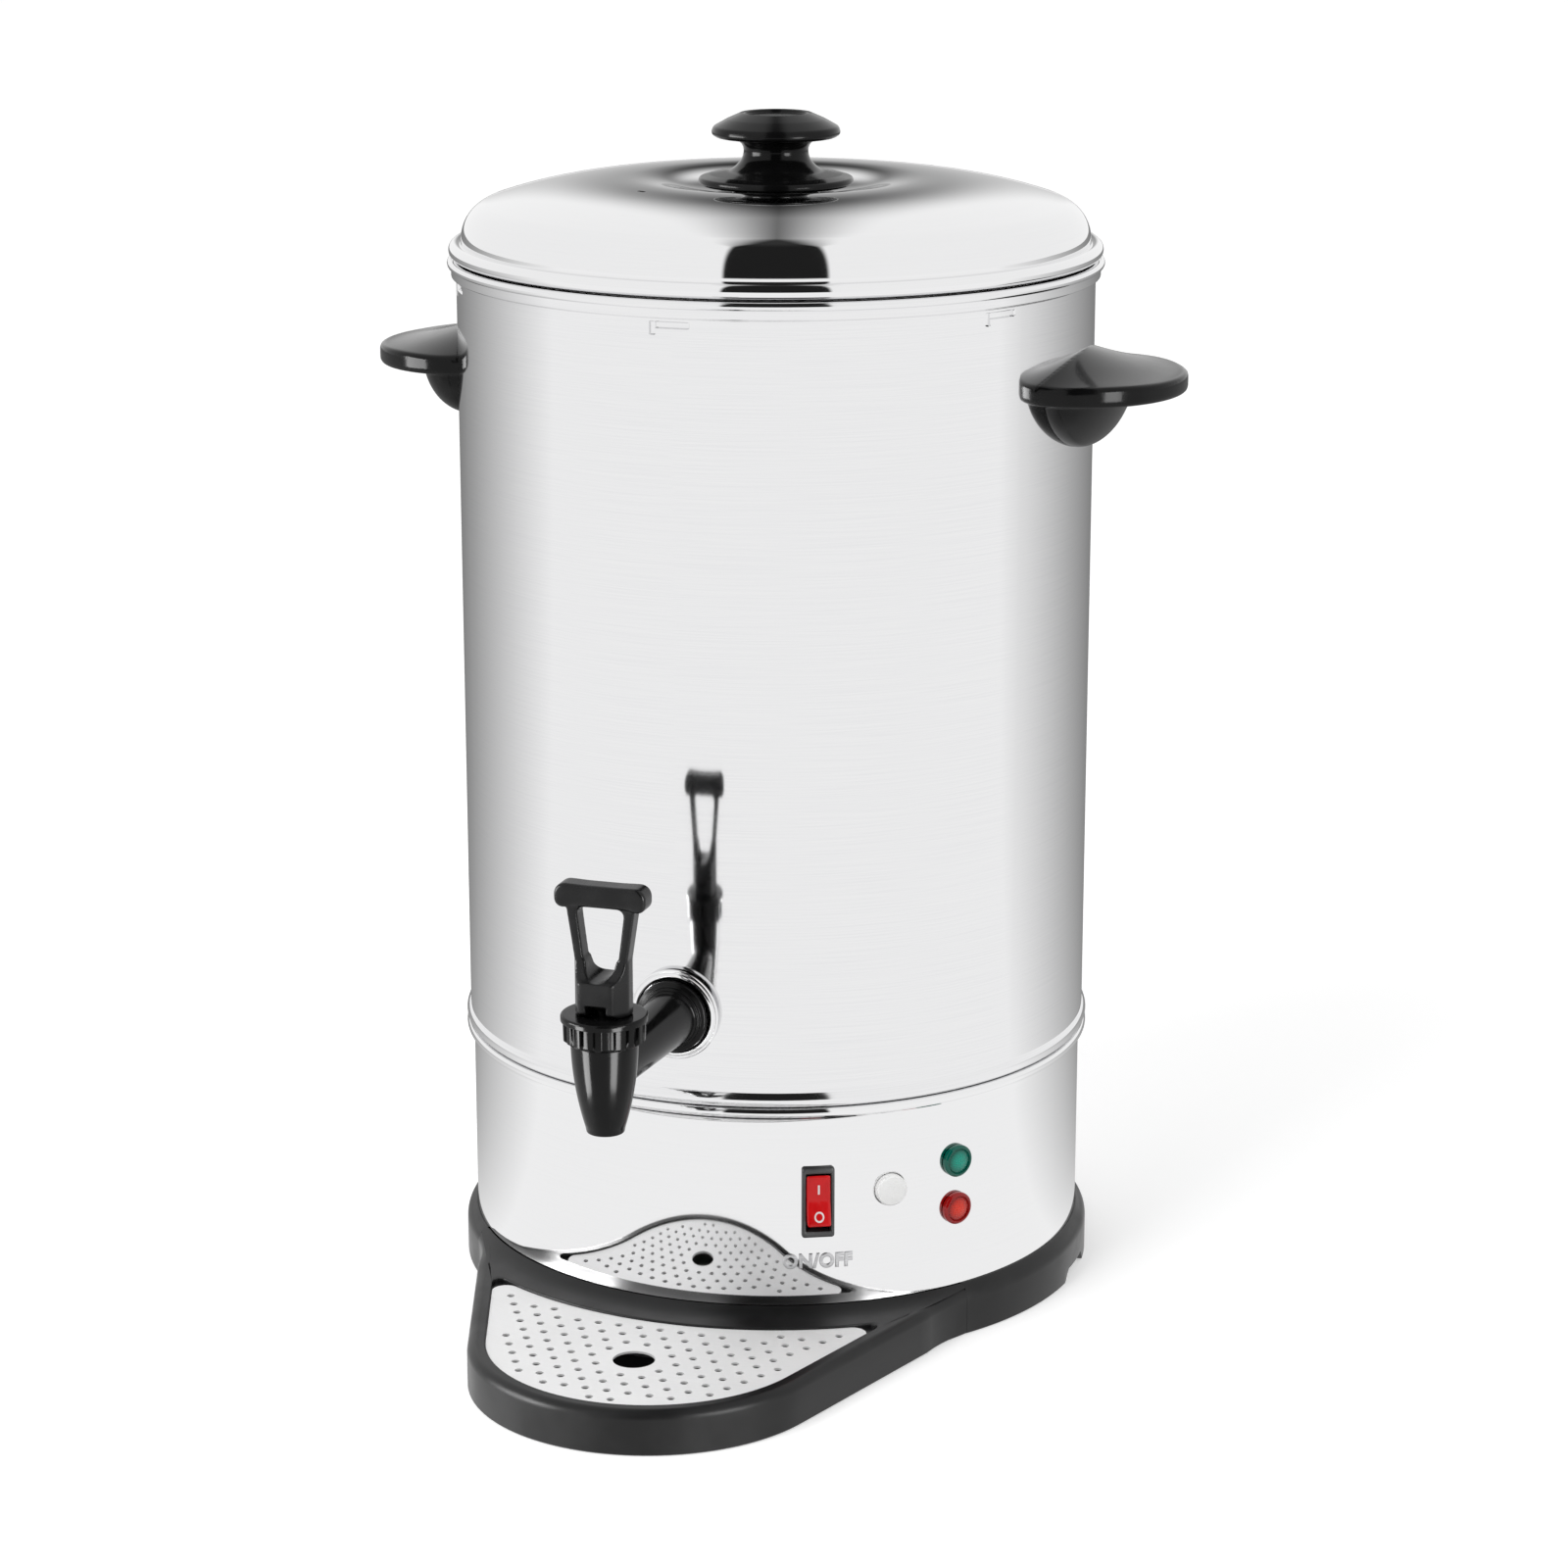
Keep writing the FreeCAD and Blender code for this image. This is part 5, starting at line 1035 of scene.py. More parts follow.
    def azimuths(self) -> np.ndarray:
        """Columns all the way round, close together over the bars.

        Returns:
            Their azimuths.
        """
        pitch = FULL_TURN / self.bars
        near = np.arange(-self.fine_half, self.fine_half, self.fine_step)
        one = np.concatenate([near, np.arange(self.fine_half, pitch - self.fine_half, self.plain_step)])
        return np.concatenate([one + pitch * number for number in range(self.bars)])

    def build(self) -> None:
        """The vessel as one closed skin, drawn in on the bars: by press outside and by stand inside."""
        azimuth = self.azimuths()[None]
        grids = []
        for path, depth in ((self.outside(), self.press), (self.inside(), self.stand)):
            radius, height = path[:, :1], path[:, 1:]
            grids.append(polar(radius - depth * self.bar_mask(azimuth, height), azimuth, height))
        skin = Skin().grid(np.concatenate(grids), round_rows=True)
        dress(skin.build("tank_vessel"), Fit(Body.URN, Slot.SATIN_STEEL, TANK_STEEL), "tank")


@dataclass
class Skirt:
    """The bright skirt with its bead, and its openings for the reboil button and the rocker switch."""

    radius: float = 138.6
    sheet: float = 1.0
    low: float = 21.8
    low_row: float = 40.0
    high_row: float = 95.0
    top: float = 113.45
    hollow: float = 5.0
    hollow_z: float = 105.45
    nose: float = 2.4
    nose_at: Point = (139.4, 111.05)
    turned_in: float = 141.0
    button: Seat = Seat(38.5, 72.8, 138.6)
    switch: Seat = Seat(25.1, 69.9, 138.6)
    hole: float = 7.55
    hole_edge: Corners = ((0.985, -0.05), (0.97, -0.2), (0.965, -0.8), (0.965, -1.0))
    switch_hole: tuple[float, float, float] = (6.35, 14.4, 0.5)
    switch_reach: float = 6.0
    window: float = 12.0
    divisions: int = 16
    step: float = 1.5

    def path(self) -> np.ndarray:
        """The outside upwards with the bead over its hollow, then the inside downwards.

        Returns:
            A closed path with its rows close together beside the button.
        """
        window = self.button.height + np.linspace(-self.window, self.window, self.divisions + 1)
        wall = upright(self.radius, np.r_[self.low, self.low_row, window, self.high_row])
        hollow = arc((self.radius + self.hollow, self.hollow_z), self.hollow, 180, 124, 7)
        nose = arc(self.nose_at, self.nose, -36, 78, 10)
        outer = joined(wall, hollow, nose, [(self.turned_in, self.top), (self.radius - self.sheet, self.top)])
        inner = upright(self.radius - self.sheet, np.minimum(outer[::-1, 1], self.top))
        return joined(outer, inner)

    def add_wall(self, skin: Skin) -> None:
        """The path carried round, without the quads that lie in the button's window.

        Args:
            skin: what the grid is added to.
        """
        centre, turn = self.button, math.degrees(self.window / self.radius)
        azimuth = np.r_[
            np.arange(centre.azimuth + turn, centre.azimuth + FULL_TURN - turn, self.step),
            centre.azimuth + FULL_TURN - turn,
            centre.azimuth + FULL_TURN + np.linspace(-turn, turn, self.divisions + 1)[1:-1],
        ]
        path = self.path()
        after = np.roll(path[:, 1], -1)
        middle = (azimuth + np.roll(azimuth, -1) + np.r_[np.zeros(len(azimuth) - 1), FULL_TURN]) / 2
        in_row = (np.abs((path[:, 1] + after) / 2 - centre.height) < self.window) & (np.abs(path[:, 1] - after) < 2)
        in_column = np.abs((middle - centre.azimuth + 180) % FULL_TURN - 180) < turn
        keep = ~(in_row[:, None] & in_column[None])
        skin.grid(revolved(path, azimuth), round_rows=True, keep=keep)

    def add_window(self, skin: Skin) -> None:
        """Rings from a square to the hole, through the hole, and back to the square behind the sheet.

        Args:
            skin: what the grid is added to.
        """
        side = np.linspace(-self.window, self.window, self.divisions + 1)[:-1]
        foot = points_of(side, -self.window)
        right = points_of(self.window, side)
        square = np.concatenate([foot, right, -foot, -right])
        circle = square / np.linalg.norm(square, axis=1, keepdims=True) * self.hole
        front = [at_height(square * (1 - share) + circle * share, 0.0) for share in np.linspace(0, 1, 8)]
        edge = [at_height(circle * grow, out) for grow, out in self.hole_edge]
        back = [at_height(ring[:, :2], -self.sheet) for ring in front[-2::-1]]
        skin.grid(self.button.wrap(np.stack(front + edge + back)))

    def build(self) -> None:
        """Wall and window as one shell, and the opening for the switch cut into it."""
        skin = Skin()
        self.add_wall(skin)
        self.add_window(skin)
        opening = block(box_loop(*self.switch_hole), -self.switch_reach, self.switch_reach)
        shell = skin.build("skirt_shell")
        tool = Skin().grid(self.switch.place(opening)).build("switch_opening")
        dress(cut(shell, tool), URN_BRIGHT, "skirt")


@dataclass
class Lid:
    """The spun lid: bead, wall, dome and the sunk middle under the knob, with its steam vent."""

    seat: float = 460.0
    lip: float = 136.7
    bead_foot: float = 138.6
    bead_centre: float = 139.8
    bead_rise: float = 3.45
    bead: float = 3.4
    bead_top: float = 6.6
    foot: float = 467.6
    wall: float = 137.7
    shoulder: float = 17.0
    crown: float = 65.0
    rise: float = 26.0
    dish: float = 22.0
    dish_depth: float = 6.0
    sheet: float = 1.0
    bore: float = 2.56
    vent_azimuth: float = -31.0
    vent_radius: float = 76.0
    vent_length: float = 4.6
    vent_width: float = 1.7
    vent_depth: float = 40.0

    def dome(self, lift: float) -> np.ndarray:
        """The dome from its foot inwards, moved inwards along its normals: four tangent arcs.

        Args:
            lift: how far it is moved.

        Returns:
            Its path.
        """
        width = self.wall - self.crown
        large = (width ** 2 + self.rise ** 2 - 2 * width * self.shoulder) / (2 * (self.rise - self.shoulder))
        lean = math.degrees(math.atan2(width - self.shoulder, large - self.rise))
        shoulder = arc((self.wall - self.shoulder, self.foot), self.shoulder - lift, 0, 90 - lean, 16)
        crown = arc((self.crown, self.foot + self.rise - large), large - lift, 90 - lean, 90, 16)
        span = self.crown - self.dish
        dish = (span ** 2 + self.dish_depth ** 2) / (4 * self.dish_depth)
        swing = math.degrees(math.asin(span / 2 / dish))
        outer = arc((self.crown, self.foot + self.rise - dish), dish - lift, 90, 90 + swing, 9)
        inner = arc((self.dish, self.foot + self.rise - self.dish_depth + dish), dish + lift, 270 + swing, 270, 9)
        return joined(shoulder, crown[1:], outer[1:], inner[1:])

    def vent(self) -> bpy.types.Object:
        """The block that leaves the steam vent: a slot with round ends, carried upwards through the dome.

        Returns:
            The block's object.
        """
        turn = math.radians(self.vent_azimuth)
        slot = box_loop(self.vent_length / 2, self.vent_width / 2, EDGE_SHARE * self.vent_width)
        along = np.array([math.cos(turn), math.sin(turn)])
        away = np.array([math.sin(turn), -math.cos(turn)])
        plan = self.vent_radius * away + slot[:, :1] * along + slot[:, 1:] * away
        return Skin().grid(block(plan, self.foot, self.foot + self.vent_depth)).build("vent_opening")

    def build(self) -> None:
        """Bead, dome, bore and the inside back to the bead, with the vent cut into it."""
        bead = arc((self.bead_centre, self.seat + self.bead_rise), self.bead, -88, 126, 30)
        middle = self.foot + self.rise - self.dish_depth
        path = joined(
            [(self.lip, self.seat), (self.bead_foot, self.seat)], bead, [(self.wall, self.seat + self.bead_top)],
            self.dome(0.0), [(self.bore, middle), (self.bore, middle - self.sheet)], self.dome(self.sheet)[::-1],
        )
        shell = Skin().lathe(path, 1.5).build("lid_dome")
        dress(cut(shell, self.vent()), Fit(Body.LID, Slot.POLISHED_STEEL, MIRROR_STEEL), "lid_shell")


@dataclass
class Knob:
    """The lid's knob, with its flange, hollow neck and cap with a sunk disc, and the ring it stands on."""

    foot: float = 490.2
    profile: Corners = (
        (0.0, 0.0), (32.0, 0.0, 1.2), (34.0, 1.2, 1.2), (33.6, 3.4, 1.4), (29.0, 4.8, 6.0), (19.0, 6.6, 9.0),
        (14.2, 12.0, 9.0), (14.0, 17.5, 8.0), (18.5, 20.4, 4.0), (26.0, 20.8, 2.0), (28.2, 22.2, 1.6),
        (27.6, 25.2, 2.4), (21.5, 28.6, 4.0), (15.4, 31.3, 1.2), (13.9, 31.0, 0.6), (13.2, 30.0, 0.6), (0.0, 29.8),
    )
    ring: Corners = (
        (2.6, 487.6), (18.4, 487.6, 0.5), (19.0, 488.2, 0.5), (19.0, 489.6, 0.6), (18.2, 490.2, 0.5), (2.6, 490.2),
    )

    def build(self) -> None:
        """Two turned mouldings."""
        fit = Fit(Body.LID, Slot.BLACK_GLOSS, BLACK_GLOSS)
        path = rounded(self.profile, turn=7.0) + np.array([0, self.foot])
        dress(Skin().lathe(path, 2.5).build("lid_knob"), fit, "knob")
        dress(Skin().lathe(rounded(self.ring), 3.0).build("knob_ring"), fit, "knob_seat")


@dataclass
class Grips:
    """The two side grips: an oval plate that rises to the wall and the cup under it, blended into one form."""

    wall: float = 140.0
    back: float = 139.3
    top: float = 415.5
    thickness: float = 8.4
    fillet: float = 2.0
    reach: float = 44.0
    half_width: float = 51.0
    rise: float = 9.5
    rise_reach: float = 40.0
    rise_power: float = 1.4
    cup: tuple[float, float, float] = (19.5, 49.5, 31.5)
    voxel: float = 0.0007
    smoothing: int = 6

    def on_wall(self, points: np.ndarray) -> np.ndarray:
        """Points moved outwards where they are nearer to the axis than the back of the grip.

        Args:
            points: points about the urn's axis.

        Returns:
            The points, none of them nearer to the axis than that.
        """
        reach = np.hypot(points[..., 0], points[..., 1])
        grow = np.maximum(reach, self.back) / reach
        return points * points_of(grow, grow, 1.0)

    def plate_form(self) -> np.ndarray:
        """The oval plate, its top raised to the wall by rise (1 - (y / half_width)^2) (1 - out / rise_reach)^1.4.

        Returns:
            Its grid.
        """
        turn = np.radians(whole_turn(3.0))
        plan = points_of(self.wall + self.reach * np.cos(turn), self.half_width * np.sin(turn))
        low = self.top - self.thickness
        points = self.on_wall(pad(plan, low, self.top, self.fillet, rings=20))
        out = np.hypot(points[..., 0], points[..., 1]) - self.wall
        near = np.clip(1 - out / self.rise_reach, 0, 1) ** self.rise_power
        across = np.clip(1 - (points[..., 1] / (self.half_width - 1)) ** 2, 0, 1)
        upper = soft_step(points[..., 2], low + self.fillet, self.top - 1.0)
        points[..., 2] += self.rise * near * across * upper
        return points

    def cup_form(self) -> np.ndarray:
        """The cup: the lower half of an ellipsoid about the middle of the plate's upper face at the wall.

        Returns:
            Its grid.
        """
        turn = np.radians(whole_turn(3.0))[None]
        swing = np.radians(np.linspace(-90, 90, 61))[:, None]
        out, aside, depth = self.cup
        height = np.minimum(self.top - 1.0 + depth * np.sin(swing), self.top - 2.5)
        return self.on_wall(points_of(
            self.wall + out * np.cos(swing) * np.cos(turn), aside * np.cos(swing) * np.sin(turn), height,
        ))

    def build(self) -> None:
        """Both closed forms, joined into one by a voxel remesh and smoothed, at the right and mirrored."""
        for side, name, node in ((1, "grip_right", "handle_right"), (-1, "grip_left", "handle_left")):
            skin = Skin()
            for form in (self.plate_form(), self.cup_form()):
                skin.grid(form * np.array([side, 1, 1]))
            piece = blended(skin.build(name + "_forms"), name, self.voxel, self.smoothing)
            dress(piece, URN_BLACK, node)


@dataclass
class Tap:
    """The tap: nozzle and shank, bright washer, ribbed bonnet and the lever."""

    reach: float = 229.0
    shank_z: float = 154.5
    tip: float = 131.5
    top: float = 169.9
    outlet: float = 5.8
    outlet_depth: float = 14.0
    lip: float = 7.8
    mouth: float = 8.3
    bulge: float = 13.9
    bulge_rise: float = 1.15
    neck: float = 8.2
    collar: Corners = (
        (0.0, 141.0), (8.0, 141.0), (8.0, 144.9), (15.5, 144.9, 0.5), (15.5, 147.4, 0.8), (13.4, 147.8, 0.3),
        (13.2, 149.0, 0.4), (12.3, 149.2, 0.3), (12.1, 150.4, 0.4), (11.6, 150.8, 0.5),
    )
    washer: Corners = (
        (8.2, 141.8), (19.0, 141.8, 0.6), (19.8, 142.6, 0.6), (19.8, 143.6, 0.6), (19.2, 144.2, 0.5),
        (18.7, 143.7, 0.3), (18.3, 144.6, 0.5), (17.2, 145.0, 0.7), (16.2, 144.4, 0.5), (15.9, 143.9, 0.3),
        (8.2, 143.9),
    )
    bonnet_foot: float = 170.0
    rib_depth: float = 1.6
    rib_wave: tuple[float, float] = (-0.25, 0.35)
    ribs: int = 18
    ribbed: Corners = (
        (2.0, 0.0, 0.0), (5.0, 0.0, 0.0), (14.6, 0.0, 0.0), (15.2, 0.3, 0.2), (15.4, 0.8, 0.9), (15.4, 4.0, 1.0),
        (15.4, 4.4, 1.0), (15.4, 4.8, 1.0),
    )
    rib_stretch: float = 9.5 / 4.8
    head: Corners = (
        (16.9, 9.5), (17.9, 9.5, 0.3), (17.9, 12.3, 1.1), (15.0, 12.3), (10.4, 12.3, 0.4), (10.2, 11.5, 0.2),
        (2.0, 11.4),
    )

    def at_nozzle(self, points: np.ndarray) -> np.ndarray:
        """Points about the nozzle's axis moved to it."""
        return points - np.array([0, self.reach, 0])

    def along_shank(self, points: np.ndarray) -> np.ndarray:
        """Turned points laid along the shank, their height running forwards from the axis of the tank."""
        return points_of(points[..., 0], -points[..., 2], self.shank_z - points[..., 1])

    def build_body(self) -> None:
        """The nozzle with its bulge and outlet, and the shank with its collar, as two turned forms."""
        tip, top, ceiling = self.tip, self.top, self.tip + self.outlet_depth
        nozzle = joined(
            [(0.0, ceiling), (self.outlet, ceiling)],
            rounded([(self.outlet, tip + 2), (self.outlet, tip, 0.4), (self.lip, tip, 0.7), (self.mouth, tip + 2.5)]),
            bow((self.mouth + 0.05, tip + 2.6), (self.bulge, top - 0.8), self.bulge_rise, 16),
            rounded([(self.bulge, top - 0.6), (self.bulge, top, 0.4), (self.bulge - 1.3, top)]), [(0.0, top)],
        )
        end = self.reach - 2
        shank = rounded([*self.collar, (self.neck, end - 4), (self.neck, end), (0.0, end)])
        skin = Skin().lathe(nozzle, 3.0, self.at_nozzle).lathe(shank, 3.0, self.along_shank)
        dress(skin.build("tap_spout"), URN_BLACK, "tap_body")

    def build_washer(self) -> None:
        """The bright washer: a rolled outer bead round a sunk land."""
        skin = Skin().lathe(rounded(self.washer, turn=12.0), 2.0, self.along_shank)
        dress(skin.build("tap_ring"), URN_BRIGHT, "tap_washer")

    def build_bonnet(self) -> None:
        """The bonnet: its radius between core and ribs follows a softened wave of the azimuth."""
        azimuth = whole_turn(0.75)
        rib = soft_step(np.cos(np.radians(azimuth * self.ribs)), *self.rib_wave)
        core, rise, share = np.array(self.ribbed).T[..., None]
        sides = polar(core + share * rib * self.rib_depth, azimuth[None], rise * self.rib_stretch)
        points = np.concatenate([sides, revolved(rounded(self.head), azimuth)]) + np.array([0, 0, self.bonnet_foot])
        dress(Skin().grid(self.at_nozzle(points), round_rows=True).build("tap_cap"), URN_BLACK, "tap_bonnet")

    def build(self) -> None:
        """All the tap's pieces."""
        self.build_body()
        self.build_washer()
        self.build_bonnet()
        Lever(self.reach).build()


@dataclass
class Lever:
    """The tap's lever: a block with an open foot, a frame with a window, and a thick bar with rounded ends.

    Its forms are made about its pin: x across, y away from the user, z up.
    """

    reach: float
    pin: float = 190.0
    half_width: float = 11.6
    half_depth: float = 11.0
    corner: float = 4.2
    block_low: float = -2.3
    sweep: float = 9.0
    sweep_top: float = 16.0
    window_low: float = 7.4
    window_foot: float = 6.2
    window_middle: float = 24.5
    heel: float = -7.5
    heel_rise: float = 5.28
    travel: float = 42.0
    slot: float = 4.2
    bridge: tuple[float, float, float] = (6.0, 1.8, 0.4)
    bridge_y: float = 8.6
    window_half: float = 6.4
    window_top: tuple[float, float, float] = (10.3, 37.2, 2.8)
    frame_foot: Point = (11.2, -2.0)
    frame_waist: tuple[float, float, float] = (10.8, 12.0, 30.0)
    frame_top: Point = (15.3, 41.5)
    frame_depth: float = 4.2
    frame_fillet: float = 1.1
    bar: Corners = (
        (19.5, 35.9, 4.4), (19.5, 47.0, 4.6), (7.0, 46.6, 30.0), (-7.0, 46.6, 30.0), (-19.5, 47.0, 4.6),
        (-19.5, 35.9, 4.4), (-11.0, 37.6, 8.0), (11.0, 37.6, 8.0),
    )
    bar_depth: float = 5.2
    voxel: float = 0.00045
    smoothing: int = 4

    def over_bonnet(self, points: np.ndarray) -> np.ndarray:
        """Block points lifted to the heel's curve, which stays flat on the bonnet as the lever tilts.

        At a tilt t the heel touches at y = -reach sin t - rise cos t and z = rise sin t - reach cos t, where
        reach grows by rise for each radian.

        Args:
            points: points about the pin.

        Returns:
            The points, none of them under the curve.
        """
        tilt = np.radians(np.linspace(0, self.travel, 30))
        reach = -self.heel + self.heel_rise * tilt
        across = -reach * np.sin(tilt) - self.heel_rise * np.cos(tilt)
        curve = self.heel_rise * np.sin(tilt) - reach * np.cos(tilt)
        low = np.interp(points[..., 1], across[::-1], curve[::-1])
        return points_of(points[..., 0], points[..., 1], np.maximum(points[..., 2], low))

    def under_window(self, points: np.ndarray) -> np.ndarray:
        """Block points lowered to a hollow that sweeps up to the frame's faces, and to the foot of the window.

        The hollow is a quarter circle: z = sweep_top - sqrt(r^2 - (r - d)^2), with d the distance before the
        frame's face. The window's foot is a half circle about its lower middle, and rises steeply past it.

        Args:
            points: points about the pin.

        Returns:
            The points, none of them over the hollow and the window's foot.
        """
        aside = np.abs(points[..., 0])
        ahead = np.clip(np.abs(points[..., 1]) - self.frame_depth, 0, self.sweep)
        hollow = self.sweep_top - np.sqrt(self.sweep ** 2 - (self.sweep - ahead) ** 2)
        foot = self.window_low + self.window_foot - np.sqrt(
            self.window_foot ** 2 - np.clip(aside, 0, self.window_foot) ** 2,
        )
        foot += 3.0 * np.maximum(0, aside - self.window_foot)
        high = np.minimum(hollow, foot)
        return points_of(points[..., 0], points[..., 1], np.minimum(points[..., 2], high))

    def stood_up(self, points: np.ndarray) -> np.ndarray:
        """Front-view points (across, up, depth) stood up."""
        return points_of(points[..., 0], -points[..., 2], points[..., 1])

    def frame_form(self) -> np.ndarray:
        """The frame: a band between the window's loop and its own, met by the same rays from the window's middle.

        Returns:
            Its grid in front view.
        """
        outer = rounded(both_sides([self.frame_foot, self.frame_waist, self.frame_top]), closed=True, turn=3.0)
        foot = (self.window_half, self.window_low, self.window_foot)
        window = rounded(both_sides([foot, self.window_top]), closed=True, turn=6.0)
        lift = np.array([0, self.window_middle])
        angle = np.linspace(0, FULL_TURN, 180, endpoint=False)
        inner, outer = (by_angle(even(loop, 720) - lift, angle) + lift for loop in (window, outer))
        return band(inner, outer, -self.frame_depth, self.frame_depth, self.frame_fillet)

    def block_plan(self) -> np.ndarray:
        """The block's plan: a rectangle whose corners are cut and rounded."""
        wide, deep, corner = self.half_width, self.half_depth, self.corner
        return even(rounded([
            (wide, -deep + 2 * corner, 2), (wide, deep - 2 * corner, 2), (wide - corner, deep, 2),
            (-wide + corner, deep, 2), (-wide, deep - 2 * corner, 2), (-wide, -deep + 2 * corner, 2),
            (-wide + corner, -deep, 2), (wide - corner, -deep, 2),
        ], closed=True), 96)

    def cheek_plan(self, side: int) -> np.ndarray:
        """The plan of the block's foot beside the fork, where side is 1 at the right and -1 at the left."""
        wide, deep, corner = self.half_width, self.half_depth, self.corner
        return even(rounded([
            (side * self.slot, -deep, 1.0), (side * (wide - corner), -deep, 1.5),
            (side * wide, -deep + 2 * corner, 1.5), (side * wide, deep - 2 * corner, 1.5),
            (side * (wide - corner), deep, 1.5), (side * self.slot, deep, 0.5),
        ][::side], closed=True), 64)

    def build(self) -> None:
        """Overlapping closed forms, joined into one by a voxel remesh and smoothed, which leaves moulded fillets."""
        skin = Skin()
        upper = pad(self.block_plan(), self.block_low, self.sweep_top, 0.6, rings=24)
        skin.grid(self.under_window(self.over_bonnet(upper)))
        for side in (1, -1):
            skin.grid(self.over_bonnet(pad(self.cheek_plan(side), self.heel, 1.0, 0.5)))
        skin.grid(pad(box_loop(*self.bridge) + np.array([0, self.bridge_y]), self.heel, 1.0, 0.4))
        skin.grid(self.stood_up(self.frame_form()), round_rows=True)
        bar = even(rounded(self.bar, closed=True), 120)
        skin.grid(self.stood_up(pad(bar, -self.bar_depth, self.bar_depth, 1.5, 0.2)))
        skin.points = [points + np.array([0, -self.reach, self.pin]) for points in skin.points]
        piece = blended(skin.build("lever_forms"), "tap_handle", self.voxel, self.smoothing)
        dress(piece, Fit(Body.LEVER, Slot.BLACK_GLOSS, BLACK_LEVER), "tap_lever")


# The sweep of the base's top: its height, outer radius, width and power
LAND_RISE, LAND_EDGE, LAND_WIDTH, LAND_POWER = 3.0, 150.0, 10.8, 2.2


def land_rise(radius: np.ndarray) -> np.ndarray:
    """How far the base's top sweeps up towards the skirt: a power of the share of the land's width."""
    return LAND_RISE * (np.clip(LAND_EDGE - radius, 0, LAND_WIDTH) / LAND_WIDTH) ** LAND_POWER


@dataclass
class BaseRing:
    """The black ring under the skirt: its core all round, and its outer band behind the drip tray's joint."""

    seam: float = 53.4
    joint: float = 0.12
    inner: float = 112.0
    inner_wall: float = 120.0
    inner_foot: float = 8.0
    under_top: float = 18.8
    core: float = 138.9
    core_wall: float = 3.0
    outer: float = 143.5
    top: float = 19.4
    seat: float = 21.8
    rounding: float = 4.0
    notch: float = 5.6
    notch_half: float = 6.4
    notch_slope: float = 1.8

    def notch_height(self, azimuth: np.ndarray) -> np.ndarray:
        """Height of the lifting notches at both sides: a flat top that slopes down softly at both ends."""
        off = np.abs(np.abs((azimuth + 180) % FULL_TURN - 180) - 90)
        return self.notch * (1 - soft_step(off, self.notch_half - self.notch_slope, self.notch_half))

    def core_path(self) -> np.ndarray:
        """The core's closed section: an inner and an outer wall under one top."""
        wall = self.core - self.core_wall
        return joined(
            [(self.inner, self.inner_foot), (self.inner_wall, self.inner_foot)],
            [(self.inner_wall, self.under_top), (wall, self.under_top), (wall, 0.0)],
            rounded([(wall, 0.0), (self.core, 0.0, 0.5), (self.core, 6.0)]),
            [(self.core, self.top + 2.0), (self.core, self.seat), (self.inner, self.seat)],
        )

    def band_form(self) -> np.ndarray:
        """The outer band from joint to joint behind, with its top swept up and its foot lifted over the notches.

        Returns:
            Its grid, closed in the middle of both ends.
        """
        gap = math.degrees(self.joint / self.outer)
        behind = np.linspace(self.seam + gap, FULL_TURN - self.seam - gap, 260)
        back, edge_at = self.core - 0.2, self.outer - self.rounding
        foot = rounded([(back, 0.0), (self.outer, 0.0, 0.5), (self.outer, 8.0)])
        edge = arc((edge_at, self.top - self.rounding), self.rounding, 0, 90, 8)
        land = points_of(np.linspace(edge_at - 0.15, back, 4), self.top)
        radius, height = joined(foot, edge, land).T[..., None]
        share = np.clip((height - self.top + self.rounding) / self.rounding, 0, 1)
        height = height + land_rise(radius) * share
        grid = polar(radius, behind[None], np.maximum(height, self.notch_height(behind)[None]))
        middle = np.broadcast_to(grid.mean(axis=0, keepdims=True), grid.shape)
        return np.concatenate([middle[:, :1], grid, middle[:, -1:]], axis=1)

    def build(self) -> None:
        """Core and band in one piece."""
        skin = Skin().grid(revolved(self.core_path(), whole_turn(1.0)), round_rows=True)
        skin.grid(self.band_form(), round_rows=True, round_columns=False)
        dress(skin.build("base_band", sharp=30), Fit(Body.URN, Slot.BLACK_SATIN, BLACK_SATIN), "base_ring")


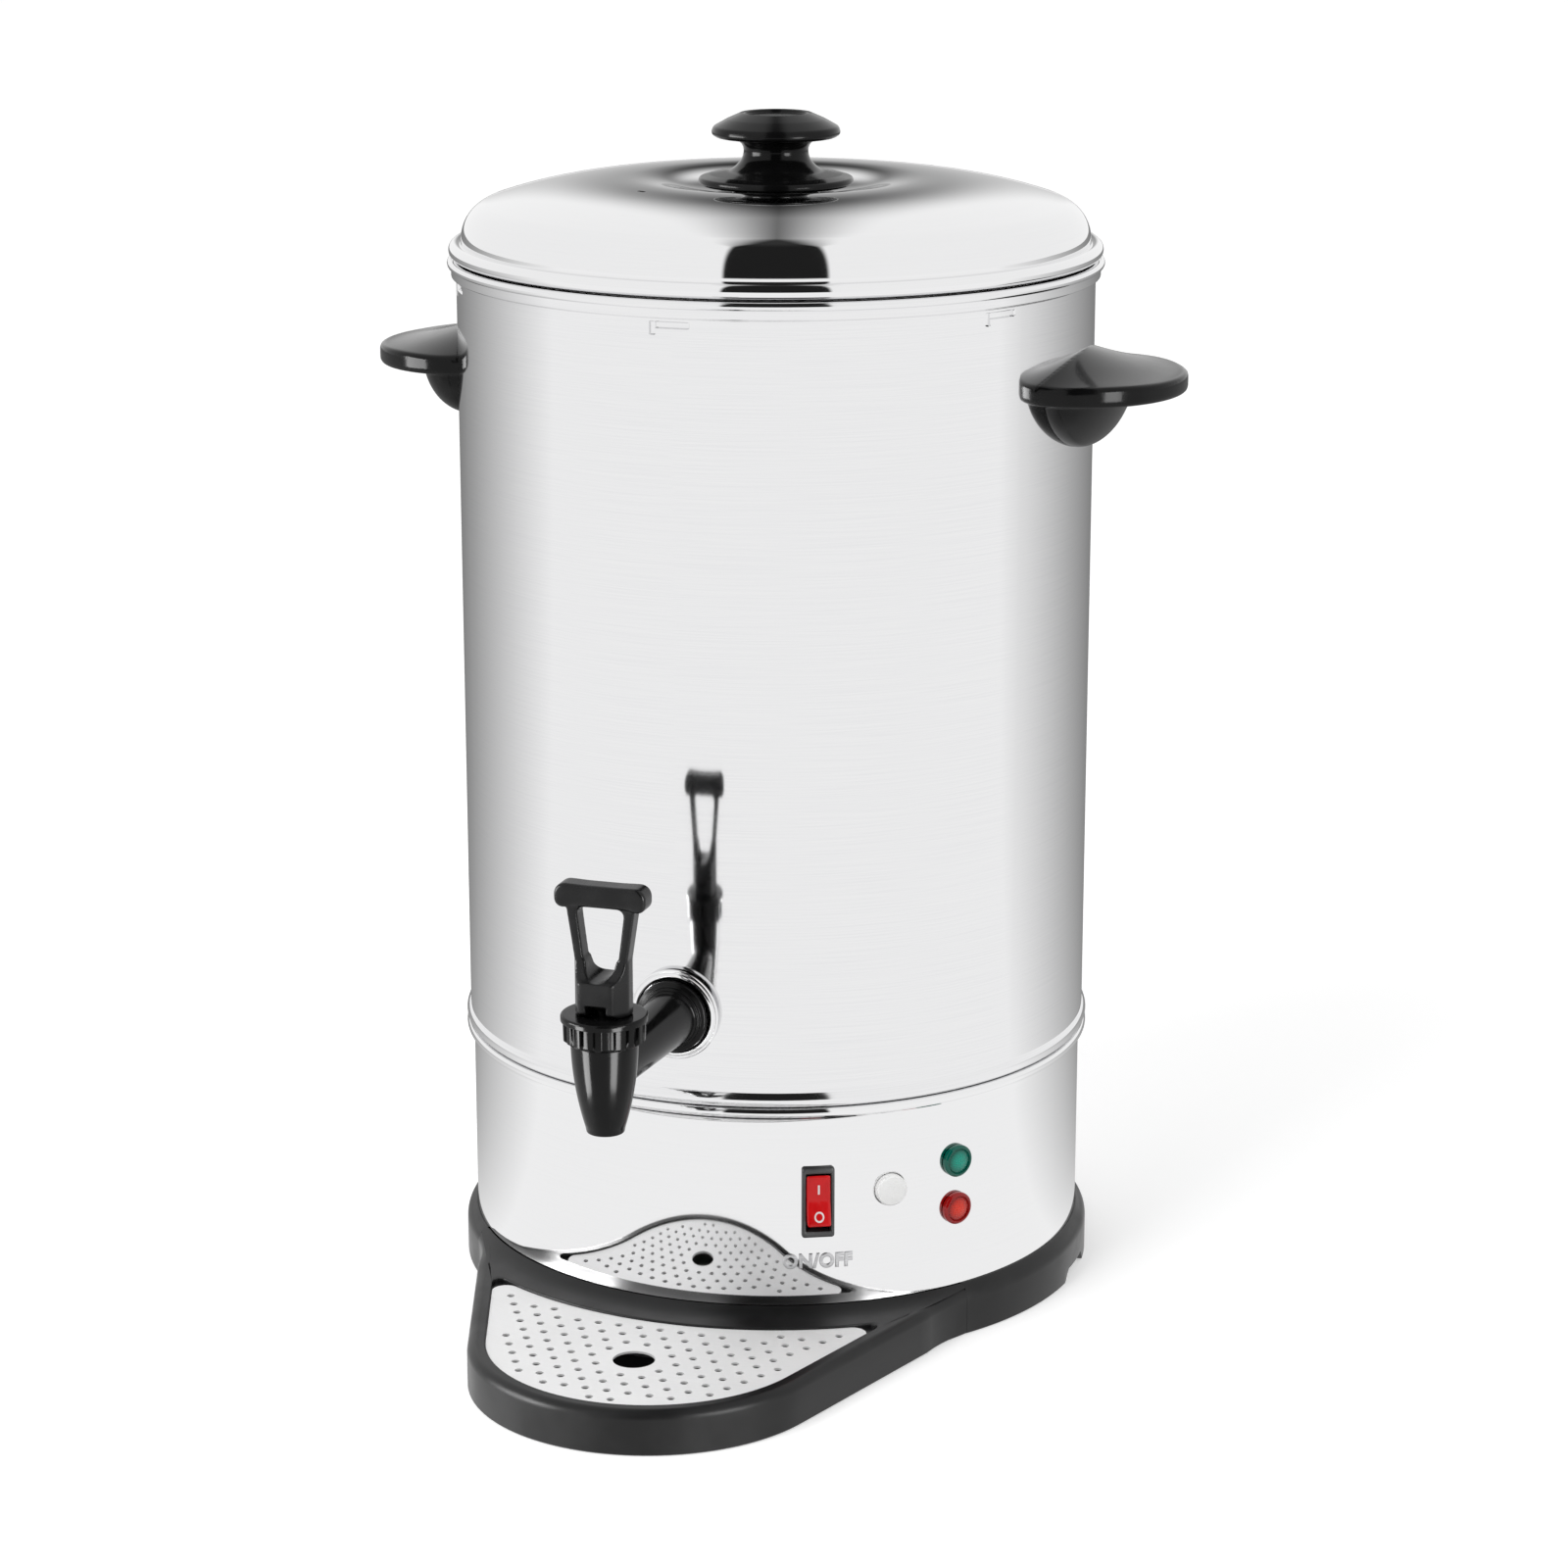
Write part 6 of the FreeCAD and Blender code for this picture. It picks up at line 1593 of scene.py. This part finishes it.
@dataclass
class DripTray:
    """The tray: wall, land that sweeps up to the skirt, the plate's seat, the well and the two tongues.

    Its loops are plans as (right, towards the user) and turned about when they are stood up. The counts are
    the steps in the back, the joint, the flare, the straight side and the nose of half a loop.
    """

    seam: float = 53.4
    hug: float = 139.2
    ring: float = 143.5
    nose: float = 79.0
    nose_centre: float = 174.7
    taper: float = 18.8
    flare_start: float = 112.0
    flare: float = 75.0
    rim: float = 7.7
    back: float = 157.0
    back_fillet: float = 6.0
    ledge: float = 2.6
    top: float = 19.4
    seat: float = 17.5
    floor: float = 3.0
    rounding: float = 4.0
    rise_foot: float = 12.0
    middle: Point = (0.0, 205.0)
    land_shares: tuple[float, ...] = (0.06, 0.2, 0.4, 0.6, 0.8, 0.94)
    tongue: tuple[float, float, float] = (5.0, 5.0, 0.8)
    tongue_x: float = 62.0
    tongue_inset: float = 2.5
    tongue_low: float = 7.0
    tongue_high: float = 11.0
    counts: tuple[int, int, int, int, int] = (36, 3, 9, 16, 26)

    def side_x(self, radius: float, forward: np.ndarray | float) -> np.ndarray | float:
        """Half width of the tapering side that touches a nose of a radius, at a distance before the axis."""
        lean = math.radians(self.taper)
        return radius * math.cos(lean) + (self.nose_centre + radius * math.sin(lean) - forward) * math.tan(lean)

    def nose_part(self, radius: float) -> np.ndarray:
        """The nose from where the side meets it to the middle of its front."""
        return arc((0, self.nose_centre), radius, self.taper, 90, self.counts[-1])

    def joint_way(self) -> np.ndarray:
        """The direction from the axis to the right joint with the base ring."""
        return np.array([math.sin(math.radians(self.seam)), math.cos(math.radians(self.seam))])

    def outer_half(self) -> np.ndarray:
        """The right half of the outline: round the skirt, out along the joint, a hollow flare, the side, the nose.

        Returns:
            Its points from the middle of the back to the middle of the front.
        """
        back, seam, flare, side, _ = self.counts
        turn = np.radians(np.linspace(0, self.seam, back + 1))
        hug = self.hug * points_of(np.sin(turn), np.cos(turn))
        corner = self.joint_way() * self.ring
        start = np.array([self.side_x(self.nose, self.flare_start), self.flare_start])
        rise = self.flare - math.sqrt(self.flare ** 2 - np.linalg.norm(start - corner) ** 2 / 4)
        nose = self.nose_part(self.nose)
        hollow = bow(tuple(corner), tuple(start), -rise, flare)[1:]
        return joined(hug, line(hug[-1], corner, seam), hollow, line(start, nose[0], side), nose[1:])

    def inner_half(self, inset: float) -> np.ndarray:
        """The right half of a loop inside the rim, with as many points in each part as the outline has.

        Args:
            inset: how far it lies inside the rim's own loop.

        Returns:
            Its points from the middle of the back to the middle of the front.
        """
        back, seam, flare, side, _ = self.counts
        radius, rear = self.nose - self.rim - inset, self.back + inset
        nose = self.nose_part(radius)
        forward = np.linspace(100, self.nose_centre, 4000)
        wide = self.side_x(radius, forward)
        crossing = int(np.argmin(np.abs(np.hypot(wide, forward) - rear)))
        corner = (wide[crossing], forward[crossing])
        turn = np.linspace(0, math.atan2(*corner), 60)
        rear_arc = rear * points_of(np.sin(turn), np.cos(turn))
        fillet = max(1.0, self.back_fillet - inset)
        path = rounded([tuple(rear_arc[-12]), (*corner, fillet), tuple(nose[0])], turn=5.0)
        half = len(path) // 2
        rearward = even(joined(rear_arc[:-12], path[:half]), back + 1, closed=False)
        sideward = even(path[half - 1:], seam + flare + side + 1, closed=False)
        return joined(rearward, sideward[1:], nose[1:])

    @staticmethod
    def mirrored(half: np.ndarray) -> np.ndarray:
        """The whole loop of a right half, anticlockwise."""
        return np.concatenate([half, half[-2:0:-1] * np.array([-1, 1])])

    def stood(self, loop: np.ndarray, height: float, swept: bool) -> np.ndarray:
        """A plan stood at a height, and swept up towards the skirt where it is part of the shell's upper half.

        Args:
            loop: the plan.
            height: its height.
            swept: whether the sweep reaches it.

        Returns:
            Its points.
        """
        share = np.clip((height - self.rise_foot) / (self.top - self.rise_foot), 0, 1) if swept else 0.0
        return points_of(loop[:, 0], -loop[:, 1], height + land_rise(np.hypot(loop[:, 0], loop[:, 1])) * share)

    def shell_rows(self, outer: np.ndarray, rim: np.ndarray, well: np.ndarray) -> list[tuple[np.ndarray, float]]:
        """Loops from the middle of the foot, up the wall, over the rounding and across the land to the rim.

        The rounding draws a point in by r (1 - cos t) and puts it r (1 - sin t) under the top. It leaves out
        the back, which fits the skirt, and the joint.

        Args:
            outer: outline.
            rim: inner edge of the land.
            well: wall of the well.

        Returns:
            Each loop with its height.
        """
        corner = self.counts[0] + self.counts[1]
        drawn = np.ones(len(outer) // 2 + 1)
        drawn[:corner] = 0.0
        drawn = np.concatenate([drawn, drawn[-2:0:-1]])[:, None]
        inward = -normals(outer)
        for number in (corner, len(outer) - corner):
            inward[number] = -self.joint_way() * (math.copysign(1, outer[number, 0]), 1)
        inward = inward * drawn
        rows = [(rim * 0 + self.middle, 0.0), (well, 0.0), (outer + inward * 0.5, 0.0), (outer, 0.5), (outer, 8.0)]
        for turn in np.radians(np.linspace(0, 90, 8)):
            fall = self.rounding * (1 - math.sin(turn))
            rows.append((outer + inward * self.rounding * (1 - math.cos(turn)), self.top - fall))
        inset, outward = rows[-1][0], normals(rim)
        rows += [(inset + (rim - inset) * share, self.top) for share in self.land_shares]
        return rows + [
            (rim + outward * 0.35, self.top), (rim + outward * 0.1, self.top - 0.1), (rim, self.top - 0.35),
        ]

    def well_rows(self, rim: np.ndarray, well: np.ndarray) -> list[tuple[np.ndarray, float]]:
        """Loops from the plate's seat down the wall of the well to the middle of its floor."""
        return [
            (rim, self.seat), (well, self.seat), (well, self.floor + 2.5),
            (well * 0.997 + np.array([0, 0.6]), self.floor + 0.7), (well * 0.985 + np.array([0, 3.0]), self.floor),
            (rim * 0 + self.middle, self.floor),
        ]

    def build(self) -> None:
        """The shell and the well as one closed grid of loops, and the tongues that go into the ring's sockets."""
        outer = self.mirrored(self.outer_half())
        rim, well = (self.mirrored(self.inner_half(inset)) for inset in (0.0, self.ledge))
        rows = [self.stood(loop, height, True) for loop, height in self.shell_rows(outer, rim, well)]
        rows += [self.stood(loop, height, False) for loop, height in self.well_rows(rim, well)]
        skin = Skin().grid(np.stack(rows))
        tongue_y = self.tongue_inset - math.sqrt(self.hug ** 2 - self.tongue_x ** 2)
        for side in (-1, 1):
            tongue = box_loop(*self.tongue) + np.array([side * self.tongue_x, tongue_y])
            skin.grid(pad(tongue, self.tongue_low, self.tongue_high, 0.5))
        dress(skin.build("tray_form", sharp=30), Fit(Body.TRAY, Slot.BLACK_SATIN, BLACK_SATIN), "drip_tray")


@dataclass
class Controls:
    """What is on the skirt: rocker switch, reboil button, two lamps and the raised ON/OFF.

    The frame's rows are (half width, half height, fillet, out), and the rocker is made about its pivot.
    """

    skirt: float = 138.6
    switch: Seat = Seat(25.1, 69.9, 138.62)
    button: Seat = Seat(38.5, 72.8, 138.6)
    frame_rows: tuple[tuple[float, float, float, float], ...] = (
        (0.05, 0.05, 0.01, -18.0), (6.2, 14.2, 0.6, -18.0), (6.2, 14.2, 0.6, 0.0), (7.1, 16.0, 1.3, 0.0),
        (7.1, 16.0, 1.3, 1.1), (6.9, 15.8, 1.2, 1.6), (6.6, 15.5, 1.0, 1.8), (5.8, 13.55, 0.6, 1.8),
        (5.55, 13.25, 0.5, 1.65), (5.45, 13.15, 0.5, 1.2), (5.4, 13.1, 0.5, -14.0), (0.05, 0.05, 0.01, -14.0),
    )
    pivot: float = 8.0
    tilt: float = 7.5
    rocker_half: float = 5.1
    rocker_end: float = 11.22
    rocker_high: float = 11.3
    rocker_foot: float = 0.55
    fold_rise: float = 1.3
    fold_soft: float = 0.004
    fold_level: float = 0.063
    pin: Corners = ((0.0, -6.0), (1.4, -6.0, 0.2), (1.4, 6.0, 0.2), (0.0, 6.0))
    mark_low: float = -0.25
    mark_high: float = 0.05
    mark_fillet: float = 0.03
    mark_width: float = 0.9
    stroke: tuple[float, float, float] = (0.42, 2.1, 0.15)
    on_at: float = 5.0
    off_at: float = -7.0
    off_radii: tuple[float, float] = (1.6, 2.4)
    button_profile: Corners = (
        (0.0, -12.0), (2.5, -12.0), (2.5, -4.0), (7.0, -4.0), (7.0, 3.0, 1.1), (4.0, 3.25, 8.0), (0.0, 3.4),
    )
    lamp_azimuth: float = 52.0
    lamp_rim: Corners = (
        (0.0, 0.25), (7.2, 0.25), (7.2, 2.1, 0.7), (6.3, 2.9, 0.5), (5.7, 2.9, 0.3), (5.45, 2.2, 0.1), (5.4, 2.15),
    )
    dome_radius: float = 5.3
    dome_low: float = 2.2
    dome_rise: float = 1.35
    prism_pace: float = 2.9
    prism_depth: float = 0.16
    green_height: float = 80.5
    red_height: float = 58.6
    words_height: float = 42.4
    words_size: float = 8.6
    words_width: float = 0.93
    words_edge: float = 0.3

    def tilted(self, points: np.ndarray) -> np.ndarray:
        """Rocker points about its pivot turned so that the upper end goes in, and stood in the switch.

        Args:
            points: (across, up, out) about the pivot.

        Returns:
            The points about the axis of the urn.
        """
        turn = math.radians(self.tilt)
        up = points[..., 1] * math.cos(turn) + points[..., 2] * math.sin(turn)
        out = points[..., 2] * math.cos(turn) - points[..., 1] * math.sin(turn) - self.pivot
        return self.switch.place(points_of(points[..., 0], up, out))

    def face(self, up: np.ndarray) -> np.ndarray:
        """Height of the rocker's face over its pivot: a V with a soft fold, rise (sqrt(u^2 + soft) - level)."""
        fold = np.sqrt((up / self.rocker_end) ** 2 + self.fold_soft) - self.fold_level
        return self.rocker_high + self.fold_rise * fold

    def build_frame(self) -> None:
        """The switch's frame with its opening and case: rounded rectangles carried out and in again."""
        rows = [at_height(box_loop(wide, tall, fillet), out) for wide, tall, fillet, out in self.frame_rows]
        skin = Skin().grid(self.switch.place(np.stack(rows)))
        dress(skin.build("switch_frame"), Fit(Body.URN, Slot.BLACK_GLOSS, BLACK_CASE), "rocker_housing")

    def build_rocker(self) -> None:
        """The rocker: a slab that narrows inwards, its face bent to the V, and the pin that it turns on."""
        form = pad(even(box_loop(self.rocker_half, self.rocker_end, 0.9), 144), 0.0, self.rocker_high, 0.7)
        high = form[..., 2] > self.rocker_high / 2
        form[..., 2] += np.where(high, self.face(form[..., 1]) - self.rocker_high, 0)
        form[..., 1] *= np.where(high, 1.0, self.rocker_foot)
        pin = revolved(rounded(self.pin), whole_turn(15.0))[..., [2, 0, 1]]
        skin = Skin().grid(self.tilted(form)).grid(self.tilted(pin), round_rows=True)
        dress(skin.build("switch_rocker"), Fit(Body.ROCKER, Slot.RED_PLASTIC, RED_PLASTIC), "rocker")

    def build_marks(self) -> None:
        """The I and the O, raised a little from the rocker's face and bent with it."""
        turn = np.radians(whole_turn(7.5))
        inner, outer = (
            points_of(self.mark_width * radius * np.cos(turn), radius * np.sin(turn) + self.off_at)
            for radius in self.off_radii
        )
        faces = (self.mark_low, self.mark_high, self.mark_fillet)
        stroke = pad(box_loop(*self.stroke, 40) + np.array([0, self.on_at]), *faces)
        skin = Skin()
        for grid, round_rows in ((stroke, False), (band(inner, outer, *faces), True)):
            grid[..., 2] += self.face(grid[..., 1])
            skin.grid(self.tilted(grid), round_rows=round_rows)
        dress(skin.build("switch_marks"), Fit(Body.ROCKER, Slot.WHITE_PLASTIC, MARK_PAINT))

    def build_button(self) -> None:
        """The round button, domed, on its post."""
        skin = Skin().lathe(rounded(self.button_profile), 4.0, self.button.facing_out)
        dress(skin.build("button_form"), Fit(Body.BUTTON, Slot.WHITE_PLASTIC, WHITE_PLASTIC), "reboil_button")

    def build_lamps(self) -> None:
        """Each lens has a plain rim and a dome cut into small prisms, |sin| of the place across plus |sin| along."""
        edge = self.dome_radius + 0.1
        radius = np.linspace(self.dome_radius, 0.0, 16)
        dome = points_of(radius, self.dome_low + self.dome_rise * (1 - (radius / edge) ** 2))
        points = revolved(joined(rounded(self.lamp_rim), dome), whole_turn(3.0))
        across, up, out = np.moveaxis(points, -1, 0)
        inside = soft_step(self.dome_radius - np.hypot(across, up), 0.0, 0.5) * (out > 2)
        prisms = np.abs(np.sin(across * self.prism_pace)) + np.abs(np.sin(up * self.prism_pace)) - 1.2
        points[..., 2] += self.prism_depth * prisms * inside
        for name, node, height, slot, finish in (
            ("lamp_green", "green_lens", self.green_height, Slot.GREEN_LENS, GREEN_LENS),
            ("lamp_red", "red_lens", self.red_height, Slot.RED_LENS, RED_LENS),
        ):
            seat = Seat(self.lamp_azimuth, height, self.skirt)
            skin = Skin().grid(seat.facing_out(points), round_rows=True)
            dress(skin.build(name, sharp=25), Fit(Body.URN, slot, finish), node)

    def build_words(self) -> None:
        """ON/OFF raised on the skirt under the switch: a text made a mesh, with its points bent round the wall."""
        words = bpy.data.curves.new("switch_words_curve", "FONT")
        words.body, words.size = "ON/OFF", self.words_size
        words.align_x, words.align_y = "CENTER", "CENTER"
        words.space_character, words.resolution_u = 1.06, 6
        words.extrude, words.bevel_depth, words.bevel_resolution = self.words_edge, self.words_edge, 2
        words.offset = 0.1
        piece = applied(new_object("switch_words_text", words), "switch_words")
        bpy.data.curves.remove(words)
        mesh = piece.data
        flat = np.empty(len(mesh.vertices) * 3)
        mesh.vertices.foreach_get("co", flat)
        seat = Seat(self.switch.azimuth, self.words_height, self.skirt)
        local = flat.reshape(-1, 3) * np.array([self.words_width, 1.0, 1.0]) + np.array([0, 0, 0.05])
        mesh.vertices.foreach_set("co", (seat.wrap(local) * MM).ravel())
        mesh.update()
        mesh.set_sharp_from_angle(angle=math.radians(40))
        dress(piece, Fit(Body.URN, Slot.POLISHED_STEEL, SATIN_STEEL))

    def build(self) -> None:
        """All the controls."""
        self.build_frame()
        self.build_rocker()
        self.build_marks()
        self.build_button()
        self.build_lamps()
        self.build_words()


# Finishes of the CAD nodes that keep their shape

CARRIED = {
    SATIN_STEEL: ("lid_lock_ring", "handle_bolts", "plate_screws", "tie_rod", "tie_nut", "bottom_plate"),
    PLATE_STEEL: ("drip_plate",),
    MIRROR_STEEL: ("knob_screw", "lever_pin"),
    BLACK_GLOSS: ("valve_stem",),
    BLACK_SATIN: ("tap_nut", "cord_gland"),
    WHITE_PLASTIC: ("reboil_switch", "terminal_block", "green_lamp_body", "red_lamp_body"),
    SILICONE: ("seat_cup", "tap_outer_seal", "tap_inner_seal"),
    RUBBER: ("rubber_pads",),
    CAST_ALUMINIUM: ("heat_spreader", "boil_thermostat", "warm_thermostat", "dry_cutout"),
    ELEMENT_STEEL: ("boil_element", "warm_element"),
}


def dress_carried() -> None:
    """Give each CAD node that stays its material, in all its slots."""
    for finish, nodes in CARRIED.items():
        material = finish.material()
        for node in nodes:
            mesh = frame["nodes"][node].data
            if not mesh.materials:
                mesh.materials.append(material)
            for number in range(len(mesh.materials)):
                mesh.materials[number] = material
            LOG.info("%s keeps its CAD shape, in %s", node, finish.name)


# Stage

@dataclass
class Studio:
    """Camera, floor, surroundings and lamps. Lengths are metres; turn is the camera's azimuth.

    Each edge of the tent is a slope and a level, and what is soft or graded has its value at both ends.
    """

    camera_at: Spot = (0.5476, -1.7147, 0.7058)
    pitch: float = 15.129
    turn: float = 17.6
    lens: float = 94.365
    tent_level: float = 0.98
    front_edge: Point = (0.18, 0.15)
    back_edge: Point = (-0.17, 0.125)
    back_least: float = 0.035
    edge_soft: Point = (0.065, 0.015)
    back_glow: Point = (0.6, 0.02)
    back_glow_top: float = 0.36
    dark_level: float = 0.015
    horizon: float = -0.05
    floor_half: float = 8.0
    floor_height: float = -0.0002
    floor_back: float = 0.2
    floor_front: float = 1.0
    floor_glow: float = 0.42
    floor_white: float = 0.75

    def towards(self) -> np.ndarray:
        """The level direction from the object to the camera."""
        turn = math.radians(self.turn)
        return np.array([math.sin(turn), -math.cos(turn), 0])

    def rightwards(self) -> np.ndarray:
        """The level direction to the camera's right."""
        turn = math.radians(self.turn)
        return np.array([math.cos(turn), math.sin(turn), 0])

    def set_camera(self) -> None:
        """The camera at the photograph's place."""
        data = bpy.data.cameras.new("camera")
        data.lens, data.sensor_width, data.sensor_fit = self.lens, 36.0, "HORIZONTAL"
        data.clip_start, data.clip_end = 0.05, 60.0
        camera = new_object("camera", data)
        camera.location = self.camera_at
        camera.rotation_euler = (math.radians(90 - self.pitch), 0.0, math.radians(self.turn))
        bpy.context.scene.camera = camera

    def set_world(self) -> None:
        """White to the camera; to everything else a light tent, open in front of the camera and narrowly behind.

        With front, side and up as the parts of a direction, the tent is open where side is below
        0.18 front + 0.15, and behind the object where it is below 0.125 - 0.17 up, which is 0.035 at least.
        In the opening is the dark level, and behind the object a glow that fades upwards.
        """
        world = bpy.data.worlds.new("studio")
        world.use_nodes = True
        bpy.context.scene.world = world
        nodes = Nodes(world.node_tree)
        place = nodes.add("TexCoord").outputs["Generated"]
        front, right = nodes.along(place, self.towards()), nodes.along(place, self.rightwards())
        up = nodes.add("SeparateXYZ", {0: place}).outputs[2]
        side = nodes.math("ABSOLUTE", right)
        front_edge = nodes.math("MULTIPLY_ADD", front, *self.front_edge)
        back_edge = nodes.larger(nodes.math("MULTIPLY_ADD", up, *self.back_edge), self.back_least)
        edge = nodes.larger(front_edge, nodes.times(back_edge, nodes.math("LESS_THAN", front, 0.0)))
        soft = nodes.spread(front, -0.25, 0.0, *self.edge_soft)
        gap = nodes.spread(nodes.math("DIVIDE", nodes.minus(side, edge), soft), -1.0, 1.0, 1.0, 0.0)
        gap = nodes.times(gap, nodes.spread(up, self.horizon, 0.0))
        glow = nodes.spread(up, self.horizon, self.back_glow_top, *self.back_glow)
        inside = nodes.plus(nodes.times(glow, nodes.spread(front, -0.3, 0.0, 1.0, 0.0)), self.dark_level)
        level = nodes.plus(nodes.times(gap, inside), nodes.times(nodes.minus(1.0, gap), self.tent_level))
        seen = nodes.add("LightPath").outputs["Is Camera Ray"]
        strength = nodes.plus(nodes.times(level, nodes.minus(1.0, seen)), seen)
        nodes.feed(world.node_tree.nodes["Background"], {"Color": (1, 1, 1, 1), "Strength": strength})

    def floor_material(self) -> bpy.types.Material:
        """White to the camera, and to reflections white in front of the object and darker behind it.

        Returns:
            The material.
        """
        material = bpy.data.materials.new("floor_white")
        material.use_nodes = True
        nodes = Nodes(material.node_tree)
        rays = nodes.add("LightPath").outputs
        mirrored = nodes.larger(rays["Is Glossy Ray"], rays["Is Transmission Ray"])
        place = nodes.add("TexCoord").outputs["Object"]
        ahead = nodes.along(nodes.add("VectorMath", {0: place}, operation="NORMALIZE").outputs[0], self.towards())
        tone = nodes.spread(ahead, -1.0, 0.1, self.floor_back, self.floor_front, kind="LINEAR")
        glow = nodes.plus(nodes.times(mirrored, tone), nodes.times(rays["Is Camera Ray"], self.floor_glow))
        nodes.feed(material.node_tree.nodes["Principled BSDF"], {
            "Base Color": nodes.mix(mirrored, (self.floor_white,) * 3, (0, 0, 0)),
            "Roughness": 1.0, "Specular IOR Level": 0.0,
            "Emission Color": (1, 1, 1, 1), "Emission Strength": glow,
        })
        return material

    def set_floor(self) -> None:
        """A white floor with the object's soft shadow."""
        corners = [(x * self.floor_half, y * self.floor_half, self.floor_height) for x, y in (
            (-1, -1), (1, -1), (1, 1), (-1, 1),
        )]
        mesh = bpy.data.meshes.new("floor")
        mesh.from_pydata(corners, [], [(0, 1, 2, 3)])
        mesh.materials.append(self.floor_material())
        floor = new_object("floor", mesh)

    def lamp(self, name: str, place: Spot, aim: Spot, size: tuple[float, float], radiance: float) -> bpy.types.Object:
        """A soft rectangular lamp whose face has a plain radiance.

        Args:
            name: name of the lamp.
            place: where it is, as right, towards the camera, and up, in metres.
            aim: what it faces, in the same way.
            size: width and height.
            radiance: brightness of its face, where white paper in the light is about 1.

        Returns:
            The lamp.
        """
        data = bpy.data.lights.new(name, "AREA")
        data.shape, data.size, data.size_y = "RECTANGLE", size[0], size[1]
        data.energy = radiance * math.pi * size[0] * size[1]
        stand, goal = (
            self.rightwards() * right + self.towards() * near + np.array([0, 0, up])
            for right, near, up in (place, aim)
        )
        lamp = new_object(name, data)
        lamp.location = tuple(stand)
        lamp.rotation_euler = direction_angles(goal - stand)
        lamp.visible_camera = False
        return lamp

    def set_lamps(self) -> None:
        """A large soft lamp that steel doesn't mirror, and upright strips that light only black mouldings.

        Two stand far off for all of them, and two near the tap, over the floor, for its spout and its cap.
        """
        softbox = self.lamp("softbox", (-1.2, 1.3, 1.9), (0.0, 0.0, 0.25), (1.2, 1.2), 7.0)
        softbox.visible_glossy = False
        black = bpy.data.collections.new("black_mouldings")
        for piece in bpy.data.objects:
            if piece.type == "MESH" and any(slot.name.startswith("black_") for slot in piece.material_slots):
                black.objects.link(piece)
        spout = bpy.data.collections.new("tap_mouldings")
        for name in ("tap_spout", "tap_cap"):
            spout.objects.link(bpy.data.objects[name])
        for name, place, aim, size, radiance, lit in (
            ("strip_left", (-1.55, 0.41, -0.35), (0.0, 0.0), (0.9, 2.3), 15.0, black),
            ("strip_right", (1.16, 1.38, -0.35), (0.0, 0.0), (0.6, 2.3), 12.0, black),
            ("tap_strip_left", (-0.267, 0.315, 0.0745), (-0.069, 0.218), (0.09, 0.141), 22.0, spout),
            ("tap_strip_right", (0.054, 0.400, 0.0745), (-0.069, 0.218), (0.09, 0.141), 20.0, spout),
        ):
            strip = self.lamp(name, place, (*aim, place[2]), size, radiance)
            strip.visible_diffuse = False
            strip.light_linking.receiver_collection = lit
            if lit is black:
                strip.light_linking.blocker_collection = black

    def build(self) -> None:
        """Everything that isn't the object, and the view's settings."""
        self.set_camera()
        self.set_world()
        self.set_floor()
        self.set_lamps()
        bpy.context.scene.view_settings.view_transform = "Standard"


def direction_angles(direction: np.ndarray) -> tuple[float, float, float]:
    """The rotation that turns a lamp's -Z along a direction."""
    flat = math.hypot(direction[0], direction[1])
    return (math.atan2(flat, -direction[2]), 0.0, math.atan2(-direction[0], direction[1]))


def main() -> None:
    """Build every piece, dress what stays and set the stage."""
    logging.basicConfig(level=logging.INFO, format="%(name)s %(message)s")
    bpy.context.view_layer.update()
    for part in (Tank(), Skirt(), Lid(), Knob(), Grips(), Tap(), BaseRing(), DripTray(), Controls()):
        part.build()
    dress_carried()
    Studio().build()
    bpy.context.view_layer.update()


if __name__ == "__main__":
    main()
